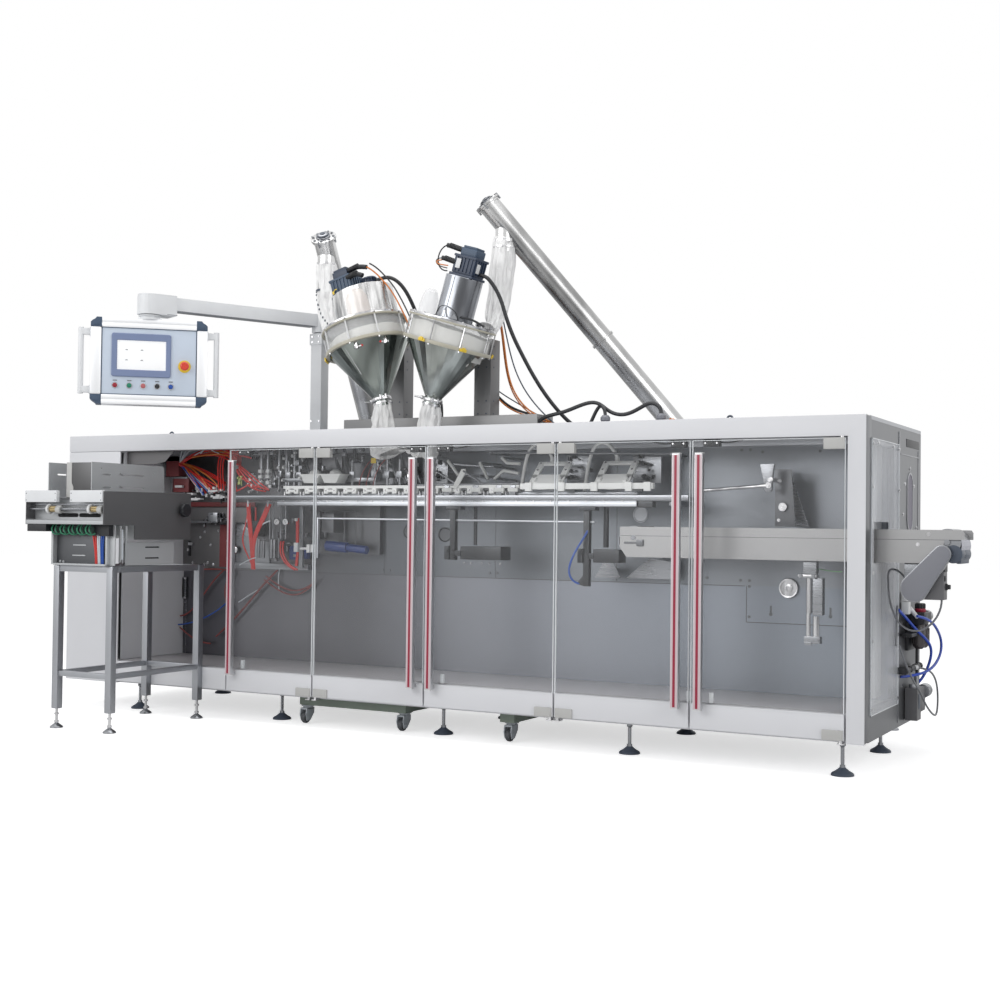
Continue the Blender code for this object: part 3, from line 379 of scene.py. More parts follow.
# The colour of the end slot: painted shade for the cabinet's inside.
SLOT_SHADE = painted("dark opening", (0.17, 0.16, 0.20), 0.5)
DEEP_BLUE = painted("deep blue cylinder", (0.022, 0.045, 0.170), 0.35)
PALE_GREEN = moulded("yellow green fitting", (0.52, 0.60, 0.22), 0.35)
LEAF = moulded("green lead", (0.25, 0.50, 0.26), 0.40)
DEEP_RED = moulded("dark red strip", (0.30, 0.012, 0.040), 0.40)
PINK = moulded("pale strip", (0.62, 0.50, 0.53), 0.42)
BLUE = moulded("blue hose", (0.020, 0.090, 0.42), 0.30)
PALE_HOSE = moulded("pale hose", (0.62, 0.66, 0.70), 0.28)
ORANGE = moulded("orange cable", (0.62, 0.19, 0.035), 0.42)
BELT_WHEEL = moulded("belt wheel", (0.06, 0.10, 0.085), 0.40)
GREEN = moulded("green belt", (0.035, 0.22, 0.12), 0.55)
YELLOW = moulded("yellow latch", (0.78, 0.55, 0.04), 0.38)
LIGHT = moulded("white plastic", (0.70, 0.71, 0.72), 0.40)
BONE = moulded("beige plastic", (0.47, 0.47, 0.46), 0.45)
FACE = moulded("panel face", (0.56, 0.635, 0.74), 0.42, 300, 0.02)
BEZEL = moulded("display frame moulding", (0.185, 0.235, 0.385), 0.40, 300, 0.04)
SCREEN = moulded("lit screen", (0.93, 0.94, 0.95), 0.20, 60, 0.0, Emission_Strength=0.12,
                 Emission_Color=(1, 1, 1, 1))
GRIP_PAINT = moulded("white grip enamel", (0.73, 0.745, 0.765), 0.40, 200, 0.04)
BUTTON_RED = moulded("red button", (0.30, 0.015, 0.030), 0.25)
BUTTON_PINK = moulded("pale red button", (0.46, 0.13, 0.14), 0.25)
BUTTON_GREEN = moulded("green button", (0.010, 0.20, 0.12), 0.25)
BUTTON_BLUE = moulded("blue button", (0.015, 0.075, 0.36), 0.25)
MUSHROOM = moulded("stop button", (0.66, 0.055, 0.030), 0.28)
TREAD = moulded("grey rubber", (0.075, 0.080, 0.088), 0.65, 180, 0.3)
BELT = moulded("belt face", (0.44, 0.45, 0.50), 0.50, 400, 0.2)
POWDER = moulded("white powder", (0.80, 0.79, 0.76), 0.95, 900, 0.6)
RIM_PLASTIC = moulded("aged plastic rim", (0.46, 0.44, 0.36), 0.40)
print("moulded finishes ready")


# %% [markdown]
# ## Finishes: clear sheet
# The doors are clear acrylic. Seen square on, such a sheet is almost nothing: a trace of
# milk and a reflection. So its alpha is low and its gloss is high, and a faint cloud
# keeps it from being perfectly even. The drums are thicker and older, so they are milkier.

# %% Clear sheets
def clear(name, share, colour=(0.90, 0.93, 0.97), gloss=0.06):
    recipe = Recipe(name, IOR=1.46, Roughness=gloss)
    cloud = recipe.noise(1.3, 2)
    return recipe.done(Base_Color=recipe.blend(cloud, colour, (0.97, 0.98, 1.0)),
                       Alpha=cloud * (share * 0.6) + share * 0.7)


PANE = clear("door acrylic", 0.030)
END_PANE = clear("milky end panel", 0.30, (0.66, 0.70, 0.78), 0.16)
EDGE = clear("acrylic edge", 0.80, (0.66, 0.71, 0.74), 0.15)
PALE_CLEAR = clear("clear catch", 0.65, (0.62, 0.68, 0.70), 0.15)
DRUM = clear("drum acrylic", 0.24, (0.86, 0.88, 0.86), 0.12)
DOME = clear("clear dust cover", 0.38, (0.92, 0.92, 0.94), 0.25)
PEACH = clear("tinted dust cover", 0.60, (0.88, 0.74, 0.64), 0.30)


# %% [markdown]
# ## Finishes: cloth
# The dust sleeves are thin woven polyester. Two crossed waves make the weave as a bump,
# and the colour follows the same waves a little, so that it looks woven from near by.
# Narrow noise lines dent the bump along crease lines and darken the colour there as
# painted shade.

# %% Woven sleeve cloth
def cloth_finish(name, colour, alpha=1.0):
    recipe = Recipe(name, Sheen_Weight=0.25)
    warp = recipe.node("ShaderNodeTexWave", {"bands_direction": "X"},
                       {"Vector": recipe.place(), "Scale": 260, "Distortion": 0.6}, output=1)
    weft = recipe.node("ShaderNodeTexWave", {"bands_direction": "Z"},
                       {"Vector": recipe.place(), "Scale": 260, "Distortion": 0.6}, output=1)
    weave = warp * weft
    cloud = recipe.noise(16, 4)
    white, grey = (1, 1, 1), (0, 0, 0)
    # Dark ramp lines on a stretched noise: crease lines in the bump, painted shade in the colour.
    crease_bump_and_shade = recipe.ramp(recipe.noise(13, 2.0, (1, 1, 0.45)),
                          [(0.40, white), (0.50, grey), (0.60, white)])
    darker = tuple(part * 0.80 for part in colour)
    return recipe.done(Base_Color=recipe.blend(weave * 0.1 + cloud * 0.3 + crease_bump_and_shade * 0.6,
                                               darker, colour),
                       Roughness=cloud * 0.1 + 0.70, Alpha=cloud * 0.02 + alpha,
                       Normal=recipe.bump(weave * 0.03 + crease_bump_and_shade, 0.8, 0.0045))


CLOTH = cloth_finish("sleeve cloth", (0.93, 0.93, 0.93))
print("clear and cloth finishes ready")

# %% [markdown]
# ## A bench for small parts
# Hundreds of brackets, bolts and hoses share a few shapes. Each could be its own object,
# but then the scene would hold thousands. Here a bench collects boxes, rods, rings and
# hoses in the machine's coordinates, and hands them over as one piece with one finish.

# %% The bench
class Bench:
    """Shapes in machine coordinates, or in a frame of their own, joined into one piece."""

    def __init__(self, frame_of=None):
        self.own = frame_of or Matrix.Identity(4)
        self.work = bmesh.new()

    def add(self, part):
        """Moves a finished bmesh onto the bench."""
        part.transform(self.own)
        mesh = bpy.data.meshes.new("part")
        part.to_mesh(mesh)
        part.free()
        self.work.from_mesh(mesh)
        bpy.data.meshes.remove(mesh)
        return self

    def box(self, x, y, z, round_by=0.0, spin=None):
        """A box between pairs of limits, its edges rounded, turned about its middle."""
        part = bmesh.new()
        bmesh.ops.create_cube(part, size=1)
        middle = Vector([(low + high) / 2 for low, high in (x, y, z)])
        size = [high - low for low, high in (x, y, z)]
        bmesh.ops.scale(part, vec=size, verts=part.verts)
        if round_by:
            bmesh.ops.bevel(part, geom=list(part.edges), offset=min(round_by, min(size) * 0.45),
                            segments=2, profile=0.7, affect="EDGES")
        if spin:
            part.transform(spin)
        bmesh.ops.translate(part, vec=middle, verts=part.verts)
        return self.add(part)

    def rod(self, start, end, radius, sides=16, end_radius=None, round_by=0.0):
        """A round bar or a cone between two points."""
        start, end = Vector(start), Vector(end)
        part = bmesh.new()
        bmesh.ops.create_cone(part, cap_ends=True, segments=sides, radius1=radius,
                              radius2=radius if end_radius is None else end_radius,
                              depth=(end - start).length)
        if round_by:
            rims = [edge for edge in part.edges
                    if abs(edge.verts[0].co.z - edge.verts[1].co.z) < 1e-6]
            bmesh.ops.bevel(part, geom=rims, offset=round_by, segments=2, profile=0.7,
                            affect="EDGES")
        spin = Vector((0, 0, 1)).rotation_difference(end - start).to_matrix().to_4x4()
        part.transform(Matrix.Translation((start + end) / 2) @ spin)
        return self.add(part)

    def turned(self, profile, at=(0, 0, 0), axis=(0, 0, 1), sides=32, closed=False):
        """A profile of (radius, height) turned around an axis through a point."""
        part = bmesh.new()
        row = [part.verts.new((radius, 0, height)) for radius, height in profile]
        edges = [part.edges.new(pair) for pair in zip(row, row[1:])]
        if closed:
            edges.append(part.edges.new((row[-1], row[0])))
        bmesh.ops.spin(part, geom=row + edges, angle=2 * math.pi, steps=sides,
                       axis=(0, 0, 1), cent=(0, 0, 0), use_merge=True)
        bmesh.ops.remove_doubles(part, verts=part.verts, dist=1e-6)
        bmesh.ops.recalc_face_normals(part, faces=part.faces)
        spin = Vector((0, 0, 1)).rotation_difference(Vector(axis)).to_matrix().to_4x4()
        part.transform(Matrix.Translation(at) @ spin)
        return self.add(part)

    def ball(self, middle, radius, stretch=(1, 1, 1)):
        part = bmesh.new()
        bmesh.ops.create_uvsphere(part, u_segments=20, v_segments=12, radius=radius)
        bmesh.ops.scale(part, vec=stretch, verts=part.verts)
        bmesh.ops.translate(part, vec=middle, verts=part.verts)
        return self.add(part)

    def curve(self, points, radius, smooth=True, resolution=2):
        """A hose or wire: a curve with a round bevel, made into mesh."""
        data = bpy.data.curves.new("route", "CURVE")
        data.dimensions = "3D"
        data.bevel_depth, data.bevel_resolution = radius, resolution
        data.use_fill_caps, data.resolution_u = True, 5
        line = data.splines.new("NURBS" if smooth and len(points) > 2 else "POLY")
        line.points.add(len(points) - 1)
        for spot, place in zip(line.points, points):
            spot.co = (*place, 1)
        line.use_endpoint_u, line.order_u = True, min(4, len(points))
        holder = bpy.data.objects.new("route", data)
        mesh = bpy.data.meshes.new_from_object(holder)
        part = bmesh.new()
        part.from_mesh(mesh)
        bmesh.ops.remove_doubles(part, verts=part.verts, dist=1e-6)
        bpy.data.objects.remove(holder)
        bpy.data.meshes.remove(mesh)
        bpy.data.curves.remove(data)
        return self.add(part)

    def plate(self, outline, axis, low, high, round_by=0.0):
        """A flat plate: its outline uses the two axes other than the named one."""
        part = bmesh.new()
        where = "xyz".index(axis)
        ring = []
        for a, b in outline:
            spot = [a, b]
            spot.insert(where, low)
            ring.append(part.verts.new(spot))
        face = part.faces.new(ring)
        pushed = bmesh.ops.extrude_face_region(part, geom=[face])["geom"]
        move = Vector([high - low if name == axis else 0 for name in "xyz"])
        bmesh.ops.translate(part, vec=move,
                            verts=[item for item in pushed if isinstance(item, bmesh.types.BMVert)])
        bmesh.ops.recalc_face_normals(part, faces=part.faces)
        if round_by:
            bmesh.ops.bevel(part, geom=list(part.edges), offset=round_by, segments=2,
                            profile=0.7, affect="EDGES")
        return self.add(part)

    def pierced(self, outline, holes, axis, low, high):
        """A flat sheet with holes, each given as an outline of its own."""
        data = bpy.data.curves.new("cut", "CURVE")
        data.dimensions, data.fill_mode, data.extrude = "2D", "BOTH", (high - low) / 2
        for points in (outline, *holes):
            line = data.splines.new("POLY")
            line.points.add(len(points) - 1)
            line.use_cyclic_u = True
            for spot, place in zip(line.points, points):
                spot.co = (*place, 0, 1)
        holder = bpy.data.objects.new("cut", data)
        mesh = bpy.data.meshes.new_from_object(holder)
        part = bmesh.new()
        part.from_mesh(mesh)
        bmesh.ops.remove_doubles(part, verts=part.verts, dist=1e-6)
        for vert in part.verts:
            place = [vert.co.x, vert.co.y]
            place.insert("xyz".index(axis), vert.co.z + (low + high) / 2)
            vert.co = place
        bmesh.ops.recalc_face_normals(part, faces=part.faces)
        bpy.data.objects.remove(holder)
        bpy.data.meshes.remove(mesh)
        bpy.data.curves.remove(data)
        return self.add(part)

    def bolt(self, at, toward, radius=0.005, height=0.004):
        """A hexagon head on a washer."""
        at, toward = Vector(at), Vector(toward).normalized()
        self.rod(at, at + toward * height * 0.3, radius * 1.5, 14)
        return self.rod(at + toward * height * 0.3, at + toward * height, radius, 6)

    def piece(self, name, finish, body="machine", smooth=30):
        """The collected shapes as one named piece that rides on a body."""
        mesh = bpy.data.meshes.new(name)
        self.work.to_mesh(mesh)
        self.work.free()
        mesh.transform(Matrix.Translation(SHIFT))
        mesh.materials.append(finish)
        mesh.shade_smooth()
        mesh.set_sharp_from_angle(angle=math.radians(smooth))
        made = bpy.data.objects.new(name, mesh)
        bpy.context.scene.collection.objects.link(made)
        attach(made, body)
        print(f"{name}: {len(mesh.polygons)} faces")
        return made


FRONTWARD = (0, -1, 0)


def finish_node(name, *finishes):
    """Gives a solid of the frame its finish."""
    mesh = nodes[name].data
    mesh.materials.clear()
    for finish in finishes:
        mesh.materials.append(finish)
    mesh.shade_smooth()
    mesh.set_sharp_from_angle(angle=math.radians(30))

# %% [markdown]
# ## Finishes for the solids
# Most solids already have the right shape: sheets, rails, legs, tubes. Those keep their
# own surface and only take a finish. The ones whose look needs more are replaced further
# down by pieces with the detail of the real part.

# %% Solids that only take a finish
plain = {
    "base_frame": WHITE, "caster_frame": OLIVE, "caster_beam": OLIVE, "left_housing": WHITE,
    "rear_cabinet": STEEL_UP, "roof_panel": ROOF_SHEET, "front_frame": WHITE,
    "inner_wall": WALL, "end_wall": END_SHEET, "end_window": PANE, "pouch_rail": MACHINED,
    "gripper_row": LIGHT, "bag_opener": WARM_WHITE, "lower_linkage": SHADE_STEEL,
    "valve_station": MACHINED, "discharge_arm": SHADE_STEEL, "outfeed_frame": STEEL,
    "outfeed_belt": BELT, "outfeed_drive": SHADE_STEEL, "outfeed_bracket": MACHINED,
    "air_unit": BLACK, "infeed_stand": LEG_STEEL, "infeed_head": DARK_SHEET,
    "infeed_guides": STEEL, "infeed_knob": BLACK, "panel_post": WHITE, "panel_arm": WHITE,
    "operator_panel": FACE, "filler_stand": SHADE_STEEL,
    "filler_lead_left": BLACK, "filler_lead_right": BLACK,
}
for name, finish in plain.items():
    finish_node(name, finish)
for side in ("left", "right"):
    finish_node(f"filler_cone_{side}", CONE if side == "left" else CONE_BRIGHTER_REFLECTION)
    finish_node(f"filler_drum_{side}", DRUM)
    finish_node(f"filler_motor_{side}", CAN)
    finish_node(f"feed_sleeve_{side}", CLOTH)
    finish_node(f"outlet_sleeve_{side}", CLOTH)
    finish_node(f"screw_feeder_{side}", TUBE)
for number in range(1, 6):
    finish_node(f"door_{number}_pane", PANE)
    finish_node(f"door_{number}_trim", WHITE)
for number in range(1, 4):
    finish_node(f"caster_fork_{number}", WHITE)
    finish_node(f"caster_wheel_{number}", TREAD)
print("finished solids:", len(plain) + 28)


# %% [markdown]
# ## The fillers: frames of their own
# The two powder fillers lean outwards by the same angle so that their outlets can meet
# over neighbouring pouches. Each is easiest to build upright, around its own axis, with
# its outlet at zero, and then to tip over with one matrix.

# %% The leaning frames
LEAN = math.radians(16.5)
POUCH_Y = 0.25
OUTLETS = {"left": (-1, 1.751, 0.162), "right": (1, 2.039, 0.152)}
RIM, LID = 0.247, 0.360
DRUM_RADIUS = 0.195


def leaning(side):
    """From a filler's upright frame to the machine's."""
    way, x, rise = OUTLETS[side]
    return Matrix.Translation((x, POUCH_Y, ROOF + rise)) @ Matrix.Rotation(way * LEAN, 4, "Y")


def around(radius, degrees, height=0.0):
    """A point around a filler's axis: 0 degrees faces the front, 90 the right."""
    angle = math.radians(degrees)
    return Vector((radius * math.sin(angle), -radius * math.cos(angle), height))


# %% [markdown]
# The clear drum between the two rims holds the powder that the screw below takes. Its
# rims are two flat plastic rings with a rubber seal, clamped together by tie rods. Yellow
# toggle latches hold the lower rim: four on the right drum and one on the left.

# %% Rims, seals, tie rods and latches
for side in ("left", "right"):
    rims = Bench(leaning(side))
    rims.turned([(DRUM_RADIUS + 0.0005, RIM - 0.004), (DRUM_RADIUS + 0.0135, RIM - 0.003),
                 (DRUM_RADIUS + 0.0150, RIM + 0.004), (DRUM_RADIUS + 0.0135, RIM + 0.012),
                 (DRUM_RADIUS + 0.0065, RIM + 0.013), (DRUM_RADIUS + 0.0065, RIM + 0.0005),
                 (DRUM_RADIUS + 0.0005, RIM - 0.0004)], sides=72, closed=True)
    rims.turned([(DRUM_RADIUS + 0.0005, LID - 0.009), (DRUM_RADIUS + 0.011, LID - 0.009),
                 (DRUM_RADIUS + 0.013, LID - 0.004), (DRUM_RADIUS + 0.011, LID - 0.0006),
                 (DRUM_RADIUS + 0.0005, LID - 0.0006)], sides=72, closed=True)
    rims.piece(f"rims_{side}", RIM_PLASTIC)

    rods = Bench(leaning(side))
    for degrees in range(-160, 181, 40):
        foot, head = (around(DRUM_RADIUS + 0.0105, degrees + 8, height)
                      for height in (RIM + 0.0122, LID - 0.0095))
        rods.rod(foot, head, 0.0036, 12)
    rods.piece(f"tie_rods_{side}", LIGHT if side == "left" else CHROME)
    nuts = Bench(leaning(side))
    for degrees in range(-160, 181, 40):
        spot = around(DRUM_RADIUS + 0.0105, degrees + 8)
        for height, toward in ((RIM - 0.004, -1), (LID + 0.0005, 1)):
            nuts.bolt(spot + Vector((0, 0, height)), (0, 0, toward), 0.0042, 0.006)
    nuts.piece(f"rim_nuts_{side}", CHROME)

latches = Bench(leaning("right"))
for degrees in (-2, 52, 128, -128):
    turned_to = leaning("right") @ Matrix.Rotation(math.radians(degrees), 4, "Z")
    latches.own = turned_to
    front = -(DRUM_RADIUS + 0.0155)
    latches.box((-0.017, 0.017), (front - 0.006, front), (RIM - 0.003, RIM + 0.011), 0.002)
    latches.box((-0.008, 0.008), (front - 0.011, front - 0.004), (RIM + 0.001, RIM + 0.017), 0.002)
latches.piece("yellow_latches_right", YELLOW)
latch_left = Bench(leaning("left") @ Matrix.Rotation(math.radians(-68), 4, "Z"))
latch_left.box((-0.030, 0.030), (-DRUM_RADIUS - 0.0225, -DRUM_RADIUS - 0.0155),
               (RIM - 0.012, RIM + 0.008), 0.003)
latch_left.box((-0.012, 0.012), (-DRUM_RADIUS - 0.026, -DRUM_RADIUS - 0.0215),
               (RIM - 0.008, RIM + 0.004), 0.002)
latch_left.piece("yellow_latch_left", YELLOW)


# %% [markdown]
# Powder never lies flat in a leaning drum: it slumps towards the low side and shows a
# wavy top through the clear wall. A disc of rings whose height follows the slope and a
# little noise gives that.

# %% The powder in the drums
def powder(side, level, slump):
    heap = bmesh.new()
    rings, spokes, outer = 10, 64, DRUM_RADIUS - 0.0075
    rows = []
    for ring in range(rings + 1):
        radius = outer * ring / rings
        row = []
        for spoke in range(spokes):
            spot = around(radius, 360 * spoke / spokes)
            wave = noise.noise(Vector((spot.x * 9, spot.y * 9, level * 50))) * 0.010
            row.append(heap.verts.new((spot.x, spot.y, level + slump * spot.x + wave)))
        rows.append(row)
    foot = [heap.verts.new((vertex.co.x, vertex.co.y, RIM + 0.0095)) for vertex in rows[-1]]
    rows.append(foot)
    for inner, wider in zip(rows, rows[1:]):
        for spoke in range(spokes):
            after = (spoke + 1) % spokes
            heap.faces.new((inner[spoke], wider[spoke], wider[after], inner[after]))
    heap.faces.new(foot)
    bmesh.ops.remove_doubles(heap, verts=heap.verts, dist=1e-6)
    bmesh.ops.recalc_face_normals(heap, faces=heap.faces)
    Bench(leaning(side)).add(heap).piece(f"powder_{side}", POWDER, smooth=50)


powder("left", RIM + 0.052, 0.06)
powder("right", RIM + 0.086, -0.07)

# %% [markdown]
# Over the lid stands the steel can of the stirring gearbox. The left can is wide and its
# thin sheet is slightly fluted, which breaks its reflection into upright stripes, and its
# finish adds painted reflection stripes as well. The right can is narrow and smooth, with
# an inspection mouth at its foot.

# %% Lids and cans
LID_TOP = 0.370


def fluted(radius, low, high, depth, middle):
    """A can whose radius wavers with the angle, closed at the top."""
    can = bmesh.new()
    spokes = 180
    rows = []
    for height, inset in ((low, 0), (high - 0.002, 0), (high, 0.002)):
        row = []
        for spoke in range(spokes):
            degrees = 360 * spoke / spokes
            waver = noise.noise(Vector((math.cos(math.radians(degrees)) * 9,
                                        math.sin(math.radians(degrees)) * 9, 3.1)))
            spot = around(radius - inset + depth * waver, degrees, height)
            row.append(can.verts.new(spot + Vector((middle, 0, 0))))
        rows.append(row)
    for lower, upper in zip(rows, rows[1:]):
        for spoke in range(spokes):
            after = (spoke + 1) % spokes
            can.faces.new((lower[spoke], lower[after], upper[after], upper[spoke]))
    can.faces.new(rows[-1])
    can.faces.new(rows[0])
    bmesh.ops.recalc_face_normals(can, faces=can.faces)
    return can


lid_rim = [(0.0, LID + 0.0004), (DRUM_RADIUS + 0.0095, LID + 0.0004),
           (DRUM_RADIUS + 0.0100, LID + 0.003), (DRUM_RADIUS + 0.0100, LID_TOP - 0.001),
           (DRUM_RADIUS + 0.0085, LID_TOP), (0.0, LID_TOP)]
made = {}
for side in ("left", "right"):
    lid = Bench(leaning(side))
    lid.turned(lid_rim, sides=72)
    lid.turned([(0.026, LID_TOP - 0.001), (0.026, LID_TOP + 0.010), (0.020, LID_TOP + 0.012),
                (0.0, LID_TOP + 0.012)], at=around(0.17, 150, 0), sides=24)
    lid.rod(around(0.165, 205, LID_TOP), around(0.165, 205, LID_TOP + 0.018), 0.008, 12)
    for degrees in range(0, 360, 30):
        lid.bolt(around(DRUM_RADIUS - 0.006, degrees + 15, LID_TOP), (0, 0, 1), 0.004, 0.005)
    made[side] = [lid.piece(f"lid_{side}", CHROME)]

can = Bench(leaning("left"))
can.add(fluted(0.1465, LID_TOP, 0.519, 0.0030, 0.035))
can.turned([(0.148, LID_TOP), (0.1535, LID_TOP), (0.1535, LID_TOP + 0.005),
            (0.148, LID_TOP + 0.006)],
           at=(0.035, 0, 0), sides=64, closed=True)
made["left"].append(can.piece("can_left", CAN_BRIGHT))
can = Bench(leaning("right"))
can.turned([(0.0875, LID_TOP), (0.0875, 0.567), (0.0860, 0.569), (0.0, 0.569)], sides=64)
can.turned([(0.0875, LID_TOP), (0.095, LID_TOP), (0.095, LID_TOP + 0.004),
            (0.0875, LID_TOP + 0.005)], sides=64, closed=True)
can.rod((-0.0010, -0.0884, LID_TOP + 0.003), (0.0010, -0.0884, 0.566), 0.0012, 8)
made["right"].append(can.piece("can_right", CAN))
mouth = Bench(leaning("right"))
mouth.curve([around(0.0905, -42, LID_TOP + 0.004), around(0.0905, -38, LID_TOP + 0.040),
             around(0.0905, -12, LID_TOP + 0.060), around(0.0905, 16, LID_TOP + 0.052),
             around(0.0905, 40, LID_TOP + 0.030), around(0.0905, 44, LID_TOP + 0.004)], 0.0022)
mouth.curve([around(0.100, 50, LID_TOP + 0.020), around(0.130, 62, LID_TOP + 0.030),
             around(0.165, 72, LID_TOP + 0.020), around(0.175, 84, LID_TOP + 0.008)], 0.005)
mouth.piece("seal_right", BLACK)
# The inspection mouth is a flat dark patch on the can: painted shade for its opening.
mouth = Bench(leaning("right"))
spots = [around(0.0885, degrees, LID_TOP + 0.006 + 0.046 * math.cos(math.radians(degrees * 2.1)))
         for degrees in range(-38, 41, 4)]
base = [around(0.0885, degrees, LID_TOP + 0.006) for degrees in range(40, -39, -4)]
patch = bmesh.new()
patch.faces.new([patch.verts.new(spot) for spot in spots + base])
mouth.add(patch)
made["right"].append(mouth.piece("can_mouth_painted_shade_right", DARK_SHEET))


# %% [markdown]
# Each stirrer is turned by a servo motor: a square gearbox, the finned motor on it and
# two fat connectors, whose cables leave in short loops. The dark blue castings are small,
# but they are the darkest spots of the picture's upper half.

# %% Servo motors
def servo(bench_at, finish_low, finish_high, foot, middle, tall=0.100, small=0.042):
    """Gearbox flange, ribbed housing and the end cap of one motor."""
    parts = Bench(bench_at)
    parts.box((middle - 0.062, middle + 0.062), (-0.062, 0.062), (foot, foot + 0.012), 0.003)
    parts.box((middle - 0.056, middle + 0.056), (-0.056, 0.056),
              (foot + 0.012, foot + tall - 0.006),
              0.008)
    for across in (-0.040, -0.020, 0.0, 0.020, 0.040):
        parts.box((middle + across - 0.003, middle + across + 0.003), (-0.061, 0.061),
                  (foot + 0.020, foot + tall - 0.014), 0.001)
        parts.box((middle - 0.061, middle + 0.061), (across - 0.003, across + 0.003),
                  (foot + 0.020, foot + tall - 0.014), 0.001)
    parts.box((middle - 0.060, middle + 0.060), (-0.060, 0.060),
              (foot + tall - 0.014, foot + tall - 0.002), 0.004)
    lower = parts.piece(f"gearbox_{finish_low.name.split()[0]}_{int(foot * 1000)}", finish_low)
    parts = Bench(bench_at)
    parts.box((middle - small, middle + small), (-small, small),
              (foot + tall - 0.002, foot + tall + 0.034), 0.007)
    parts.box((middle - small + 0.006, middle + small - 0.006), (-small + 0.006, small - 0.006),
              (foot + tall + 0.034, foot + tall + 0.044), 0.004)
    for across in (-0.030, 0.030):
        for along in (-0.030, 0.030):
            parts.rod((middle + across, along, foot + tall + 0.032),
                      (middle + across, along, foot + tall + 0.0385), 0.0045, 8)
    upper = parts.piece(f"motor_{finish_high.name.split()[0]}_{int(foot * 1000)}", finish_high)
    return [lower, upper]


made["left"] += servo(leaning("left"), SLATE, NAVY, 0.520, -0.040)
made["right"] += servo(leaning("right"), NAVY, SLATE, 0.570, 0.010)
second = Bench(leaning("left"))
second.rod((0.085, 0, 0.518), (0.085, 0, 0.526), 0.0415, 32)
second.rod((0.085, 0, 0.526), (0.085, 0, 0.564), 0.034, 32)
for degrees in range(0, 360, 20):
    angle = math.radians(degrees)
    way = Vector((math.cos(angle), math.sin(angle), 0))
    spot = Vector((0.085, 0, 0)) + way * 0.0375
    second.box((spot.x - 0.0042, spot.x + 0.0042), (spot.y - 0.0015, spot.y + 0.0015),
               (0.526, 0.563), 0.0, Matrix.Rotation(angle, 4, "Z"))
second.turned([(0.040, 0.563), (0.041, 0.566), (0.036, 0.573), (0.020, 0.5745), (0.0, 0.5745)],
              at=(0.085, 0, 0), sides=32)
made["left"].append(second.piece("second_motor_left", NAVY))
for side in ("left", "right"):
    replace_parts(made[side][0], f"filler_motor_{side}")

# %% Connectors, cable loops and blank plates on the motors
plugs = Bench(leaning("left"))
plugs.own = leaning("left")
for height, reach, out in ((0.640, 0.105, -0.025), (0.600, 0.088, -0.050)):
    start = Vector((0.002, out, height))
    route = [start, start + Vector((0.030, -0.004, 0.004)), start + Vector((0.062, -0.006, 0.000)),
             start + Vector((reach, -0.004, -0.022))]
    plugs.curve(route, 0.0115, resolution=3)
    for share in range(9):
        spot = start.lerp(route[2], share / 8)
        plugs.rod(spot - Vector((0.0016, 0, 0)), spot + Vector((0.0016, 0, 0)), 0.0135, 18)
plugs.piece("connectors_left", BLACK)
plugs = Bench(leaning("right"))
for height, out in ((0.690, -0.030), (0.628, -0.046)):
    start = Vector((-0.034, out, height))
    route = [start, start + Vector((-0.030, -0.004, 0.003)),
             start + Vector((-0.060, -0.006, 0.006)),
             start + Vector((-0.078, -0.006, 0.004))]
    plugs.curve(route, 0.0110, resolution=3)
    for share in range(9):
        spot = start.lerp(route[2], share / 8)
        plugs.rod(spot - Vector((0.0016, 0, 0)), spot + Vector((0.0016, 0, 0)), 0.0130, 18)
plugs.piece("connectors_right", BLACK)

loops = Bench(leaning("right"))
loops.curve([(-0.100, -0.036, 0.700), (-0.128, -0.040, 0.690), (-0.146, -0.042, 0.650),
             (-0.132, -0.050, 0.600), (-0.096, -0.056, 0.574), (-0.064, -0.062, 0.580)], 0.0032)
loops.curve([(-0.110, -0.048, 0.632), (-0.140, -0.050, 0.628), (-0.148, -0.054, 0.604),
             (-0.110, -0.060, 0.590), (-0.066, -0.064, 0.592)], 0.0026)
loops.piece("cable_loops_black", BLACK)
loops = Bench(leaning("right"))
loops.curve([(-0.112, -0.052, 0.622), (-0.136, -0.056, 0.616), (-0.138, -0.060, 0.600),
             (-0.100, -0.064, 0.600), (-0.064, -0.066, 0.604)], 0.0028)
loops.piece("cable_loop_orange", ORANGE)
plates = Bench(leaning("right"))
plates.box((-0.028, -0.004), (-0.0640, -0.0612), (0.604, 0.648), 0.001)
plates.box((0.0712, 0.0735), (-0.040, -0.012), (0.600, 0.642), 0.001)
plates.piece("blank_plates_right", LIGHT)
tags = Bench(leaning("left"))
tags.box((-0.090, -0.080), (-0.0640, -0.0610), (0.545, 0.560), 0.001)
tags.curve([(-0.078, -0.064, 0.556), (-0.070, -0.072, 0.566), (-0.058, -0.068, 0.560)], 0.0022)
tags.piece("yellow_tag_left", YELLOW)

# %% [markdown]
# The cones carry small fittings: a bright weld seam down the front, two red-tipped
# level sensors on the left one, and a quick clamp round each outlet with its toggle.

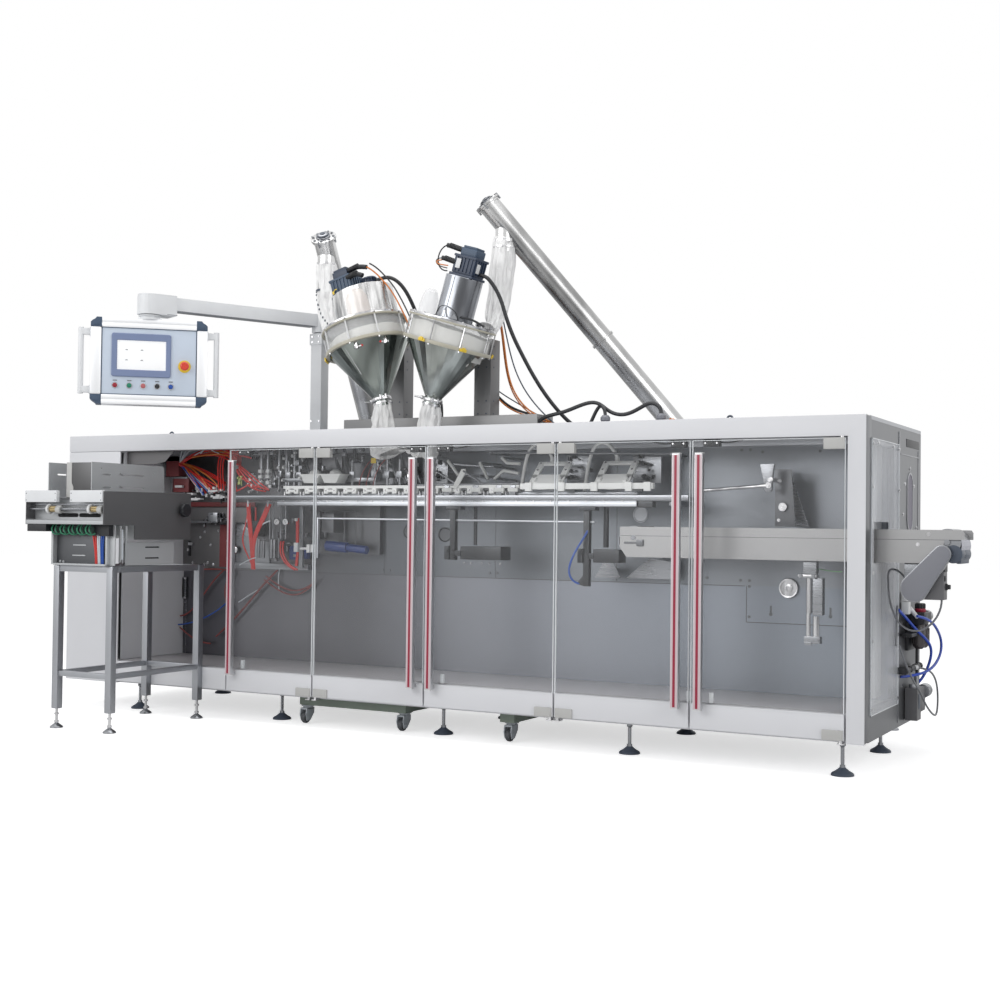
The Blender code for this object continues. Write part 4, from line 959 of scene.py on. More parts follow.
# %% Cone seams, sensors and outlet clamps
for side in ("left", "right"):
    seam = Bench(leaning(side))
    facing = -6 if side == "left" else 150
    seam.curve([around(0.038 + (DRUM_RADIUS - 0.046) * share + 0.0010, facing, RIM * share)
                for share in (0.45, 0.6, 0.8, 0.97)], 0.0018)
    seam.piece(f"cone_seam_{side}", CHROME)
    clamp = Bench(leaning(side))
    clamp.turned([(0.0385, -0.018), (0.047, -0.018), (0.049, -0.014), (0.049, -0.006),
                  (0.047, -0.002), (0.0392, -0.002)], sides=40, closed=True)
    clamp.turned([(0.0385, -0.034), (0.0440, -0.034), (0.0440, -0.024), (0.0385, -0.024)],
                 sides=40, closed=True)
    handle = -40 if side == "left" else -60
    clamp.rod(around(0.050, handle, -0.010), around(0.086, handle + 6, -0.012), 0.0045, 12)
    clamp.ball(around(0.050, handle, -0.010), 0.0095)
    clamp.rod(around(0.050, 30, -0.018), around(0.050, 30, 0.004), 0.0050, 10)
    clamp.rod(around(0.050, 60, -0.018), around(0.050, 60, 0.004), 0.0050, 10)
    clamp.piece(f"outlet_clamp_{side}", CHROME)

sensors = Bench(leaning("left"))
tips = Bench(leaning("left"))
for degrees, way in ((14, 1), (58, -1)):
    holder = around(DRUM_RADIUS - 0.012, degrees, RIM - 0.028)
    inner = around(DRUM_RADIUS - 0.030, degrees + way * 14, RIM - 0.018)
    aim = (inner - holder).normalized()
    sensors.box((holder.x - 0.008, holder.x + 0.008), (holder.y - 0.008, holder.y + 0.004),
                (holder.z - 0.010, holder.z + 0.026), 0.002)
    sensors.rod(holder - aim * 0.014, holder + aim * 0.022, 0.0062, 16)
    tips.rod(holder + aim * 0.020, holder + aim * 0.044, 0.0066, 16, round_by=0.001)
sensors.piece("sensor_bodies", CHROME)
tips.piece("sensor_tips", RED)
hook = Bench(leaning("right"))
hook.box((DRUM_RADIUS - 0.075, DRUM_RADIUS - 0.015), (-0.030, 0.030), (RIM - 0.040, RIM - 0.0045),
         0.002)
hook.curve([(DRUM_RADIUS - 0.040, -0.032, RIM - 0.036), (DRUM_RADIUS - 0.040, -0.034, RIM - 0.056),
            (DRUM_RADIUS - 0.048, -0.034, RIM - 0.062)], 0.0035)
hook.piece("tilt_bracket_right", BONE)

# %% [markdown]
# Two vents let the displaced air out of the drums. Their covers are thin blown plastic:
# a dome on each, milky and almost colourless.

# %% Dust covers on the lids
dome = Bench(leaning("right"))
dome.turned([(0.040, LID_TOP), (0.042, LID_TOP + 0.030), (0.040, LID_TOP + 0.070),
             (0.030, LID_TOP + 0.100), (0.014, LID_TOP + 0.114), (0.0, LID_TOP + 0.116)],
            at=(-0.135, -0.030, 0), sides=32)
dome.piece("vent_cover_right", DOME)
dome = Bench(leaning("left"))
dome.turned([(0.052, LID_TOP), (0.055, LID_TOP + 0.030), (0.052, LID_TOP + 0.085),
             (0.040, LID_TOP + 0.115), (0.020, LID_TOP + 0.128), (0.0, LID_TOP + 0.130)],
            at=(0.075, -0.135, 0), sides=32)
dome.piece("vent_cover_left", PEACH)


# %% [markdown]
# ## The body: limits read from the solids
# Each dressed part must stay where its solid is, so its limits are read from the solid
# and carried back to the machine's corner. What follows is then written as small steps
# from those limits.

# %% Limits of a solid in machine coordinates
def limits(name):
    """((x low, x high), (y low, y high), (z low, z high)) of a solid."""
    low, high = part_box(name)
    return [(low[axis] - SHIFT[axis], high[axis] - SHIFT[axis]) for axis in range(3)]


GAP = 0.0003
(_, BODY_LENGTH), (_, RAIL_DEPTH), (_, _) = limits("front_frame")
(_, _), (_, BODY_DEPTH), (DECK, _) = limits("rear_cabinet")
(_, _), (_, _), (BODY_BOTTOM, _) = limits("end_wall")
RAIL_LOW = ROOF - 0.082
print("body", round(BODY_LENGTH, 3), "by", round(BODY_DEPTH, 3), "deck at", round(DECK, 3))

# %% [markdown]
# The frame in front of the doors is rectangular tube, welded, ground and painted, so its
# corners are round and catch a bright line along the top. Rebuilding the solid with soft
# edges gives that line.

# %% Front frame, left housing, roof
frame_piece = Bench()
for near, far, foot in ((0, 0.0295, BODY_BOTTOM - 0.002), (0.002, RAIL_DEPTH, DECK + 0.0005)):
    frame_piece.plate([(0, RAIL_LOW), (BODY_LENGTH - 0.070, RAIL_LOW), (BODY_LENGTH - 0.070, foot),
                       (BODY_LENGTH, foot), (BODY_LENGTH, ROOF), (0, ROOF)], "y", near, far, 0.005)
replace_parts(frame_piece.piece("front_rail_and_post", WHITE), "front_frame")

LEFT_WIDTH, BAY_END = 0.35, 1.043
housing = Bench()
housing.box((0, LEFT_WIDTH), (0, 0.0295), (BODY_BOTTOM, RAIL_LOW - GAP), 0.006)
housing.box((0, LEFT_WIDTH), (0.003, 0.4914), (DECK, RAIL_LOW - GAP), 0.004)
housing.box((0, LEFT_WIDTH), (RAIL_DEPTH + GAP, 0.4914), (RAIL_LOW - 0.05, ROOF - 0.0153), 0.003)
housing.box((LEFT_WIDTH - 0.02, BAY_END), (0.003, 0.013), (0.145, 0.246), 0.003)
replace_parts(housing.piece("left_housing_skin", WHITE), "left_housing")

base = Bench()
base.box((0.004, BODY_LENGTH - 0.0203), (0.030, 0.985), (BODY_BOTTOM, DECK - 0.0035), 0.003)
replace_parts(base.piece("base_slab", WHITE), "base_frame")
deck = Bench()
deck.box((0.3503, BODY_LENGTH - 0.0210), (0.0305, 0.4910), (DECK - 0.0033, DECK - 0.0004), 0.0006)
deck.piece("deck_sheet", DECK_SHEET)

# %% [markdown]
# The machine stands on levelling feet: a rubber-soled cup, a ball joint, a threaded stem
# and two nuts. They are what carries it, with the casters hanging just clear of the
# floor. A stem's thread is a stack of thin rings here, which is enough for its glitter.

# %% Levelling feet
def levelling_feet(places, top, reach, name, pad):
    cups, stems = Bench(), Bench()
    for x, y in places:
        cups.turned([(0.0, 0.0004), (reach, 0.0004), (reach, 0.006), (reach - 0.004, 0.011),
                     (reach * 0.62, 0.018), (0.016, 0.027), (0.012, 0.031), (0.0, 0.031)],
                    at=(x, y, 0), sides=40)
        stems.rod((x, y, 0.028), (x, y, top), 0.0062, 12)
        for share in range(int((top - 0.045) / 0.004)):
            height = 0.042 + share * 0.004
            stems.rod((x, y, height), (x, y, height + 0.002), 0.0078, 12)
        stems.rod((x, y, 0.030), (x, y, 0.040), 0.0115, 6)
        stems.rod((x, y, top - 0.012), (x, y, top - 0.001), 0.0135, 6, round_by=0.001)
        stems.ball((x, y, top - 0.018), 0.0125, (1, 1, 0.8))
    return cups.piece(f"{name}_cups", pad), stems.piece(f"{name}_stems", MACHINED)


measured = [vertex.co - SHIFT for vertex in nodes["base_frame"].data.vertices
            if vertex.co.z < 0.001]
spots = []
for point in measured:
    if not any(math.dist(point[:2], spot[:2]) < 0.12 for spot in spots):
        near = [other for other in measured if math.dist(point[:2], other[:2]) < 0.12]
        flat = (other[:2] for other in near)
        spots.append(tuple(sum(values) / len(near) for values in zip(*flat)))
levelling_feet(spots, BODY_BOTTOM, 0.0445, "feet", CUP)
print("feet found:", len(spots))


# %% [markdown]
# ## The doors
# Five clear doors hang between a top and a bottom pivot. Each has a white band below, a
# square handle tube with a dark red strip let into its face, two beige hinge blocks and
# edges that glow, because light runs along inside a clear sheet and leaves at its rim.
# Every piece rides on its door, so that it swings with it.

# %% Doors
DOOR_Y, HINGE_INSET, HINGE_WIDTH, HANDLE_INSET = 0.008, 0.014, 0.070, 0.044
BAND_TOP, DOOR_BOTTOM = 0.246, 0.145
DOOR_TOP = RAIL_LOW - 0.006
HANDLE_Z = (BAND_TOP - 0.021, DOOR_TOP - 0.054)
SIDES = (1, -1, 1, -1, 1)
doors = []
for number, side in enumerate(SIDES, 1):
    left, right = limits(f"door_{number}_pane")[0]
    axis = right - HINGE_INSET if side > 0 else left + HINGE_INSET
    grip = left + HANDLE_INSET if side > 0 else right - HANDLE_INSET
    doors.append((number, side, left, right, axis, grip))

for number, side, left, right, axis, grip in doors:
    body = f"door_{number}"
    pane = Bench()
    pane.box((left + 0.001, right - 0.001), (DOOR_Y - 0.004, DOOR_Y + 0.004),
             (BAND_TOP + GAP, DOOR_TOP))
    glass = pane.piece(f"{body}_glass", PANE, body)
    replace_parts(glass, f"{body}_pane")
    rim = Bench()
    for x in (left, right - 0.003):
        rim.box((x, x + 0.003), (DOOR_Y - 0.0042, DOOR_Y + 0.0042), (BAND_TOP + 0.001, DOOR_TOP))
    rim.box((left, right), (DOOR_Y - 0.0042, DOOR_Y + 0.0042),
            (DOOR_TOP - 0.002, DOOR_TOP + 0.0004))
    rim.piece(f"{body}_edges", EDGE, body)

    band = Bench()
    band.box((left, right), (DOOR_Y - 0.005, DOOR_Y + 0.005), (DOOR_BOTTOM, BAND_TOP), 0.0022)
    band.box((left, right), (DOOR_Y - 0.0056, DOOR_Y + 0.004), (BAND_TOP - 0.009, BAND_TOP), 0.0015)
    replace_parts(band.piece(f"{body}_band", WHITE, body), f"{body}_trim")

    near, far = sorted((axis, axis - side * HINGE_WIDTH))
    hinge = Bench()
    for low, high in ((DOOR_BOTTOM, DOOR_BOTTOM + 0.039), (DOOR_TOP - 0.043, DOOR_TOP + 0.001)):
        hinge.box((near, far), (DOOR_Y - 0.012, DOOR_Y + 0.012), (low, high), 0.002)
        hinge.rod((axis, DOOR_Y, low), (axis, DOOR_Y, high), 0.0119, 28, round_by=0.001)
    hinge.piece(f"{body}_hinges", BONE, body)
    screws = Bench()
    for low in (DOOR_BOTTOM + 0.0195, DOOR_TOP - 0.021):
        for share in (0.36, 0.78):
            x = axis - side * HINGE_WIDTH * share
            screws.rod((x, DOOR_Y + 0.0115, low), (x, DOOR_Y + 0.0140, low), 0.0042, 14)
    screws.piece(f"{body}_hinge_screws", CHROME, body)

    tube = Bench()
    tube.box((grip - 0.0165, grip + 0.0165), (-0.0442, -0.0200), HANDLE_Z, 0.0032)
    for z in (HANDLE_Z[0] + 0.010, HANDLE_Z[1] - 0.028):
        tube.box((grip - 0.010, grip + 0.010), (-0.022, 0.0035), (z - 0.008, z + 0.008), 0.001)
    tube.piece(f"{body}_handle", PROFILE, body)
    face = Bench()
    face.box((grip - 0.0140, grip + 0.0140), (-0.0452, -0.0440),
             (HANDLE_Z[0] + 0.004, HANDLE_Z[1] - 0.004),
             0.0003)
    face.piece(f"{body}_handle_face", PINK, body)
    strip = Bench()
    strip.box((grip - 0.0052, grip + 0.0052), (-0.0460, -0.0448),
              (HANDLE_Z[0] + 0.006, HANDLE_Z[1] - 0.006),
              0.0003)
    strip.piece(f"{body}_handle_strip", DEEP_RED, body)
    caps = Bench()
    for low, high in ((HANDLE_Z[0] - 0.0035, HANDLE_Z[0]), (HANDLE_Z[1], HANDLE_Z[1] + 0.0035)):
        caps.box((grip - 0.0170, grip + 0.0170), (-0.0452, -0.0195), (low, high), 0.001)
    caps.piece(f"{body}_handle_caps", LIGHT, body)

# %% [markdown]
# Behind the glass, under the rail, a black safety switch watches each door, and a small
# clear catch on the deck holds it shut. The pivots are short steel pins in a bracket.

# %% Pivots, switches and catches
pivots, switches, eyes, catches, wires = Bench(), Bench(), Bench(), Bench(), Bench()
for number, side, left, right, axis, grip in doors:
    pivots.rod((axis, DOOR_Y, DOOR_TOP + 0.0014), (axis, DOOR_Y, RAIL_LOW + 0.001), 0.0079, 20)
    pivots.rod((axis, DOOR_Y, BODY_BOTTOM - 0.0055), (axis, DOOR_Y, DOOR_BOTTOM - 0.0004), 0.0079,
               20)
    pivots.box((axis - 0.0125, axis + 0.0125), (-0.0055, 0.034),
               (BODY_BOTTOM - 0.0058, BODY_BOTTOM - 0.0003),
               0.001)
    low, high = (-0.048, 0.018) if side < 0 else (-0.005, 0.063)
    switches.box((grip + low, grip + high), (0.020, 0.050), (RAIL_LOW - 0.030, RAIL_LOW - GAP),
                 0.003)
    switches.box((grip + low + 0.016, grip + high - 0.016), (0.0165, 0.022),
                 (RAIL_LOW - 0.026, RAIL_LOW - 0.006),
                 0.001)
    for x in (grip + low + 0.010, grip + high - 0.010):
        eyes.rod((x, 0.0192, RAIL_LOW - 0.016), (x, 0.0210, RAIL_LOW - 0.016), 0.0036, 12)
    end = grip + (low if side < 0 else high)
    wires.curve([(end, 0.035, RAIL_LOW - 0.012), (end + side * 0.03, 0.036, RAIL_LOW - 0.020),
                 (end + side * 0.06, 0.040, RAIL_LOW - 0.010),
                 (end + side * 0.09, 0.050, RAIL_LOW - 0.004)],
                0.0028)
    spot = grip + 0.030
    catches.box((spot, spot + 0.017), (0.016, 0.030), (DECK, DECK + 0.042), 0.003)
    catches.rod((spot + 0.0085, 0.0150, DECK + 0.030), (spot + 0.0085, 0.0170, DECK + 0.030),
                0.004, 12)
pivots.piece("door_pivots", CHROME)
switches.piece("door_switches", BLACK)
eyes.piece("switch_screws", CHROME)
wires.piece("switch_cables", BLACK)
catches.piece("door_catches", PALE_CLEAR)

# %% [markdown]
# ## Casters
# Three twin-plate casters hang from olive beams: pressed forks, a kingpin with its ball
# race, and grey rubber tyres on a pale hub. The tyres are turned profiles, so their
# shoulders are round.

# %% Casters
for number in (1, 2, 3):
    (x0, x1), (y0, y1), (z0, z1) = limits(f"caster_wheel_{number}")
    axle = Vector(((x0 + x1) / 2, (y0 + y1) / 2, (z0 + z1) / 2))
    radius, half = (z1 - z0) / 2, (x1 - x0) / 2
    tyre = Bench()
    tyre.turned([(radius * 0.62, -half), (radius * 0.90, -half), (radius, -half * 0.55),
                 (radius, half * 0.55), (radius * 0.90, half), (radius * 0.62, half)],
                at=axle, axis=(1, 0, 0), sides=48, closed=True)
    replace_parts(tyre.piece(f"caster_tyre_{number}", TREAD, f"caster_wheel_{number}"),
                        f"caster_wheel_{number}")
    hub = Bench()
    hub.turned([(0.0, -half * 0.8), (radius * 0.25, -half * 0.8), (radius * 0.30, -half * 0.45),
                (radius * 0.55, -half * 0.45), (radius * 0.63, -half * 0.95),
                (radius * 0.63, half * 0.95), (radius * 0.55, half * 0.45),
                (radius * 0.30, half * 0.45), (radius * 0.25, half * 0.8), (0.0, half * 0.8)],
               at=axle, axis=(1, 0, 0), sides=36)
    hub.piece(f"caster_hub_{number}", LIGHT, f"caster_wheel_{number}")
    (_, _), (_, _), (_, top) = limits(f"caster_fork_{number}")
    fork = Bench()
    pin = Vector((axle.x, axle.y + 0.018, top))
    fork.turned([(0.0, -0.016), (0.018, -0.016), (0.024, -0.012), (0.024, -0.006), (0.032, -0.005),
                 (0.032, -0.0005), (0.0, -0.0005)], at=pin, sides=36)
    for way in (-1, 1):
        inner = half + 0.0045
        low, high = sorted((axle.x + way * inner, axle.x + way * (inner + 0.0045)))
        outline = [(axle.y - 0.013, 0.016), (axle.y + 0.011, 0.016), (axle.y + 0.040, 0.050),
                   (axle.y + 0.042, top - 0.013), (axle.y - 0.018, top - 0.013),
                   (axle.y - 0.024, 0.046)]
        fork.plate(outline, "x", low, high, 0.0008)
        fork.rod(axle + Vector((way * (half + GAP), 0, 0)),
                 axle + Vector((way * (half + 0.0120), 0, 0)),
                 0.0058, 6)
    fork.box((axle.x - half - 0.009, axle.x + half + 0.009), (axle.y - 0.018, axle.y + 0.042),
             (top - 0.020, top - 0.012), 0.002)
    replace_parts(fork.piece(f"caster_bracket_{number}", FORK, f"caster_fork_{number}"),
                        f"caster_fork_{number}")


# %% [markdown]
# ## Behind the doors: rails and grippers
# A pouch machine carries its pouches sideways past each station. Two rails run the whole
# way, and pairs of white grippers on a chain hold every pouch by its edges. The grippers
# repeat at one pitch, so one loop makes them all.

# %% Rails, gripper chain and grippers
(RAIL_LEFT, RAIL_RIGHT), _, (_, RAIL_TOP) = limits("pouch_rail")
y, z = POUCH_Y, RAIL_TOP
rails = Bench()
rails.box((RAIL_LEFT, RAIL_RIGHT), (y - 0.060, y - 0.048), (z - 0.023, z), 0.002)
rails.box((RAIL_LEFT, RAIL_RIGHT), (y - 0.048, y + 0.040), (z - 0.023, z - 0.006), 0.002)
rails.box((1.20, 3.09), (y - 0.065, y - 0.010), (z - 0.049, z - 0.0235), 0.003)
for x in (1.70, 2.20, 2.76, 3.24):
    rails.box((x - 0.025, x + 0.025), (y - 0.010, 0.4855), (z - 0.043, z - 0.024), 0.002)
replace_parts(rails.piece("pouch_rails", MACHINED), "pouch_rail")
lip = Bench()
lip.box((1.20, 3.09), (y - 0.0662, y - 0.064), (z - 0.047, z - 0.031), 0.0006)
lip.box((RAIL_LEFT, RAIL_RIGHT), (y - 0.0612, y - 0.0595), (z - 0.008, z - 0.001), 0.0004)
lip.piece("rail_faces", PALE_STEEL)
screws = Bench()
for share in range(22):
    screws.bolt((1.24 + share * 0.085, y - 0.0655, z - 0.027), (0, -1, 0), 0.0030, 0.0025)
screws.piece("rail_screws", CHROME)

row = Bench()
row.box((1.22, 3.08), (y - 0.034, y + 0.004), (z + 0.001, z + 0.0145), 0.002)
row.piece("gripper_track", MACHINED)
jaws, springs = Bench(), Bench()
jaws.box((1.222, 2.520), (y - 0.050, y + 0.012), (z + 0.0335, z + 0.0475), 0.002)
for pitch in range(11):
    x = 1.275 + 0.113 * pitch
    jaws.box((x - 0.037, x + 0.037), (y - 0.051, y + 0.017), (z + 0.016, z + 0.030), 0.006)
    jaws.box((x - 0.037, x - 0.012), (y - 0.052, y + 0.010), (z + 0.009, z + 0.0385), 0.004)
    jaws.box((x + 0.012, x + 0.037), (y - 0.052, y + 0.010), (z + 0.009, z + 0.0385), 0.004)
    springs.rod((x - 0.012, y - 0.040, z + 0.026), (x + 0.012, y - 0.040, z + 0.026), 0.0045, 12)
    for way in (-1, 1):
        springs.bolt((x + way * 0.024, y - 0.052, z + 0.024), (0, -1, 0), 0.0032, 0.003)
        springs.rod((x + way * 0.047, y - 0.045, z + 0.002),
                    (x + way * 0.047, y - 0.045, z + 0.020),
                    0.0035, 10)
gripped = jaws.piece("grippers", BRIGHT_WHITE)
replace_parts(gripped, "gripper_row")
springs.piece("gripper_springs", CHROME)

# %% [markdown]
# The pouches are opened under two white frames that lean back, each fed with vacuum by a
# white hose in an arc. They are cast, so their corners are round and their faces carry
# screw bosses.

# %% Bag openers
opener = Bench()
opener.box((2.545, 3.173), (y - 0.090, y - 0.066), (z + 0.026, z + 0.052), 0.003)
for x in (2.62, 2.95):
    opener.box((x, x + 0.04), (y - 0.075, 0.4850), (z + 0.025, z + 0.045), 0.002)
for x in (2.575, 2.735, 2.890, 3.050, 3.135):
    opener.box((x, x + 0.030), (y - 0.100, y - 0.086), (z + 0.017, z + 0.055), 0.002)
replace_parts(opener.piece("opener_bar", BRIGHT_WHITE), "bag_opener")
frames, hoses, bosses = Bench(), Bench(), Bench()
for x in (2.585, 2.899):
    lean = (Matrix.Translation((x, y - 0.082, z + 0.047))
            @ Matrix.Rotation(math.radians(-46), 4, "X"))
    frames.own = bosses.own = lean
    frames.box((0, 0.163), (-0.005, 0.005), (0, 0.060), 0.002)
    frames.box((0, 0.163), (-0.005, 0.005), (0.127, 0.145), 0.002)
    frames.box((0, 0.028), (-0.005, 0.005), (0.040, 0.135), 0.002)
    frames.box((0.135, 0.163), (-0.005, 0.005), (0.040, 0.135), 0.002)
    frames.box((0.012, 0.030), (-0.014, -0.004), (0.008, 0.030), 0.002)
    frames.box((0.133, 0.151), (-0.014, -0.004), (0.008, 0.030), 0.002)
    for across in (0.012, 0.150):
        for height in (0.036, 0.090, 0.136):
            bosses.bolt((across, -0.005, height), (0, -1, 0), 0.0034, 0.003)
for x in (2.485, 2.800):
    hoses.curve([(x - 0.006, 0.300, z + 0.020), (x, 0.300, z + 0.070),
                 (x + 0.010, 0.300, z + 0.130),
                 (x + 0.024, 0.300, z + 0.190), (x + 0.050, 0.300, z + 0.230),
                 (x + 0.085, 0.300, z + 0.238), (x + 0.120, 0.300, z + 0.222),
                 (x + 0.150, 0.300, z + 0.170)], 0.0078, resolution=3)
    hoses.rod((x + 0.150, 0.300, z + 0.172), (x + 0.150, 0.300, z + 0.150), 0.0105, 16,
              round_by=0.001)
frames.piece("opener_frames", BRIGHT_WHITE)
bosses.piece("opener_screws", CHROME)
hoses.piece("opener_hoses", BRIGHT_WHITE)

# %% [markdown]
# Between the openers and the rail run flat links that push the frames to and fro, and
# at the second station two white funnels guide the pouches' mouths.

# %% Links, funnels, station blocks
links, pale, dark, guards = Bench(), Bench(), Bench(), Bench()
for x, low in ((2.040, z + 0.035), (2.190, z + 0.030)):
    pale.plate([(x, low), (x + 0.014, low), (x + 0.060, low + 0.070), (x + 0.060, low + 0.090),
                (x + 0.040, low + 0.090), (x, low + 0.020)], "y", y - 0.060, y - 0.054, 0.001)
    links.rod((x + 0.050, y - 0.062, low + 0.080), (x + 0.150, y - 0.050, low + 0.022), 0.0045, 12)
links.rod((1.980, y - 0.050, z + 0.048), (2.520, y - 0.050, z + 0.054), 0.0050, 12)
links.rod((2.020, y - 0.030, z + 0.028), (2.500, y - 0.030, z + 0.026), 0.0060, 12)
for x in (2.06, 2.15, 2.30, 2.42, 2.49):
    links.box((x - 0.014, x + 0.014), (y - 0.055, y - 0.020), (z + 0.001, z + 0.046), 0.003)
    pale.box((x - 0.020, x + 0.030), (y - 0.064, y - 0.054), (z + 0.016, z + 0.034), 0.002)
for x in (1.322, 1.442):
    low, high = z + 0.061, z + 0.098
    pale.plate([(x, high), (x + 0.020, low), (x + 0.088, low), (x + 0.108, high),
                (x + 0.114, high + 0.004),
                (x + 0.114, high + 0.007), (x - 0.006, high + 0.007), (x - 0.006, high + 0.004)],
               "y", y - 0.045, y + 0.030, 0.0015)
    pale.turned([(0.030, high + 0.006), (0.026, high + 0.020), (0.014, high + 0.028),
                 (0.0, high + 0.030)],
                at=(x + 0.054, y, 0), sides=28)
links.box((1.140, 1.700), (0.290, 0.330), (z + 0.070, z + 0.088), 0.002)
for x in (1.180, 1.245, 1.560, 1.690, 1.760, 1.830, 1.900):
    links.box((x - 0.015, x + 0.015), (0.290, 0.4845), (z + 0.088, z + 0.118), 0.002)
    links.rod((x, 0.300, z + 0.045), (x, 0.300, z + 0.175), 0.0065, 12)
dark.turned([(0.038, z + 0.067), (0.040, z + 0.071), (0.040, z + 0.158), (0.037, z + 0.162),
             (0.0, z + 0.162)], at=(1.582, 0.330, 0), sides=40)
dark.box((1.350, 1.470), (0.340, 0.400), (z + 0.130, z + 0.210), 0.006)
dark.box((1.700, 1.860), (0.350, 0.420), (z + 0.060, z + 0.220), 0.006)
dark.box((1.930, 1.990), (0.340, 0.420), (z + 0.040, z + 0.200), 0.006)
for x in (1.020, 1.060, 1.095, 1.150, 1.180, 1.240, 1.290, 1.420, 1.470, 1.530, 1.740, 1.790,
          1.860):
    dark.curve([(x, 0.360, z + 0.235), (x + 0.02, 0.330, z + 0.150), (x + 0.05, 0.320, z + 0.110),
                (x + 0.07, 0.330, z + 0.060)], 0.0075)
for x, rise in ((1.62, 0.150), (1.66, 0.165), (1.70, 0.152)):
    guards.curve([(x, 0.270, z + 0.050), (x + 0.01, 0.262, z + 0.090), (x + 0.03, 0.270, z + rise),
                  (x + 0.06, 0.300, z + rise + 0.03)], 0.0030)
for start, end in (((2.104, 1.249), (2.162, 1.178)), ((2.275, 1.234), (2.318, 1.160)),
                   ((2.388, 1.257), (2.416, 1.232)), ((2.416, 1.232), (2.484, 1.228)),
                   ((2.352, 1.161), (2.398, 1.197)), ((2.398, 1.197), (2.476, 1.184))):
    pale.rod((start[0], 0.280, start[1]), (end[0], 0.280, end[1]), 0.0072, 14, round_by=0.001)
for start, end in (((2.128, 1.229), (2.336, 1.216)), ((2.162, 1.182), (2.262, 1.176)),
                   ((2.318, 1.281), (3.197, 1.262))):
    links.rod((start[0], 0.292, start[1]), (end[0], 0.292, end[1]), 0.0052, 12)
    links.rod((start[0], 0.292, start[1]), (start[0], 0.4845, start[1]), 0.0060, 12)
    links.rod((end[0], 0.292, end[1]), (end[0], 0.4845, end[1]), 0.0060, 12)
for x, height in ((2.388, 1.257), (2.352, 1.161), (2.275, 1.234)):
    links.rod((x, 0.276, height), (x, 0.4845, height), 0.0058, 12)
links.piece("station_links", MACHINED)
pale.piece("station_castings", WARM_WHITE)
dark.piece("station_blocks", SHADE_STEEL)
guards.piece("station_red_tubes", DARKER_RED)
tag = Bench()
tag.box((1.697, 1.724), (0.252, 0.258), (1.238, 1.263), 0.002)
tag.piece("yellow_sight_tag", YELLOW)
ring = Bench()
ring.turned([(0.038, -0.004), (0.044, 0), (0.038, 0.004)], at=(1.835, 0.325, z + 0.090),
            axis=(0.4, 1, 0),
            sides=36, closed=True)
ring.turned([(0.030, -0.004), (0.036, 0), (0.030, 0.004)], at=(1.560, 0.330, z + 0.170),
            axis=(0.2, 0.3, 1),
            sides=36, closed=True)
ring.piece("clamp_rings", CHROME)

# %% [markdown]
# Under the rails hang the levers that push the pouch apart, on brackets with clamps. The
# long thin rod along them couples the stations.

# %% Lower linkage
low = Bench()
ly = POUCH_Y - 0.050
coupling = Bench()
coupling.rod((1.430, ly, z - 0.109), (2.890, ly, z - 0.115), 0.0048, 12)
coupling.box((1.428, 1.436), (ly - 0.004, ly + 0.004), (z - 0.300, z - 0.105), 0.002)
coupling.piece("coupling_rod", PALE_STEEL)
for x, foot in ((2.188, z - 0.293), (2.856, z - 0.393)):
    low.box((x - 0.0135, x + 0.0135), (ly - 0.0135, ly + 0.0135), (foot, z - 0.0495), 0.002)
    low.box((x - 0.030, x + 0.046), (ly - 0.022, ly + 0.022), (z - 0.066, z - 0.050), 0.002)
    low.box((x - 0.038, x - 0.013), (ly - 0.020, ly + 0.016), (z - 0.292, z - 0.230), 0.003)
    low.bolt((x - 0.024, ly - 0.020, z - 0.252), (0, -1, 0), 0.0080, 0.006)
    low.bolt((x + 0.001, ly - 0.0135, z - 0.252), (0, -1, 0), 0.0060, 0.005)
low.box((2.228, 2.436), (ly - 0.009, ly + 0.089), (z - 0.290, z - 0.229), 0.003)
low.box((2.887, 3.008), (ly - 0.009, ly + 0.069), (z - 0.290, z - 0.232), 0.003)
low.box((2.2005, 2.230), (ly - 0.012, ly + 0.060), (z - 0.275, z - 0.250), 0.002)
low.box((2.868, 2.889), (ly - 0.012, ly + 0.060), (z - 0.275, z - 0.250), 0.002)
low.box((3.094, 3.160), (ly - 0.008, ly + 0.030), (z - 0.052, z - 0.0245), 0.002)
low.rod((2.245, 0.300, z - 0.225), (2.245, 0.300, z - 0.050), 0.0085, 14)
low.rod((2.900, 0.300, z - 0.225), (2.900, 0.300, z - 0.050), 0.0120, 14)
low.plate([(2.810, z - 0.384), (2.845, z - 0.392), (2.845, z - 0.350), (2.838, z - 0.350)],
          "y", ly - 0.010, ly + 0.010, 0.001)
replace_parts(low.piece("lower_levers", LEVER_STEEL), "lower_linkage")
tips = Bench()
for x in (2.240, 2.275, 2.330, 2.370, 2.425):
    tips.bolt((x, ly + 0.010, z - 0.302), (0, 0, -1), 0.0045, 0.008)
tips.piece("lever_screws", CHROME)

# %% [markdown]
# ## The wall's plates and screws
# The wall is covered with brushed plates held by countersunk screws. Their seams and
# screw heads are what keeps a large flat sheet from looking empty.

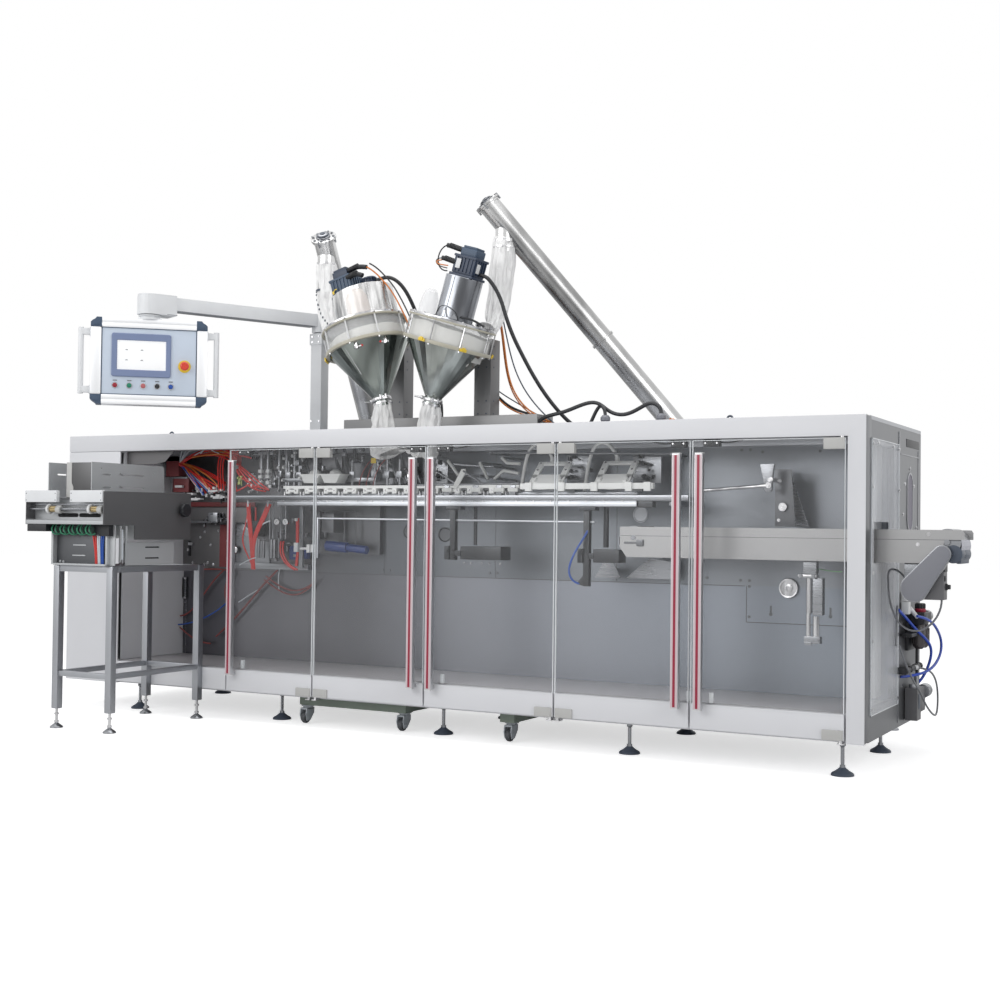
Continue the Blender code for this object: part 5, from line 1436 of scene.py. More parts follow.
# %% Seams and screws of the wall, its openings and the light strip
trim, heads, holes, strip = Bench(), Bench(), Bench(), Bench()
wall = 0.4858
for x in (0.372, 1.030, 1.640, 2.240, 2.860, 3.470):
    for height in (0.725, 1.285):
        heads.rod((x + 0.020, wall, height), (x + 0.020, wall - 0.003, height), 0.0065, 16)
        heads.rod((x - 0.020, wall, height), (x - 0.020, wall - 0.003, height), 0.0065, 16)
for x, height in ((3.490, 0.570), (3.490, 0.700), (3.780, 0.570), (4.000, 0.570), (3.544, 1.275),
                  (3.792, 1.275), (4.030, 1.275), (3.298, 0.732)):
    heads.rod((x, wall - 0.002, height), (x, wall - 0.0048, height), 0.0065, 16)
for x in (1.020, 1.630, 2.250, 2.870):
    trim.box((x - 0.0012, x + 0.0012), (wall - 0.0010, wall + 0.0005), (0.7025, 1.3495))
trim.box((0.365, 3.478), (wall - 0.0006, wall + 0.0040), (0.6995, 0.7030))
trim.box((3.4755, 3.4790), (wall - 0.0030, wall + 0.0040), (0.5470, 0.7020))
trim.box((3.4780, 4.0650), (wall - 0.0030, wall + 0.0040), (0.5455, 0.5490))
strip.box((0.352, 4.078), (0.440, 0.4835), (1.300, 1.3650), 0.002)
cap = Bench()
# The two round openings and the keyhole slots below are dark steel shapes on the wall: painted
# shade in the holes.
for bench, x, height in ((holes, 1.773, 0.915), (holes, 1.973, 0.903), (cap, 2.985, 1.005)):
    bench.turned([(0.0, 0.0), (0.030, 0.0), (0.034, 0.004), (0.036, 0.004), (0.036, 0.0)],
                 at=(x, wall - 0.0003, height), axis=(0, -1, 0), sides=40)
cap.piece("wall_round_cap", PALE_STEEL)
for x in (3.585, 3.840):
    holes.box((x - 0.004, x + 0.004), (wall - 0.0028, wall - 0.0015), (0.585, 0.622), 0.0005)
    holes.rod((x, wall - 0.0015, 0.585), (x, wall - 0.0030, 0.585), 0.0075, 16)
trim.piece("wall_seams", DARK_SHEET)
heads.piece("wall_screws", SHADE_STEEL)
strip.piece("top_light_strip", PALE_STEEL)
holes.piece("wall_openings_painted_shade", DARK_SHEET)

# %% [markdown]
# ## The air station
# At the left end, behind the first door, compressed air is shared out: red hoses fan out
# from a distributor block to the cylinders of each station. What the eye reads there is
# density, many small blocks, fittings and hoses, so a helper sets small blocks in a
# region by a seeded draw, and the hoses are curves that start together and spread.


# %% Helpers for crowded regions
def crowd(bench, seed, count, x, y, z, small=0.006, large=0.020):
    """Small rounded blocks, screws and pins at drawn places inside the limits."""
    draw = random.Random(seed)
    for _ in range(count):
        middle = [draw.uniform(*limit) for limit in (x, y, z)]
        size = [draw.uniform(small, large) for _ in range(3)]
        kind = draw.random()
        if kind < 0.6:
            bench.box(*[(spot - part / 2, spot + part / 2) for spot, part in zip(middle, size)],
                      0.0015)
        elif kind < 0.8:
            bench.rod((middle[0], middle[1] - size[1], middle[2]),
                      (middle[0], middle[1] + 0.004, middle[2]), size[0] * 0.4, 10)
        else:
            bench.rod((middle[0], middle[1], middle[2] - size[2]),
                      (middle[0], middle[1], middle[2] + size[2]), size[0] * 0.35, 10)


def spread(bench, seed, start, ends, radius, sag=0.02, loose=0.012):
    """Hoses from about one point to several, each a little different."""
    draw = random.Random(seed)
    for end in ends:
        start_here = Vector(start) + Vector([draw.uniform(-loose, loose) * 0.6 for _ in range(3)])
        end = Vector(end)
        middle = (start_here + end) / 2 + Vector((draw.uniform(-loose, loose),
                                                  draw.uniform(-loose, loose) - 0.008,
                                                  sag + draw.uniform(-loose, loose)))
        near = start_here + (middle - start_here) * 0.45 + Vector((0, 0, sag * 0.5))
        far = end + (middle - end) * 0.35 + Vector((0, 0, sag * 0.6))
        bench.curve([start_here, near, middle, far, end], radius)


# %% Plates, blocks and bars of the station
WALL_FACE = 0.4855
station = Bench()
station.box((1.020, 1.620), (0.4560, WALL_FACE), (0.800, 1.330), 0.003)
station.box((1.060, 1.300), (0.400, 0.460), (1.190, 1.270), 0.004)
station.box((1.340, 1.410), (0.360, 0.460), (0.905, 1.000), 0.003)
station.box((1.250, 1.300), (0.400, 0.460), (0.870, 1.010), 0.002)
station.rod((1.305, 0.440, 0.880), (1.305, 0.440, 1.010), 0.006, 12)
station.rod((1.420, 0.440, 0.840), (1.420, 0.440, 1.010), 0.005, 12)
station.rod((1.235, 0.420, 1.012), (1.500, 0.420, 1.012), 0.005, 12)
station.rod((1.500, 0.420, 0.850), (1.500, 0.420, 1.012), 0.004, 12)
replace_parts(station.piece("air_station_plates", SHADE_STEEL), "valve_station")
plates = Bench()
plates.box((0.291, 0.700), (0.4815, WALL_FACE), (0.713, 0.940), 0.001)
plates.plate([(0.355, 1.322), (0.677, 1.316), (0.604, 1.249), (0.540, 1.238), (0.355, 1.238)],
             "y", 0.046, 0.050)
plates.box((0.404, 0.830), (0.4300, 0.4500), (0.950, 1.028), 0.002)
plates.piece("air_station_wall_plate", BAY_SHEET)
tinted = Bench()
tinted.box((0.344, 0.860), (0.440, 0.452), (1.032, 1.056), 0.002)
tinted.box((0.600, 0.702), (0.4795, 0.4825), (0.716, 0.938), 0.001)
tinted.box((0.383, 0.470), (0.300, 0.360), (1.187, 1.266), 0.003)
tinted.box((0.414, 0.530), (0.310, 0.360), (1.105, 1.180), 0.003)
tinted.piece("air_station_red_plates", BRICK)
rims = Bench()
rims.box((0.3815, 0.386), (0.296, 0.362), (1.183, 1.270), 0.001)
rims.box((0.410, 0.526), (0.302, 0.312), (1.175, 1.183), 0.001)
rims.box((0.420, 0.428), (0.302, 0.312), (1.105, 1.180), 0.001)
rims.plate([(0.715, 0.713), (0.930, 0.713), (0.930, 0.850), (0.870, 0.856), (0.735, 0.960),
            (0.715, 0.960)], "y", 0.478, 0.481, 0.001)
rims.box((0.700, 1.190), (0.455, 0.481), (0.713, 0.742), 0.002)
rims.box((1.216, 1.238), (0.344, 0.356), (0.729, 1.034), 0.002)
rims.rod((1.034, 0.420, 0.772), (1.034, 0.420, 0.870), 0.006, 12)
for x in (0.905, 0.935, 0.985, 1.005):
    rims.rod((x, 0.420, 0.770), (x, 0.420, 0.865), 0.009, 14, round_by=0.001)
for x in (0.990, 1.010, 1.060, 1.090):
    rims.rod((x, 0.400, 0.870), (x, 0.400, 1.055), 0.0045, 12)
rims.rod((0.402, 0.400, 0.950), (0.640, 0.400, 0.953), 0.006, 14)
rims.box((0.600, 0.660), (0.385, 0.420), (0.955, 1.000), 0.003)
rims.piece("air_station_frames", MACHINED)

# %% Gauges, grips, blue motor and valve bodies
dials = Bench()
for x in (1.077, 1.131):
    dials.turned([(0, 0), (0.0175, 0), (0.0175, 0.010), (0.0155, 0.012), (0.0150, 0.0105),
                  (0, 0.0105)], (x, 0.350, 0.956), FRONTWARD, 28)
dials.piece("air_gauges", CHROME)
faces = Bench()
for x in (1.077, 1.131):
    faces.turned([(0, 0.0107), (0.0148, 0.0107), (0.0148, 0.0110), (0, 0.0110)],
                 (x, 0.350, 0.956), FRONTWARD, 28)
faces.piece("air_gauge_faces", GRIP_PAINT)
needles = Bench()
for x, turn_by in ((1.077, 40), (1.131, -30)):
    needles.box((x - 0.0008, x + 0.0008), (0.3384, 0.3390), (0.948, 0.966), 0.0002,
                Matrix.Rotation(math.radians(turn_by), 4, "Y"))
needles.piece("air_gauge_needles", BLACK)
blue = Bench()
blue.rod((1.345, 0.400, 0.840), (1.470, 0.400, 0.832), 0.026, 24, round_by=0.004)
blue.rod((1.470, 0.400, 0.832), (1.585, 0.400, 0.822), 0.020, 24, round_by=0.004)
blue.box((1.370, 1.440), (0.400, 0.455), (0.812, 0.858), 0.004)
blue.box((1.095, 1.160), (0.425, 0.455), (0.765, 0.835), 0.004)
blue.box((1.172, 1.206), (0.425, 0.455), (0.770, 0.830), 0.004)
blue.piece("air_station_blue_cylinder", DEEP_BLUE)
pale = Bench()
pale.rod((1.258, 0.300, 0.824), (1.300, 0.300, 0.826), 0.0065, 14, round_by=0.001)
pale.box((1.300, 1.318), (0.290, 0.310), (0.806, 0.846), 0.002)
pale.box((1.325, 1.345), (0.290, 0.310), (0.808, 0.846), 0.002)
pale.box((1.152, 1.176), (0.385, 0.410), (0.806, 0.852), 0.002)
pale.rod((1.160, 0.395, 0.960), (1.160, 0.395, 0.975), 0.010, 14)
for x, z, wide, high in ((0.556, 1.069, 0.092, 0.008), (0.732, 1.078, 0.075, 0.008),
                         (0.560, 1.094, 0.040, 0.010), (0.700, 1.110, 0.060, 0.008)):
    pale.box((x, x + wide), (0.262, 0.292), (z - high / 2, z + high / 2), 0.0015)
    pale.box((x + 0.004, x + wide - 0.010), (0.256, 0.262), (z - high, z - high * 0.5), 0.001)
for x in (1.046, 1.092):
    for z in (1.140, 1.170, 1.198):
        pale.box((x - 0.010, x + 0.010), (0.240, 0.262), (z, z + 0.016), 0.002)
pale.box((0.455, 0.505), (0.288, 0.304), (1.128, 1.140), 0.003)
crowd(pale, 11, 26, (0.600, 0.800), (0.262, 0.300), (1.072, 1.125), 0.005, 0.016)
crowd(pale, 12, 34, (0.920, 1.130), (0.235, 0.290), (1.100, 1.200), 0.005, 0.017)
crowd(pale, 13, 18, (1.130, 1.280), (0.270, 0.320), (1.150, 1.300), 0.006, 0.018)
pale.piece("air_fittings_white", LIGHT)

# %% Steel bits, black block and the distributor
bits = Bench()
crowd(bits, 21, 30, (0.930, 1.260), (0.290, 0.340), (1.130, 1.325), 0.008, 0.030)
crowd(bits, 22, 26, (1.000, 1.200), (0.400, 0.450), (0.765, 1.010), 0.006, 0.022)
crowd(bits, 23, 24, (0.560, 0.700), (0.380, 0.440), (0.930, 1.000), 0.005, 0.016)
crowd(bits, 24, 34, (1.150, 1.750), (0.300, 0.430), (1.140, 1.310), 0.008, 0.028)
for x in (1.010, 1.050, 1.120, 1.165, 1.215):
    bits.rod((x, 0.300, 1.105), (x, 0.300, 1.325), 0.0075, 14)
bits.piece("air_station_steel_bits", MACHINED)
black = Bench()
black.box((0.866, 0.976), (0.240, 0.290), (1.304, 1.340), 0.004)
black.box((0.852, 0.900), (0.420, 0.480), (0.880, 0.960), 0.003)
black.box((0.305, 0.366), (0.4785, 0.4820), (0.549, 0.651), 0.001)
black.box((0.395, 0.404), (0.470, 0.4820), (0.770, 0.850), 0.002)
crowd(black, 31, 26, (0.930, 1.250), (0.300, 0.350), (1.120, 1.330), 0.006, 0.022)
crowd(black, 32, 20, (0.540, 0.820), (0.300, 0.340), (1.060, 1.120), 0.005, 0.016)
crowd(black, 33, 14, (0.560, 0.690), (0.370, 0.420), (0.940, 1.000), 0.004, 0.012)
black.piece("air_station_black_parts", BLACK)
valve_box = Bench()
valve_box.box((1.124, 1.332), (0.330, 0.402), (1.197, 1.251), 0.003)
valve_box.box((1.470, 1.530), (0.350, 0.420), (1.140, 1.255), 0.003)
valve_box.piece("station_valve_box", DARK_SHEET)
valves = {"black": Bench(), "white": Bench(), "steel": Bench()}
for index, span in enumerate(((2.690, 2.785), (3.010, 3.130), (1.640, 1.760), (1.980, 2.060))):
    for kind, bench in valves.items():
        crowd(bench, 50 + 3 * index + len(kind), 9, span, (0.310, 0.345), (1.150, 1.262), 0.007,
              0.024)
    middle = sum(span) / 2
    valves["steel"].box((span[0] - 0.006, span[1] + 0.006), (0.345, 0.350), (1.140, 1.272), 0.001)
    valves["steel"].rod((middle, 0.350, 1.206), (middle, 0.4845, 1.206), 0.010, 14)
valves["black"].piece("station_valves_black", BLACK)
valves["white"].piece("station_valves_white", LIGHT)
valves["steel"].piece("station_valves_steel", MACHINED)
knob = Bench()
knob.box((0.322, 0.349), (0.474, 0.480), (0.600, 0.640), 0.003)
knob.box((0.325, 0.346), (0.475, 0.480), (0.560, 0.592), 0.003)
knob.piece("main_switch_rocker", DEEP_RED)
distributor = Bench()
distributor.box((0.846, 0.892), (0.250, 0.290), (1.240, 1.330), 0.005)
for x in (0.853, 0.868, 0.884):
    for z in (1.255, 1.280, 1.305):
        distributor.rod((x, 0.252, z), (x, 0.236, z), 0.0065, 12, round_by=0.001)
distributor.piece("air_distributor", RED)
greenish = Bench()
crowd(greenish, 41, 10, (0.905, 0.945), (0.236, 0.256), (1.140, 1.185), 0.006, 0.013)
greenish.piece("air_fittings_yellow", PALE_GREEN)

# %% [markdown]
# ## Red, white and blue hoses
# Three groups: the fan from the left block, the burst from the distributor, and the pair
# of bundles that drop to the valves and down behind the lower sheet. The low loops hang
# near the dark sheet, and their red is darker.

# %% Hoses
red = Bench()
fan = (0.482, 0.298, 1.252)
spread(red, 1, fan, [(0.640, 0.285, 1.100), (0.668, 0.285, 1.098), (0.700, 0.283, 1.104),
                     (0.726, 0.283, 1.100), (0.748, 0.281, 1.106), (0.770, 0.280, 1.120),
                     (0.797, 0.280, 1.150), (0.800, 0.280, 1.138)], 0.0046, 0.012)
spread(red, 2, fan, [(0.842, 0.262, 1.292), (0.842, 0.262, 1.276), (0.842, 0.262, 1.306),
                     (0.838, 0.262, 1.262)], 0.0046, 0.040, 0.010)
for step in range(3):
    x = 0.758 + 0.016 * step
    red.curve([(0.842, 0.262, 1.300 - 0.01 * step), (x + 0.03, 0.258, 1.305), (x, 0.262, 1.270),
               (x - 0.002, 0.268, 1.190), (x + 0.004, 0.275, 1.112)], 0.0036)
spread(red, 3, (0.880, 0.240, 1.262), [(0.950, 0.238, 1.165), (0.975, 0.238, 1.150),
                                       (1.005, 0.238, 1.135), (1.030, 0.240, 1.122),
                                       (1.062, 0.240, 1.120), (1.100, 0.242, 1.116),
                                       (0.905, 0.238, 1.110), (0.890, 0.238, 1.100)],
       0.0044, -0.010, 0.012)
spread(red, 4, (0.870, 0.240, 1.300), [(0.800, 0.25, 1.338), (0.850, 0.245, 1.345),
                                       (0.905, 0.245, 1.345), (0.960, 0.25, 1.296),
                                       (0.985, 0.25, 1.272)], 0.0044, 0.004, 0.012)
spread(red, 5, (0.975, 0.236, 1.135), [(1.108, 0.238, 1.112), (1.090, 0.236, 1.106),
                                       (0.900, 0.236, 1.108)], 0.0042, -0.004, 0.008)
for shift in (-0.008, 0.0, 0.008):
    red.curve([(0.930 + shift, 0.300, 1.046), (0.938 + shift, 0.296, 0.990),
               (0.946 + shift, 0.296, 0.930), (0.952 + shift, 0.300, 0.862),
               (0.958 + shift * 0.5, 0.300, 0.790), (0.966 + shift, 0.302, 0.715)], 0.0050)
for shift in (-0.010, -0.003, 0.004, 0.011):
    red.curve([(1.060 + shift, 0.300, 1.044), (1.040 + shift, 0.294, 0.990),
               (1.000 + shift, 0.292, 0.925), (0.972 + shift * 0.6, 0.296, 0.870),
               (0.960 + shift * 0.5, 0.298, 0.790), (0.968 + shift * 0.6, 0.302, 0.718)], 0.0050)
red.curve([(0.925, 0.300, 0.985), (0.915, 0.300, 0.930), (0.890, 0.300, 0.880),
           (0.905, 0.300, 0.820), (0.945, 0.300, 0.765), (0.965, 0.302, 0.722)], 0.0040)
red.rod((1.164, 0.400, 0.975), (1.166, 0.400, 0.850), 0.0095, 16)
red.rod((1.168, 0.400, 0.806), (1.160, 0.400, 0.735), 0.0080, 16)
for shift in (0.0, 0.016):
    red.curve([(1.062 + shift, 0.400, 0.858), (1.052 + shift, 0.400, 0.815),
               (1.070 + shift, 0.400, 0.765), (1.110 + shift, 0.400, 0.730),
               (1.150 + shift, 0.402, 0.716)], 0.0050)
red.curve([(0.862, 0.445, 1.030), (0.866, 0.445, 0.985), (0.862, 0.445, 0.930)], 0.0050)
red.piece("air_hoses_red", RED)
orange = Bench()
spread(orange, 6, fan, [(0.630, 0.282, 1.112), (0.690, 0.280, 1.118), (0.756, 0.278, 1.130),
                        (0.838, 0.258, 1.300), (0.842, 0.258, 1.284)], 0.0038, 0.026, 0.014)
orange.piece("air_hoses_orange", ORANGE)
white = Bench()
spread(white, 7, fan, [(0.512, 0.30, 1.345), (0.545, 0.30, 1.345), (0.575, 0.29, 1.330),
                       (0.646, 0.282, 1.092), (0.716, 0.280, 1.096)], 0.0030, 0.004, 0.006)
spread(white, 8, (0.700, 0.27, 1.340), [(0.590, 0.28, 1.292), (0.640, 0.27, 1.300),
                                        (0.770, 0.26, 1.300)], 0.0026, 0.0, 0.010)
white.curve([(0.936, 0.300, 0.990), (0.918, 0.300, 0.950), (0.900, 0.300, 0.912)], 0.0035)
white.curve([(0.880, 0.300, 0.735), (0.925, 0.298, 0.760), (0.985, 0.296, 0.775)], 0.0030)
white.curve([(1.070, 0.300, 0.960), (1.030, 0.295, 0.950), (1.010, 0.295, 0.930)], 0.0040)
for x in (0.930, 1.055):
    white.rod((x, 0.300, 1.030), (x, 0.300, 1.062), 0.0070, 12)
white.piece("air_hoses_white", PALE_HOSE)
blue = Bench()
spread(blue, 9, fan, [(0.655, 0.280, 1.104), (0.694, 0.280, 1.100)], 0.0036, 0.006, 0.010)
blue.curve([(0.620, 0.268, 1.140), (0.648, 0.262, 1.120), (0.668, 0.266, 1.088)], 0.0046)
blue.curve([(0.316, 0.455, 0.402), (0.387, 0.450, 0.404), (0.492, 0.450, 0.426),
            (0.617, 0.455, 0.485), (0.680, 0.462, 0.540)], 0.0034)
blue.curve([(1.150, 0.440, 0.835), (1.130, 0.435, 0.790), (1.165, 0.440, 0.760)], 0.0050)
blue.piece("air_hoses_blue", BLUE)
low = Bench()
for route in (((0.907, 0.657), (0.990, 0.606), (1.073, 0.578), (1.150, 0.592), (1.211, 0.636),
               (1.230, 0.668)),
              ((0.918, 0.676), (1.000, 0.626), (1.082, 0.598), (1.160, 0.612), (1.222, 0.652)),
              ((0.980, 0.698), (0.900, 0.632), (0.800, 0.525), (0.700, 0.430), (0.596, 0.351)),
              ((0.990, 0.708), (0.915, 0.650), (0.812, 0.540), (0.708, 0.440), (0.606, 0.358)),
              ((0.700, 0.690), (0.655, 0.640), (0.643, 0.578), (0.665, 0.520), (0.700, 0.490)),
              ((0.316, 0.450), (0.386, 0.440), (0.478, 0.520), (0.568, 0.648), (0.640, 0.700)),
              ((0.316, 0.412), (0.360, 0.380), (0.435, 0.332), (0.500, 0.314), (0.560, 0.312)),
              ((0.500, 0.700), (0.560, 0.706), (0.640, 0.704), (0.700, 0.700))):
    low.curve([(x, 0.468, z) for x, z in route], 0.0042)
low.piece("low_hoses_red", DARKER_RED)
paler = Bench()
paler.curve([(0.863, 0.470, 0.603), (0.800, 0.470, 0.570), (0.741, 0.470, 0.536)], 0.0034)
paler.curve([(1.000, 0.474, 0.712), (0.985, 0.474, 0.660), (1.000, 0.474, 0.600)], 0.0026)
paler.piece("low_hoses_pale", PALE_HOSE)

# %% Main switch plate, seams and screws of the bay
switch = Bench()
switch.pierced([(0.290, 0.541), (0.376, 0.541), (0.376, 0.657), (0.290, 0.657)],
               [[(0.305, 0.549), (0.366, 0.549), (0.366, 0.651), (0.305, 0.651)]], "y",
               0.4795, 0.4825)
switch.box((0.374, 0.376), (0.4835, WALL_FACE), (0.252, 0.540), 0.0004)
switch.box((0.352, 0.376), (0.4835, WALL_FACE), (0.520, 0.523), 0.0004)
switch.piece("main_switch_plate", MACHINED)
heads = Bench()
for x, z in ((0.297, 0.548), (0.370, 0.548), (0.297, 0.650), (0.370, 0.650)):
    heads.bolt((x, 0.4795, z), (0, -1, 0), 0.0042, 0.004)
for x, z in ((0.310, 0.925), (0.310, 0.728), (0.500, 0.728), (0.560, 0.728), (0.654, 0.853),
             (0.672, 0.790), (0.655, 0.763), (0.470, 0.870), (0.500, 0.900), (0.420, 0.735),
             (0.521, 0.737), (0.590, 0.905), (0.540, 0.830), (0.690, 0.925), (0.690, 0.728)):
    heads.bolt((x, 0.4800, z), (0, -1, 0), 0.0050, 0.005)
for x, z in ((0.378, 0.355), (0.378, 0.300), (0.378, 0.420), (0.378, 0.480)):
    heads.rod((x, 0.4835, z), (x, 0.4815, z), 0.0035, 10)
heads.box((0.400, 0.430), (0.462, 0.480), (0.826, 0.842), 0.003)
heads.box((0.392, 0.402), (0.462, 0.480), (0.796, 0.810), 0.003)
heads.turned([(0, 0), (0.018, 0), (0.020, 0.004), (0.016, 0.012), (0, 0.014)],
             (0.720, 0.470, 0.808), FRONTWARD, 28)
heads.piece("bay_screws", CHROME)

# %% [markdown]
# ## The discharge end
# At the right a lever pushes finished pouches onto the belt. Its three plates stand one
# behind the other on one pivot, and a bright threaded rod drives the front one.

# %% Discharge lever
z = RAIL_TOP
ARM_Y = POUCH_Y - 0.050
lever, drive, back = Bench(), Bench(), Bench()
lever.plate([(3.626, z + 0.125), (3.685, z + 0.127), (3.676, z + 0.060), (3.675, z + 0.020),
             (3.668, z + 0.012), (3.652, z + 0.012), (3.645, z + 0.020), (3.640, z + 0.060)],
            "y", ARM_Y - 0.008, ARM_Y + 0.008, 0.002)
lever.plate([(3.656, z + 0.112), (3.688, z + 0.112), (3.700, z + 0.060), (3.766, z - 0.126),
             (3.700, z - 0.126), (3.656, z + 0.020)], "y", ARM_Y + 0.211, ARM_Y + 0.217, 0.001)
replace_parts(lever.piece("discharge_lever", MACHINED), "discharge_arm")
back.plate([(3.656, z + 0.112), (3.724, z + 0.108), (3.730, z + 0.030), (3.742, z - 0.126),
            (3.656, z - 0.126)], "y", ARM_Y + 0.101, ARM_Y + 0.107, 0.001)
back.piece("discharge_back_plate", SHADE_STEEL)
drive.rod((3.360, ARM_Y, z + 0.018), (3.662, ARM_Y, z + 0.040), 0.0070, 18)
drive.rod((3.360, ARM_Y, z + 0.018), (3.384, ARM_Y, z + 0.0198), 0.0100, 18, round_by=0.001)
drive.rod((3.628, ARM_Y, z + 0.0375), (3.662, ARM_Y, z + 0.040), 0.0100, 18, round_by=0.001)
for share in range(10):
    x = 3.388 + 0.004 * share
    drive.rod((x, ARM_Y, z + 0.0201 + 0.00029 * share),
              (x + 0.002, ARM_Y, z + 0.0203 + 0.00029 * share),
              0.0078, 16)
drive.rod((3.666, ARM_Y - 0.012, z + 0.062), (3.666, WALL_FACE, z + 0.062), 0.0085, 18)
drive.bolt((3.661, ARM_Y - 0.008, z + 0.040), (0, -1, 0), 0.0080, 0.008)
drive.bolt((3.672, ARM_Y - 0.008, z + 0.064), (0, -1, 0), 0.0060, 0.006)
drive.bolt((3.676, ARM_Y + 0.101, z + 0.060), (0, -1, 0), 0.0055, 0.005)
drive.bolt((3.672, ARM_Y + 0.101, z - 0.100), (0, -1, 0), 0.0045, 0.004)
drive.turned([(0, 0), (0.0190, 0), (0.0190, 0.008), (0.0170, 0.010), (0, 0.010)],
             (3.692, ARM_Y + 0.094, z - 0.046), FRONTWARD, 36)
drive.plate([(3.712, z + 0.056), (3.728, z + 0.098), (3.716, z + 0.058)], "y",
            ARM_Y + 0.104, ARM_Y + 0.112)
drive.piece("discharge_rod", CHROME)

# %% Blue hose and the folded chute plates under the belt's start
hose = Bench()
hose.curve([(2.862, 0.190, 0.930), (2.850, 0.165, 0.890), (2.822, 0.150, 0.845),
            (2.796, 0.150, 0.785),
            (2.784, 0.160, 0.740), (2.800, 0.190, 0.700), (2.845, 0.200, 0.697)], 0.0046)
hose.piece("discharge_hose_blue", BLUE)
chute = Bench()
chute.plate([(2.802, 0.723), (2.841, 0.788), (2.893, 0.789), (2.928, 0.723)], "y", 0.400, 0.403)
chute.plate([(2.950, 0.723), (3.062, 0.812), (3.163, 0.799), (3.175, 0.723)], "y", 0.404, 0.407)
for x in (2.865, 3.080):
    chute.box((x - 0.010, x + 0.010), (0.403, 0.4845), (0.745, 0.765), 0.002)
chute.piece("discharge_chute_plates", MACHINED)

# %% [markdown]
# Under the belt, a hand wheel in the wall and a clamp post with a bright tube set the
# height of the outfeed.

# %% Hand wheel and clamp post
wheel = Bench()
wheel.turned([(0.0, 0.0), (0.016, 0.0), (0.016, 0.014), (0.0, 0.016)], (3.664, 0.4840, 0.698),
             FRONTWARD, 28)
wheel.turned([(0.034, 0.004), (0.042, 0.004), (0.043, 0.010), (0.040, 0.016), (0.035, 0.015)],
             (3.664, 0.4840, 0.698), FRONTWARD, 48, True)
wheel.turned([(0.0, 0.0), (0.036, 0.0), (0.036, 0.005), (0.0, 0.005)], (3.664, 0.4840, 0.698),
             FRONTWARD, 40)
wheel.piece("outfeed_hand_wheel", CHROME)
clamp, tubes = Bench(), Bench()
tubes.rod((3.829, 0.204, 0.612), (3.829, 0.204, 0.752), 0.0130, 24)
tubes.rod((3.826, 0.204, 0.520), (3.826, 0.204, 0.612), 0.0095, 20)
tubes.rod((3.855, 0.212, 0.520), (3.855, 0.212, 0.600), 0.0130, 22)
tubes.box((3.789, 3.864), (0.180, 0.228), (0.755, 0.766), 0.003)
tubes.piece("clamp_post_tubes", CHROME)
clamp.box((3.845, 3.884), (0.196, 0.236), (0.605, 0.753), 0.003)
clamp.box((3.808, 3.862), (0.186, 0.226), (0.768, 0.8215), 0.004)
clamp.box((3.812, 3.877), (0.188, 0.226), (0.492, 0.521), 0.004)
clamp.box((3.818, 3.846), (0.180, 0.190), (0.486, 0.500), 0.002)
clamp.bolt((3.800, 0.180, 0.760), (0, -1, 0), 0.0060, 0.008)
clamp.bolt((3.852, 0.180, 0.760), (0, -1, 0), 0.0060, 0.008)
clamp.bolt((3.866, 0.188, 0.506), (0, -1, 0), 0.0060, 0.008)
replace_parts(clamp.piece("clamp_post", MACHINED), "outfeed_bracket")
lead = Bench()
lead.curve([(3.850, 0.240, 0.790), (3.880, 0.235, 0.784), (3.915, 0.235, 0.778),
            (3.950, 0.240, 0.780)], 0.0022)
lead.piece("sensor_lead_green", LEAF)

# %% [markdown]
# ## The pouch magazine
# Flat pouches lie on a bed between two guide plates, and belts under the front edge feed
# them to the rail. The head is bent sheet on a stand of square tube. Its two cheeks are
# flat outlines; the guide plates have long adjusting slots, so they are drawn as
# outlines with holes and given their thickness.


# %% Small outlines
def slot_shape(first, second, half):
    """The outline of a long hole with round ends between two points."""
    start = math.atan2(second[1] - first[1], second[0] - first[0]) + math.pi / 2
    outline = []
    for (a, b), begin in ((first, start), (second, start + math.pi)):
        for step in range(7):
            angle = begin + math.pi * step / 6
            outline.append((a + half * math.cos(angle), b + half * math.sin(angle)))
    return outline


def round_hole(a, b, radius, sides=14):
    return [(a + radius * math.cos(2 * math.pi * step / sides),
             b + radius * math.sin(2 * math.pi * step / sides)) for step in range(sides)]


# %% Cheeks of the head
(HEAD_LEFT, HEAD_RIGHT), (HEAD_FRONT, HEAD_BACK), (_, HEAD_TOP) = limits("infeed_head")
BED = HEAD_TOP - 0.035
HEAD_FRONT += 0.008
cheek = [(HEAD_FRONT, HEAD_TOP - 0.005), (-0.120, HEAD_TOP), (-0.120, BED - 0.185),
         (-0.500, BED - 0.185), (-0.500, BED - 0.120), (HEAD_FRONT, BED - 0.120)]
cheeks = Bench()
for x in (HEAD_LEFT, HEAD_RIGHT - 0.004):
    cheeks.plate(cheek, "x", x, x + 0.004, 0.0012)
cheeks.box((HEAD_RIGHT - 0.016, HEAD_RIGHT - 0.004), (-0.695, -0.140), (HEAD_TOP - 0.010,
                                                                       HEAD_TOP - 0.006), 0.001)
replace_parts(cheeks.piece("magazine_cheeks", MAGAZINE_SIDE), "infeed_head")
screws = Bench()
screws.turned([(0, 0), (0.009, 0), (0.009, 0.0005), (0.0065, 0.0006), (0, 0.0006)],
              (HEAD_RIGHT - 0.0008, -0.619, 1.012), (1, 0, 0), 20)
for y, z in ((-0.690, 1.066), (-0.690, 1.040), (-0.690, 0.950)):
    screws.turned([(0, 0), (0.004, 0), (0.0035, 0.0005), (0, 0.0006)],
                  (HEAD_RIGHT - 0.0008, y, z), (1, 0, 0), 14)
screws.piece("magazine_cheek_screws", CHROME)

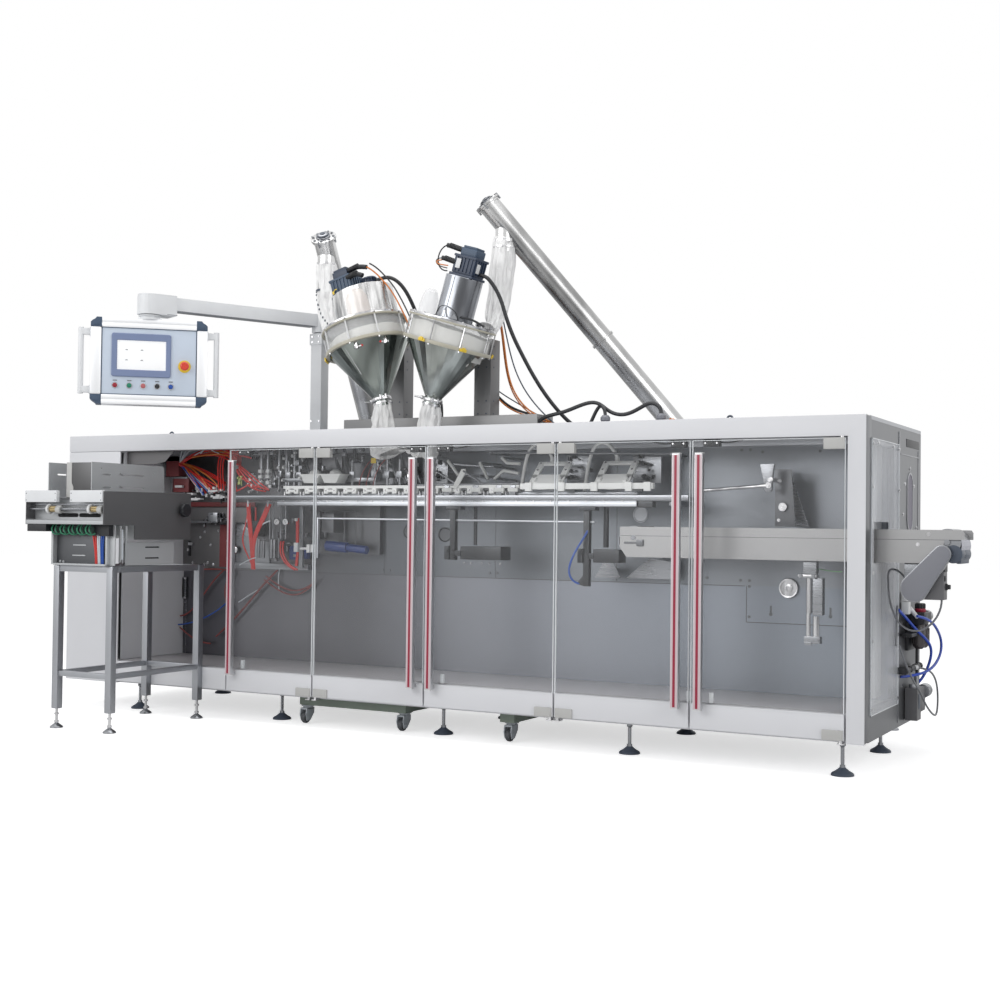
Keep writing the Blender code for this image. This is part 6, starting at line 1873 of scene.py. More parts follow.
# %% Bed, front ledge and the two front blocks
bed = Bench()
bed.box((HEAD_LEFT + 0.004, HEAD_RIGHT - 0.004), (-0.640, HEAD_BACK), (BED - 0.006, BED), 0.001)
bed.box((HEAD_LEFT + 0.004, HEAD_RIGHT - 0.004), (-0.150, -0.146), (BED - 0.185, BED), 0.001)
bed.box((HEAD_LEFT + 0.001, HEAD_RIGHT - 0.004), (HEAD_FRONT, -0.655), (0.948, 0.953), 0.0015)
bed.box((HEAD_LEFT + 0.001, HEAD_RIGHT - 0.004), (HEAD_FRONT, HEAD_FRONT + 0.003),
        (0.932, 0.953), 0.001)
back_slots = [slot_shape((0.596, 0.973), (0.706, 0.973), 0.009),
              slot_shape((0.726, 0.973), (0.842, 0.973), 0.009)]
bed.pierced([(HEAD_LEFT + 0.004, 0.953), (HEAD_RIGHT - 0.004, 0.953),
             (HEAD_RIGHT - 0.004, 1.043), (HEAD_LEFT + 0.004, 1.043)], back_slots, "y",
            -0.640, -0.637)
bed.piece("magazine_bed", MAGAZINE_PALE)
blocks = Bench()
for left, right in ((HEAD_LEFT + 0.002, 0.640), (0.722, HEAD_RIGHT - 0.004)):
    blocks.box((left, right), (HEAD_FRONT - 0.0075, HEAD_FRONT + 0.012), (1.031, HEAD_TOP - 0.001),
               0.003)
blocks.piece("magazine_front_blocks", GRIP_PAINT)
dots = Bench()
for x in (HEAD_LEFT + 0.010, 0.632, 0.730, HEAD_RIGHT - 0.012):
    for z in (1.040, 1.070):
        dots.turned([(0, 0), (0.0032, 0), (0.0028, 0.0006), (0, 0.0007)],
                    (x, HEAD_FRONT - 0.0072, z), (0, -1, 0), 12)
dots.piece("magazine_block_screws", GREY)

# %% [markdown]
# Under the blocks a rod carries two white wheels with knurled brass hubs. The knurl is
# made by turning every second edge of the hub in and out by a fraction of a millimetre.

# %% Rod, wheels and hubs
rod = Bench()
rod.rod((HEAD_LEFT + 0.004, -0.672, 1.000), (HEAD_RIGHT - 0.004, -0.672, 1.000), 0.006, 16)
rod.box((HEAD_LEFT + 0.004, HEAD_RIGHT - 0.004), (-0.668, -0.660), (1.018, 1.024), 0.001)
rod.piece("magazine_wheel_rod", MACHINED)
wheels, hubs, pads = Bench(), Bench(), Bench()
for x in (0.562, 0.815):
    wheels.turned([(0.007, 0), (0.021, 0), (0.022, 0.003), (0.022, 0.009), (0.021, 0.012),
                   (0.007, 0.012)], (x, -0.672, 1.000), (1, 0, 0), 36, True)
    knurl = bmesh.new()
    ring = [[], []]
    for level, depth in ((0, 0.012), (1, 0.052)):
        for step in range(48):
            angle = 2 * math.pi * step / 48
            radius = 0.0135 if step % 2 else 0.0127
            ring[level].append(knurl.verts.new((depth, radius * math.cos(angle),
                                                radius * math.sin(angle))))
    for step in range(48):
        after = (step + 1) % 48
        knurl.faces.new((ring[0][step], ring[0][after], ring[1][after], ring[1][step]))
    for end in ring:
        knurl.faces.new(end)
    bmesh.ops.recalc_face_normals(knurl, faces=knurl.faces)
    knurl.transform(Matrix.Translation((x, -0.672, 1.000)))
    hubs.add(knurl)
    pads.turned([(0.007, 0), (0.017, 0), (0.019, 0.004), (0.019, 0.020), (0.016, 0.026),
                 (0.007, 0.026)], (x + 0.054, -0.672, 0.998), (1, 0, 0), 32, True)
wheels.piece("magazine_wheels", LIGHT)
hubs.piece("magazine_wheel_hubs", BRASS)
pads.piece("magazine_wheel_pads", BONE)

# %% Painted shade in the pocket, belts and the housing under the ledge
# The black boxes under the ledge, with the belt pulleys inside them, are painted shade.
pocket = Bench()
pocket.box((HEAD_LEFT + 0.006, 0.565), (-0.690, -0.600), (0.898, 0.932), 0.003)
pocket.box((0.565, 0.850), (-0.632, -0.600), (0.886, 0.930), 0.002)
pocket.box((0.850, 0.900), (-0.640, -0.600), (0.880, 0.930), 0.002)
pocket.piece("magazine_pocket_painted_shade", BLACK)
belts, pulleys = Bench(), Bench()
for x in (0.588, 0.640, 0.692, 0.744, 0.796):
    belts.curve([(x - 0.012, -0.650, 0.932), (x - 0.010, -0.668, 0.918), (x - 0.006, -0.672, 0.900),
                 (x + 0.002, -0.664, 0.886), (x + 0.012, -0.648, 0.884),
                 (x + 0.018, -0.636, 0.892)],
                0.0036)
    belts.curve([(x + 0.004, -0.650, 0.932), (x + 0.006, -0.664, 0.918), (x + 0.010, -0.668, 0.902),
                 (x + 0.018, -0.660, 0.890)], 0.0028)
    pulleys.rod((x - 0.006, -0.645, 0.908), (x + 0.012, -0.645, 0.908), 0.014, 24, round_by=0.003)
belts.piece("magazine_belts", GREEN)
pulleys.piece("magazine_belt_pulleys", BELT_WHEEL)

# %% [markdown]
# The lower housing is a dark sheet with two bright slots, framed by pale folded sheets
# and a ledge. A few air hoses in red, white and blue come down on its right.

# %% Lower housing
dark = Bench()
dark.box((0.545, 0.860), (-0.604, -0.596), (0.746, 0.886), 0.001)
dark.box((0.546, 0.560), (-0.600, -0.560), (0.746, 0.930), 0.001)
dark.piece("magazine_lower_sheet", DARK_SHEET)
frames = Bench()
frames.box((0.536, 0.548), (-0.628, -0.560), (0.748, 0.931), 0.001)
frames.box((0.868, 0.878), (-0.628, -0.590), (0.748, 0.931), 0.001)
frames.box((0.878, 0.910), (-0.612, -0.606), (0.748, 0.931), 0.001)
frames.box((0.560, 0.878), (-0.640, -0.590), (0.7455, 0.754), 0.0015)
frames.box((0.650, 0.728), (-0.606, -0.603), (0.835, 0.840), 0.0005)
frames.box((0.646, 0.725), (-0.606, -0.603), (0.788, 0.793), 0.0005)
for x, z in ((0.570, 0.762), (0.590, 0.760), (0.800, 0.884), (0.830, 0.884)):
    frames.bolt((x, -0.604, z), (0, -1, 0), 0.004, 0.004)
frames.box((0.906, 0.914), (-0.583, -0.574), (0.763, 0.927), 0.001)
frames.box((0.906, 0.914), (-0.548, -0.538), (0.763, 0.927), 0.001)
frames.piece("magazine_lower_frame", MAGAZINE_PALE)
reds, whites, blues = Bench(), Bench(), Bench()
for group, x, tilt in ((reds, 0.796, 0.010), (reds, 0.806, 0.006), (whites, 0.817, 0.004),
                       (whites, 0.826, 0.002), (blues, 0.838, 0.0), (blues, 0.848, -0.002)):
    group.curve([(x - tilt, -0.618, 0.880), (x, -0.622, 0.850), (x + tilt, -0.620, 0.800),
                 (x + tilt * 0.5, -0.616, 0.755)], 0.0042)
reds.piece("magazine_red_hoses", RED)
whites.piece("magazine_white_hoses", PALE_HOSE)
blues.piece("magazine_blue_hoses", BLUE)
tail = Bench()
for y in (-0.572, -0.566, -0.560):
    tail.curve([(0.905, y, 0.910), (0.909, y - 0.002, 0.870), (0.905, y + 0.002, 0.820),
                (0.909, y, 0.775)], 0.0030)
tail.piece("magazine_gap_hoses", PALE_HOSE)
side = Bench()
side.pierced([(-0.536, 0.748), (-0.217, 0.748), (-0.217, 0.852), (-0.520, 0.852),
              (-0.536, 0.846)],
             [slot_shape((-0.406, 0.830), (-0.318, 0.830), 0.0032),
              slot_shape((-0.406, 0.780), (-0.318, 0.780), 0.0032)], "x", 0.898, 0.902)
side.box((0.860, 0.898), (-0.532, -0.221), (0.748, 0.751), 0.001)
side.box((0.860, 0.898), (-0.532, -0.221), (0.849, 0.852), 0.001)
side.piece("magazine_side_cover", MAGAZINE_PALE)
# A black box inside the side cover's channel, seen through its slots, is painted shade.
gap = Bench()
gap.box((0.880, 0.892), (-0.525, -0.228), (0.752, 0.848), 0.001)
gap.piece("magazine_side_painted_shade", BLACK)

# %% [markdown]
# ## Guides
# Two upright guides and a stop plate stand on the bed. The right one shows two pairs of
# slots with a kink where the clamp screws sit.

# %% Guide plates
(GUIDE_LEFT, GUIDE_RIGHT), (GUIDE_FRONT, GUIDE_BACK), (GUIDE_LOW, GUIDE_TOP) = \
    limits("infeed_guides")
guides = Bench()
outline = [(GUIDE_FRONT, GUIDE_LOW), (GUIDE_BACK, GUIDE_LOW), (GUIDE_BACK, GUIDE_TOP - 0.010),
           (GUIDE_BACK - 0.008, GUIDE_TOP - 0.001), (GUIDE_FRONT, GUIDE_TOP)]
holes = []
for z in (1.159, 1.100):
    holes.append(slot_shape((-0.582, z), (-0.541, z), 0.0035))
    holes.append([(-0.486, z + 0.005), (-0.474, z - 0.001), (-0.326, z - 0.001),
                  (-0.322, z + 0.003), (-0.326, z + 0.006), (-0.470, z + 0.006),
                  (-0.478, z + 0.012)])
holes += [round_hole(-0.595, 1.185, 0.0035), round_hole(-0.252, 1.180, 0.0040),
          round_hole(-0.264, 1.166, 0.0025)]
guides.pierced(outline, holes, "x", GUIDE_RIGHT - 0.004, GUIDE_RIGHT)
guides.pierced(outline, [slot_shape((-0.600, 1.160), (-0.550, 1.160), 0.0035),
                         slot_shape((-0.500, 1.160), (-0.330, 1.160), 0.0035)],
               "x", GUIDE_LEFT, GUIDE_LEFT + 0.004)
guides.box((GUIDE_LEFT, GUIDE_RIGHT), (GUIDE_FRONT, GUIDE_BACK), (GUIDE_LOW, GUIDE_LOW + 0.004),
           0.001)
guides.box((GUIDE_RIGHT - 0.002, GUIDE_RIGHT + 0.0), (-0.215, -0.200), (GUIDE_LOW, 1.090), 0.001)
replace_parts(guides.piece("magazine_guides", MAGAZINE_PALE), "infeed_guides")
stops = Bench()
stops.plate([(0.652, GUIDE_LOW), (0.652, GUIDE_TOP - 0.001), (0.683, GUIDE_TOP - 0.001),
             (0.683, 1.120), (0.694, 1.100), (0.694, GUIDE_LOW)], "y",
            GUIDE_FRONT, GUIDE_FRONT + 0.004, 0.001)
stops.piece("magazine_stop_plate", BONE)
# A dark sheet in the guides' front plane, right of the stop plate, is painted shade.
shade = Bench()
shade.box((0.684, GUIDE_RIGHT - 0.005), (GUIDE_FRONT + 0.001, GUIDE_FRONT + 0.004),
          (GUIDE_LOW + 0.004, GUIDE_TOP - 0.002), 0.001)
shade.piece("magazine_stop_painted_shade", MAGAZINE_SHADE)

# %% [markdown]
# ## Stand and hand knob
# The stand's tubes end short of the floor, and a threaded rod in each carries a round
# foot. Its knob is a black moulding with finger dents around its rim.

# %% Square tube stand
stand, studs, feet = Bench(), Bench(), Bench()
STAND_X = (limits("infeed_stand")[0][0] + 0.030, limits("infeed_stand")[0][1] - 0.030)
STAND_FRONT, STAND_BACK = -0.600, -0.0148
for x in STAND_X:
    for y in (STAND_FRONT, STAND_BACK):
        stand.box((x - 0.0175, x + 0.0175), (y - 0.0175, y + 0.0175), (0.088, 0.744), 0.004)
        studs.rod((x, y, 0.024), (x, y, 0.090), 0.006, 14)
        studs.rod((x, y, 0.060), (x, y, 0.068), 0.011, 6)
        studs.rod((x, y, 0.026), (x, y, 0.034), 0.011, 6)
        feet.turned([(0, 0), (0.029, 0), (0.030, 0.003), (0.027, 0.008), (0.016, 0.016),
                     (0.009, 0.021), (0.008, 0.027), (0, 0.027)], (x, y, 0), (0, 0, 1), 32)
for low, high, half in ((0.238, 0.262, 0.012), (0.716, 0.744, 0.014)):
    for y in (STAND_FRONT, STAND_BACK):
        stand.box((STAND_X[0] + 0.017, STAND_X[1] - 0.017), (y - half, y + half), (low, high),
                  0.002)
    for x in STAND_X:
        stand.box((x - half, x + half), (STAND_FRONT + 0.017, STAND_BACK - 0.017), (low, high),
                  0.002)
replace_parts(stand.piece("magazine_stand", LEG_STEEL), "infeed_stand")
studs.piece("magazine_stand_studs", CHROME)
feet.piece("magazine_stand_feet", FOOT_STEEL)
caps = Bench()
for x in STAND_X:
    caps.box((x - 0.016, x + 0.016), (STAND_BACK - 0.016, STAND_BACK + 0.016), (0.738, 0.745),
             0.003)
caps.piece("magazine_stand_caps", BLACK)

# %% Knob
(knob_in, _), (knob_y0, knob_y1), (knob_z0, knob_z1) = limits("infeed_knob")
middle = (0, (knob_y0 + knob_y1) / 2, (knob_z0 + knob_z1) / 2)
KNOB_RADIUS = (knob_y1 - knob_y0) / 2
knob = bmesh.new()
rings = []
for depth, share, dent in ((0.010, 0.55, 0), (0.012, 0.93, 0.6), (0.016, 1.0, 1), (0.028, 1.0, 1),
                           (0.034, 0.93, 0.7), (0.036, 0.60, 0), (0.034, 0.30, 0)):
    row = []
    for step in range(64):
        angle = 2 * math.pi * step / 64
        wave = 0.5 + 0.5 * math.cos(8 * angle)
        radius = KNOB_RADIUS * share * (1 - 0.07 * dent * wave ** 3)
        row.append(knob.verts.new((knob_in + depth, middle[1] + radius * math.cos(angle),
                                   middle[2] + radius * math.sin(angle))))
    rings.append(row)
for first, second in zip(rings, rings[1:]):
    for step in range(64):
        after = (step + 1) % 64
        knob.faces.new((first[step], first[after], second[after], second[step]))
knob.faces.new(rings[0])
knob.faces.new(rings[-1])
bmesh.ops.recalc_face_normals(knob, faces=knob.faces)
hand = Bench()
hand.add(knob)
hand.rod((knob_in, middle[1], middle[2]), (knob_in + 0.012, middle[1], middle[2]), 0.014, 24)
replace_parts(hand.piece("magazine_hand_knob", BLACK, "infeed_knob"), "infeed_knob")

# %% [markdown]
# ## The operator's panel
# The panel is a housing of aluminium extrusions: two long ones with a groove along
# their front, two upright ones, and moulded caps that close the corners. Building it
# from those four bars, and not from one box, gives the joints and lips that are seen.
# It hangs turned towards the operator, so its pieces are made in its own frame.

# %% Extrusions and corner caps
NECK, PANEL_TURN, PANEL_TALL = (0.870, -0.368), math.radians(42.5), 0.400
PANEL_TOP = limits("panel_arm")[2][0] - 0.020
PANEL_HALF, PANEL_DEEP, PANEL_BAR = 0.2625, 0.0425, 0.046
PANEL_LOW = PANEL_TOP - PANEL_TALL
hang = Matrix.Translation((*NECK, 0)) @ Matrix.Rotation(PANEL_TURN, 4, "Z")
inner = PANEL_HALF - 0.050
bars = Bench(hang)
for low, high in ((PANEL_LOW, PANEL_LOW + PANEL_BAR), (PANEL_TOP - PANEL_BAR, PANEL_TOP)):
    middle = (low + high) / 2
    for start, end in ((low, middle - 0.0015), (middle + 0.0015, high)):
        bars.box((-inner, inner), (-PANEL_DEEP, PANEL_DEEP), (start, end), 0.006)
    bars.box((-inner, inner), (-PANEL_DEEP + 0.003, PANEL_DEEP - 0.003),
             (low + 0.004, high - 0.004))
for side in (-1, 1):
    near, far = sorted((side * (inner + 0.001), side * PANEL_HALF))
    bars.box((near, far), (-PANEL_DEEP + 0.002, PANEL_DEEP - 0.002),
             (PANEL_LOW + 0.044, PANEL_TOP - 0.044), 0.010)
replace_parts(bars.piece("panel_extrusions", PANEL_METAL, "operator_panel"), "operator_panel")
corners = Bench(hang)
for side in (-1, 1):
    for level, way in ((PANEL_TOP, -1), (PANEL_LOW, 1)):
        outline = [(side * inner, level), (side * (inner + 0.024), level),
                   (side * (inner + 0.029), level + way * 0.008),
                   (side * (inner + 0.043), level + way * 0.017),
                   (side * PANEL_HALF, level + way * 0.024),
                   (side * PANEL_HALF, level + way * 0.044), (side * inner, level + way * 0.044)]
        corners.plate(outline, "y", -PANEL_DEEP - 0.001, PANEL_DEEP + 0.001, 0.003)
        middle = side * (inner + 0.024)
        corners.box((middle - 0.016, middle + 0.016), (-PANEL_DEEP - 0.003, -PANEL_DEEP),
                    tuple(sorted((level + way * 0.014, level + way * 0.036))), 0.002)
corners.piece("panel_corner_caps", SLATE, "operator_panel")

# %% [markdown]
# The face is a blue-grey plate set a few millimetres behind the lips of the bars, with
# a dark gasket around it. Behind, a plain cover with screws closes the housing.

# %% Face, gasket and back cover
face = Bench(hang)
face.box((-inner, inner), (-PANEL_DEEP + 0.004, -PANEL_DEEP + 0.010),
         (PANEL_LOW + 0.045, PANEL_TOP - 0.045), 0.001)
face.piece("panel_face", FACE, "operator_panel")
gasket = Bench(hang)
for z in (PANEL_LOW + PANEL_BAR + 0.001, PANEL_TOP - PANEL_BAR - 0.001):
    gasket.box((-inner, inner), (-PANEL_DEEP + 0.001, -PANEL_DEEP + 0.005),
               (z - 0.0016, z + 0.0016), 0.0006)
for side in (-1, 1):
    gasket.box(tuple(sorted((side * (inner - 0.002), side * (inner + 0.001)))),
               (-PANEL_DEEP + 0.002, -PANEL_DEEP + 0.005),
               (PANEL_LOW + 0.046, PANEL_TOP - 0.046), 0.0006)
gasket.piece("panel_gasket", SLATE, "operator_panel")
cover = Bench(hang)
cover.box((-inner, inner), (PANEL_DEEP - 0.010, PANEL_DEEP - 0.004),
          (PANEL_LOW + 0.045, PANEL_TOP - 0.045), 0.001)
cover.box((-inner + 0.020, inner - 0.020), (PANEL_DEEP - 0.006, PANEL_DEEP - 0.001),
          (PANEL_LOW + 0.064, PANEL_TOP - 0.064), 0.002)
for x in (-0.18, 0.0, 0.18):
    for z in (PANEL_LOW + 0.075, PANEL_TOP - 0.075):
        cover.bolt((x, PANEL_DEEP - 0.001, z), (0, 1, 0), 0.004, 0.003)
cover.piece("panel_back_cover", PANEL_METAL, "operator_panel")

# %% [markdown]
# ## The display
# The touch screen is a moulded frame that slopes in to a lit white picture. The real
# one shows a menu with words; here it shows four plain grey marks and nothing to read.


# %% Display frame, screen and marks
def rounded(x, z, radius, steps=5):
    """The outline of a rectangle with round corners, in x and z."""
    outline = []
    for (cx, cz), start in (((x[1] - radius, z[1] - radius), 0),
                            ((x[0] + radius, z[1] - radius), 90),
                            ((x[0] + radius, z[0] + radius), 180),
                            ((x[1] - radius, z[0] + radius), 270)):
        for step in range(steps + 1):
            angle = math.radians(start + 90 * step / steps)
            outline.append((cx + radius * math.cos(angle), cz + radius * math.sin(angle)))
    return outline


front = -PANEL_DEEP + 0.004
bezel = Bench(hang)
ring = bmesh.new()
rows = []
for (x, z, radius), y in ((((-0.169, 0.097), (1.614, 1.814), 0.010), front),
                          (((-0.169, 0.097), (1.614, 1.814), 0.010), front - 0.007),
                          (((-0.166, 0.094), (1.617, 1.811), 0.009), front - 0.010),
                          (((-0.146, 0.077), (1.644, 1.784), 0.004), front - 0.009),
                          (((-0.143, 0.074), (1.647, 1.781), 0.002), front - 0.004)):
    rows.append([ring.verts.new((a, y, b)) for a, b in rounded(x, z, radius)])
for first, second in zip(rows, rows[1:]):
    for index in range(len(first)):
        after = (index + 1) % len(first)
        ring.faces.new((first[index], first[after], second[after], second[index]))
bmesh.ops.recalc_face_normals(ring, faces=ring.faces)
bezel.add(ring)
bezel.piece("display_frame", BEZEL, "operator_panel", 25)
screen = Bench(hang)
screen.box((-0.1435, 0.0745), (front - 0.005, front), (1.6465, 1.7815), 0.0005)
screen.piece("display_screen", SCREEN, "operator_panel")
marks = Bench(hang)
for x in (-0.1015, -0.0334):
    for z in (1.736, 1.689):
        marks.box((x - 0.006, x + 0.006), (front - 0.0056, front - 0.0048), (z, z + 0.0022))
        marks.box((x - 0.004, x + 0.004), (front - 0.0056, front - 0.0048),
                  (z + 0.0030, z + 0.0046))
marks.piece("display_marks", GREY, "operator_panel")

# %% [markdown]
# ## Buttons
# Five small buttons stand in bright rings under the screen, and the stop button stands
# on a yellow plate to its right. Each is a turned profile, because the domed heads and
# the undercut of the mushroom are what tell them apart. The label plates stay blank.

# %% Stop button
stop = Bench(hang)
stop.turned([(0, 0), (0.029, 0), (0.029, 0.002), (0.027, 0.005), (0.018, 0.006), (0, 0.006)],
            (0.159, front, 1.670), FRONTWARD, 40)
stop.piece("stop_button_ring", YELLOW, "operator_panel")
mushroom = Bench(hang)
mushroom.turned([(0, 0.005), (0.011, 0.005), (0.011, 0.018), (0.019, 0.021), (0.0205, 0.026),
                 (0.019, 0.031), (0.013, 0.034), (0.0115, 0.0325), (0, 0.0325)],
                (0.159, front, 1.670), FRONTWARD, 40)
mushroom.piece("stop_button_head", MUSHROOM, "operator_panel")

# %% Five small buttons with rings and blank labels
rings, labels, black = Bench(hang), Bench(hang), Bench(hang)
BUTTONS = ((-0.152, BUTTON_RED, "red"), (-0.088, BUTTON_GREEN, "green"),
           (-0.026, BUTTON_PINK, "pale_red"), (0.037, None, "black"), (0.098, BUTTON_BLUE, "blue"))
for x, finish, name in BUTTONS:
    rings.turned([(0, 0), (0.0150, 0), (0.0150, 0.003), (0.0135, 0.006), (0.0115, 0.006),
                  (0.0110, 0.002), (0, 0.002)], (x, front, 1.573), FRONTWARD, 32)
    labels.box((x - 0.0095, x + 0.0095), (front - 0.0012, front), (1.5935, 1.5985), 0.0005)
    if finish:
        head = Bench(hang)
        head.turned([(0, 0.001), (0.0108, 0.001), (0.0108, 0.010), (0.0092, 0.0125),
                     (0.005, 0.0135), (0, 0.0137)], (x, front, 1.573), FRONTWARD, 28)
        head.piece(f"button_{name}", finish, "operator_panel")
    else:
        black.turned([(0, 0.001), (0.0108, 0.001), (0.0108, 0.008), (0, 0.008)],
                     (x, front, 1.573), FRONTWARD, 28)
        black.box((x - 0.0030, x + 0.0030), (front - 0.020, front - 0.006), (1.5635, 1.5825),
                  0.002, Matrix.Rotation(math.radians(28), 4, "Y"))
rings.piece("button_rings", CHROME, "operator_panel")
labels.piece("button_labels", GREY, "operator_panel")
black.piece("selector_switch", BLACK, "operator_panel")

# %% [markdown]
# ## Grips and neck
# A white grip stands off each side on two cast arms, so that the operator can swing the
# panel. The neck above is a pair of flanges with screws around them.

# %% Grips
grips = Bench(hang)
for side in (-1, 1):
    x = side * (PANEL_HALF + 0.0425)
    grips.rod((x, -0.010, PANEL_LOW + 0.047), (x, -0.010, PANEL_TOP - 0.047), 0.0125, 24,
              round_by=0.003)
    for low in (PANEL_LOW + 0.050, PANEL_TOP - 0.084):
        arm = [(side * (PANEL_HALF - 0.004), low), (side * (PANEL_HALF + 0.040), low + 0.003),
               (side * (PANEL_HALF + 0.040), low + 0.031),
               (side * (PANEL_HALF - 0.004), low + 0.034)]
        grips.plate(arm, "y", -0.021, 0.001, 0.004)
        face_x = sorted((side * (PANEL_HALF - 0.002), side * (PANEL_HALF + 0.004)))
        grips.box(tuple(face_x), (-0.026, 0.006), (low - 0.003, low + 0.037), 0.002)
grips.piece("panel_grips", GRIP_PAINT, "operator_panel")
neck = Bench(hang)
ceiling = limits("panel_arm")[2][0] - 0.0004
neck.turned([(0, PANEL_TOP - 0.002), (0.056, PANEL_TOP - 0.002), (0.056, PANEL_TOP + 0.005),
             (0.045, PANEL_TOP + 0.008), (0.045, ceiling - 0.006), (0.052, ceiling - 0.004),
             (0.052, ceiling), (0, ceiling)], sides=48)
for step in range(6):
    angle = math.radians(60 * step + 15)
    neck.bolt((0.0505 * math.cos(angle), 0.0505 * math.sin(angle), PANEL_TOP + 0.004),
              (0, 0, 1), 0.0022, 0.003)
neck.piece("panel_neck", GRIP_PAINT, "operator_panel")

# %% [markdown]
# ## The arm and its post
# The arm is a rectangular tube with a cast elbow that carries the neck. The elbow's
# front is round, so its plan is drawn as an outline and pushed upwards. A dark strip
# along the tube's lower edge and under the elbow is painted shade.

# %% Arm
POST = (1.249, 0.450)
reach = Vector((NECK[0] - POST[0], NECK[1] - POST[1], 0))
swing = Matrix.Translation((*POST, 0)) @ Matrix.Rotation(math.atan2(reach.y, reach.x), 4, "Z")
length = reach.length
ARM_HIGH = limits("panel_arm")[2][1]
arm = Bench(swing)
arm.box((0.025, length - 0.080), (-0.030, 0.030), (ARM_HIGH - 0.068, ARM_HIGH - 0.005), 0.005)
plan = [(length - 0.110, -0.056)]
for step in range(13):
    angle = math.radians(-90 + 180 * step / 12)
    plan.append((length + 0.002 + 0.0575 * math.cos(angle), 0.056 * math.sin(angle)))
plan.append((length - 0.110, 0.056))
ELBOW = ARM_HIGH - 0.096
arm.plate(plan, "z", ELBOW + 0.0005, ARM_HIGH - 0.008, 0.003)
lid = [(length - 0.058 + (x - length + 0.058) * 0.985, y * 0.965) for x, y in plan]
arm.plate(lid, "z", ARM_HIGH - 0.009, ARM_HIGH - 0.001, 0.002)
arm.rod((0, 0, ELBOW + 0.0005), (0, 0, ARM_HIGH - 0.010), 0.042, 32, round_by=0.002)
arm.rod((0, 0, ARM_HIGH - 0.012), (0, 0, ARM_HIGH - 0.001), 0.038, 32, round_by=0.004)
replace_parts(arm.piece("swing_arm", GRIP_PAINT, "panel_arm", 25), "panel_arm")
# The dark strips along the tube's lower edge and under the elbow are painted shade.
strip = Bench(swing)
strip.box((0.045, length - 0.110), (-0.0306, 0.0306), (ARM_HIGH - 0.0695, ARM_HIGH - 0.0665),
          0.001)
strip.box((length - 0.1105, length - 0.060), (-0.0563, 0.0563), (ELBOW + 0.002, ELBOW + 0.005),
          0.001)
strip.piece("swing_arm_painted_shade", GREY, "panel_arm")

# %% Post with its collar and foot
post = Bench()
(px0, px1), (py0, py1), (foot, head) = limits("panel_post")
post.box((POST[0] - 0.033, POST[0] + 0.033), (POST[1] - 0.033, POST[1] + 0.033),
         (foot + 0.002, head - 0.012), 0.008)
post.box((POST[0] - 0.038, POST[0] + 0.038), (POST[1] - 0.038, POST[1] + 0.038),
         (head - 0.060, head - 0.003), 0.006)
post.rod((*POST, head - 0.008), (*POST, head), 0.032, 32)
post.box((px0, px1), (py0, py1), (foot, foot + 0.012), 0.002)
post.box((px0 + 0.004, px1 - 0.004), (py0 + 0.004, py1 - 0.004), (foot + 0.010, foot + 0.096),
         0.004)
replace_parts(post.piece("swing_arm_post", GRIP_PAINT), "panel_post")
screws = Bench()
for x in (px0 + 0.012, px1 - 0.012):
    for z in (foot + 0.030, foot + 0.078):
        screws.bolt((x, py0 + 0.004, z), (0, -1, 0), 0.004, 0.004)
for z in (head - 0.045, head - 0.018):
    screws.bolt((POST[0] - 0.020, POST[1] - 0.038, z), (0, -1, 0), 0.003, 0.003)
    screws.bolt((POST[0] + 0.020, POST[1] - 0.038, z), (0, -1, 0), 0.003, 0.003)
screws.piece("swing_arm_post_screws", CHROME)

# %% [markdown]
# ## Fabric sleeves, made of cloth
# Four sleeves keep the powder's dust in: one from each screw conveyor's spout down to
# its filler, and one round each outlet, gathered under the clamp. A tube that is only
# modelled looks like plastic. So each starts as a tube of rings along its route, with
# its ends pinned, and the cloth solver lets the fabric grow and sag, twice as freely
# where it is gathered as where it hangs. The extra length has to go somewhere, and it
# goes into folds.

# %% A tube of cloth along a route
ALONG, ROUND = 60, 72


def on_route(points, share):
    """A point on a smooth route through the given points (Catmull-Rom)."""
    points = [Vector(point) for point in points]
    place = min(share * (len(points) - 1), len(points) - 1.0001)
    index, part = int(place), place - int(place)
    before, start = points[max(index - 1, 0)], points[index]
    end, after = points[index + 1], points[min(index + 2, len(points) - 1)]
    return 0.5 * ((2 * start) + (end - before) * part
                  + (2 * before - 5 * start + 4 * end - after) * part ** 2
                  + (3 * start - before - 3 * end + after) * part ** 3)


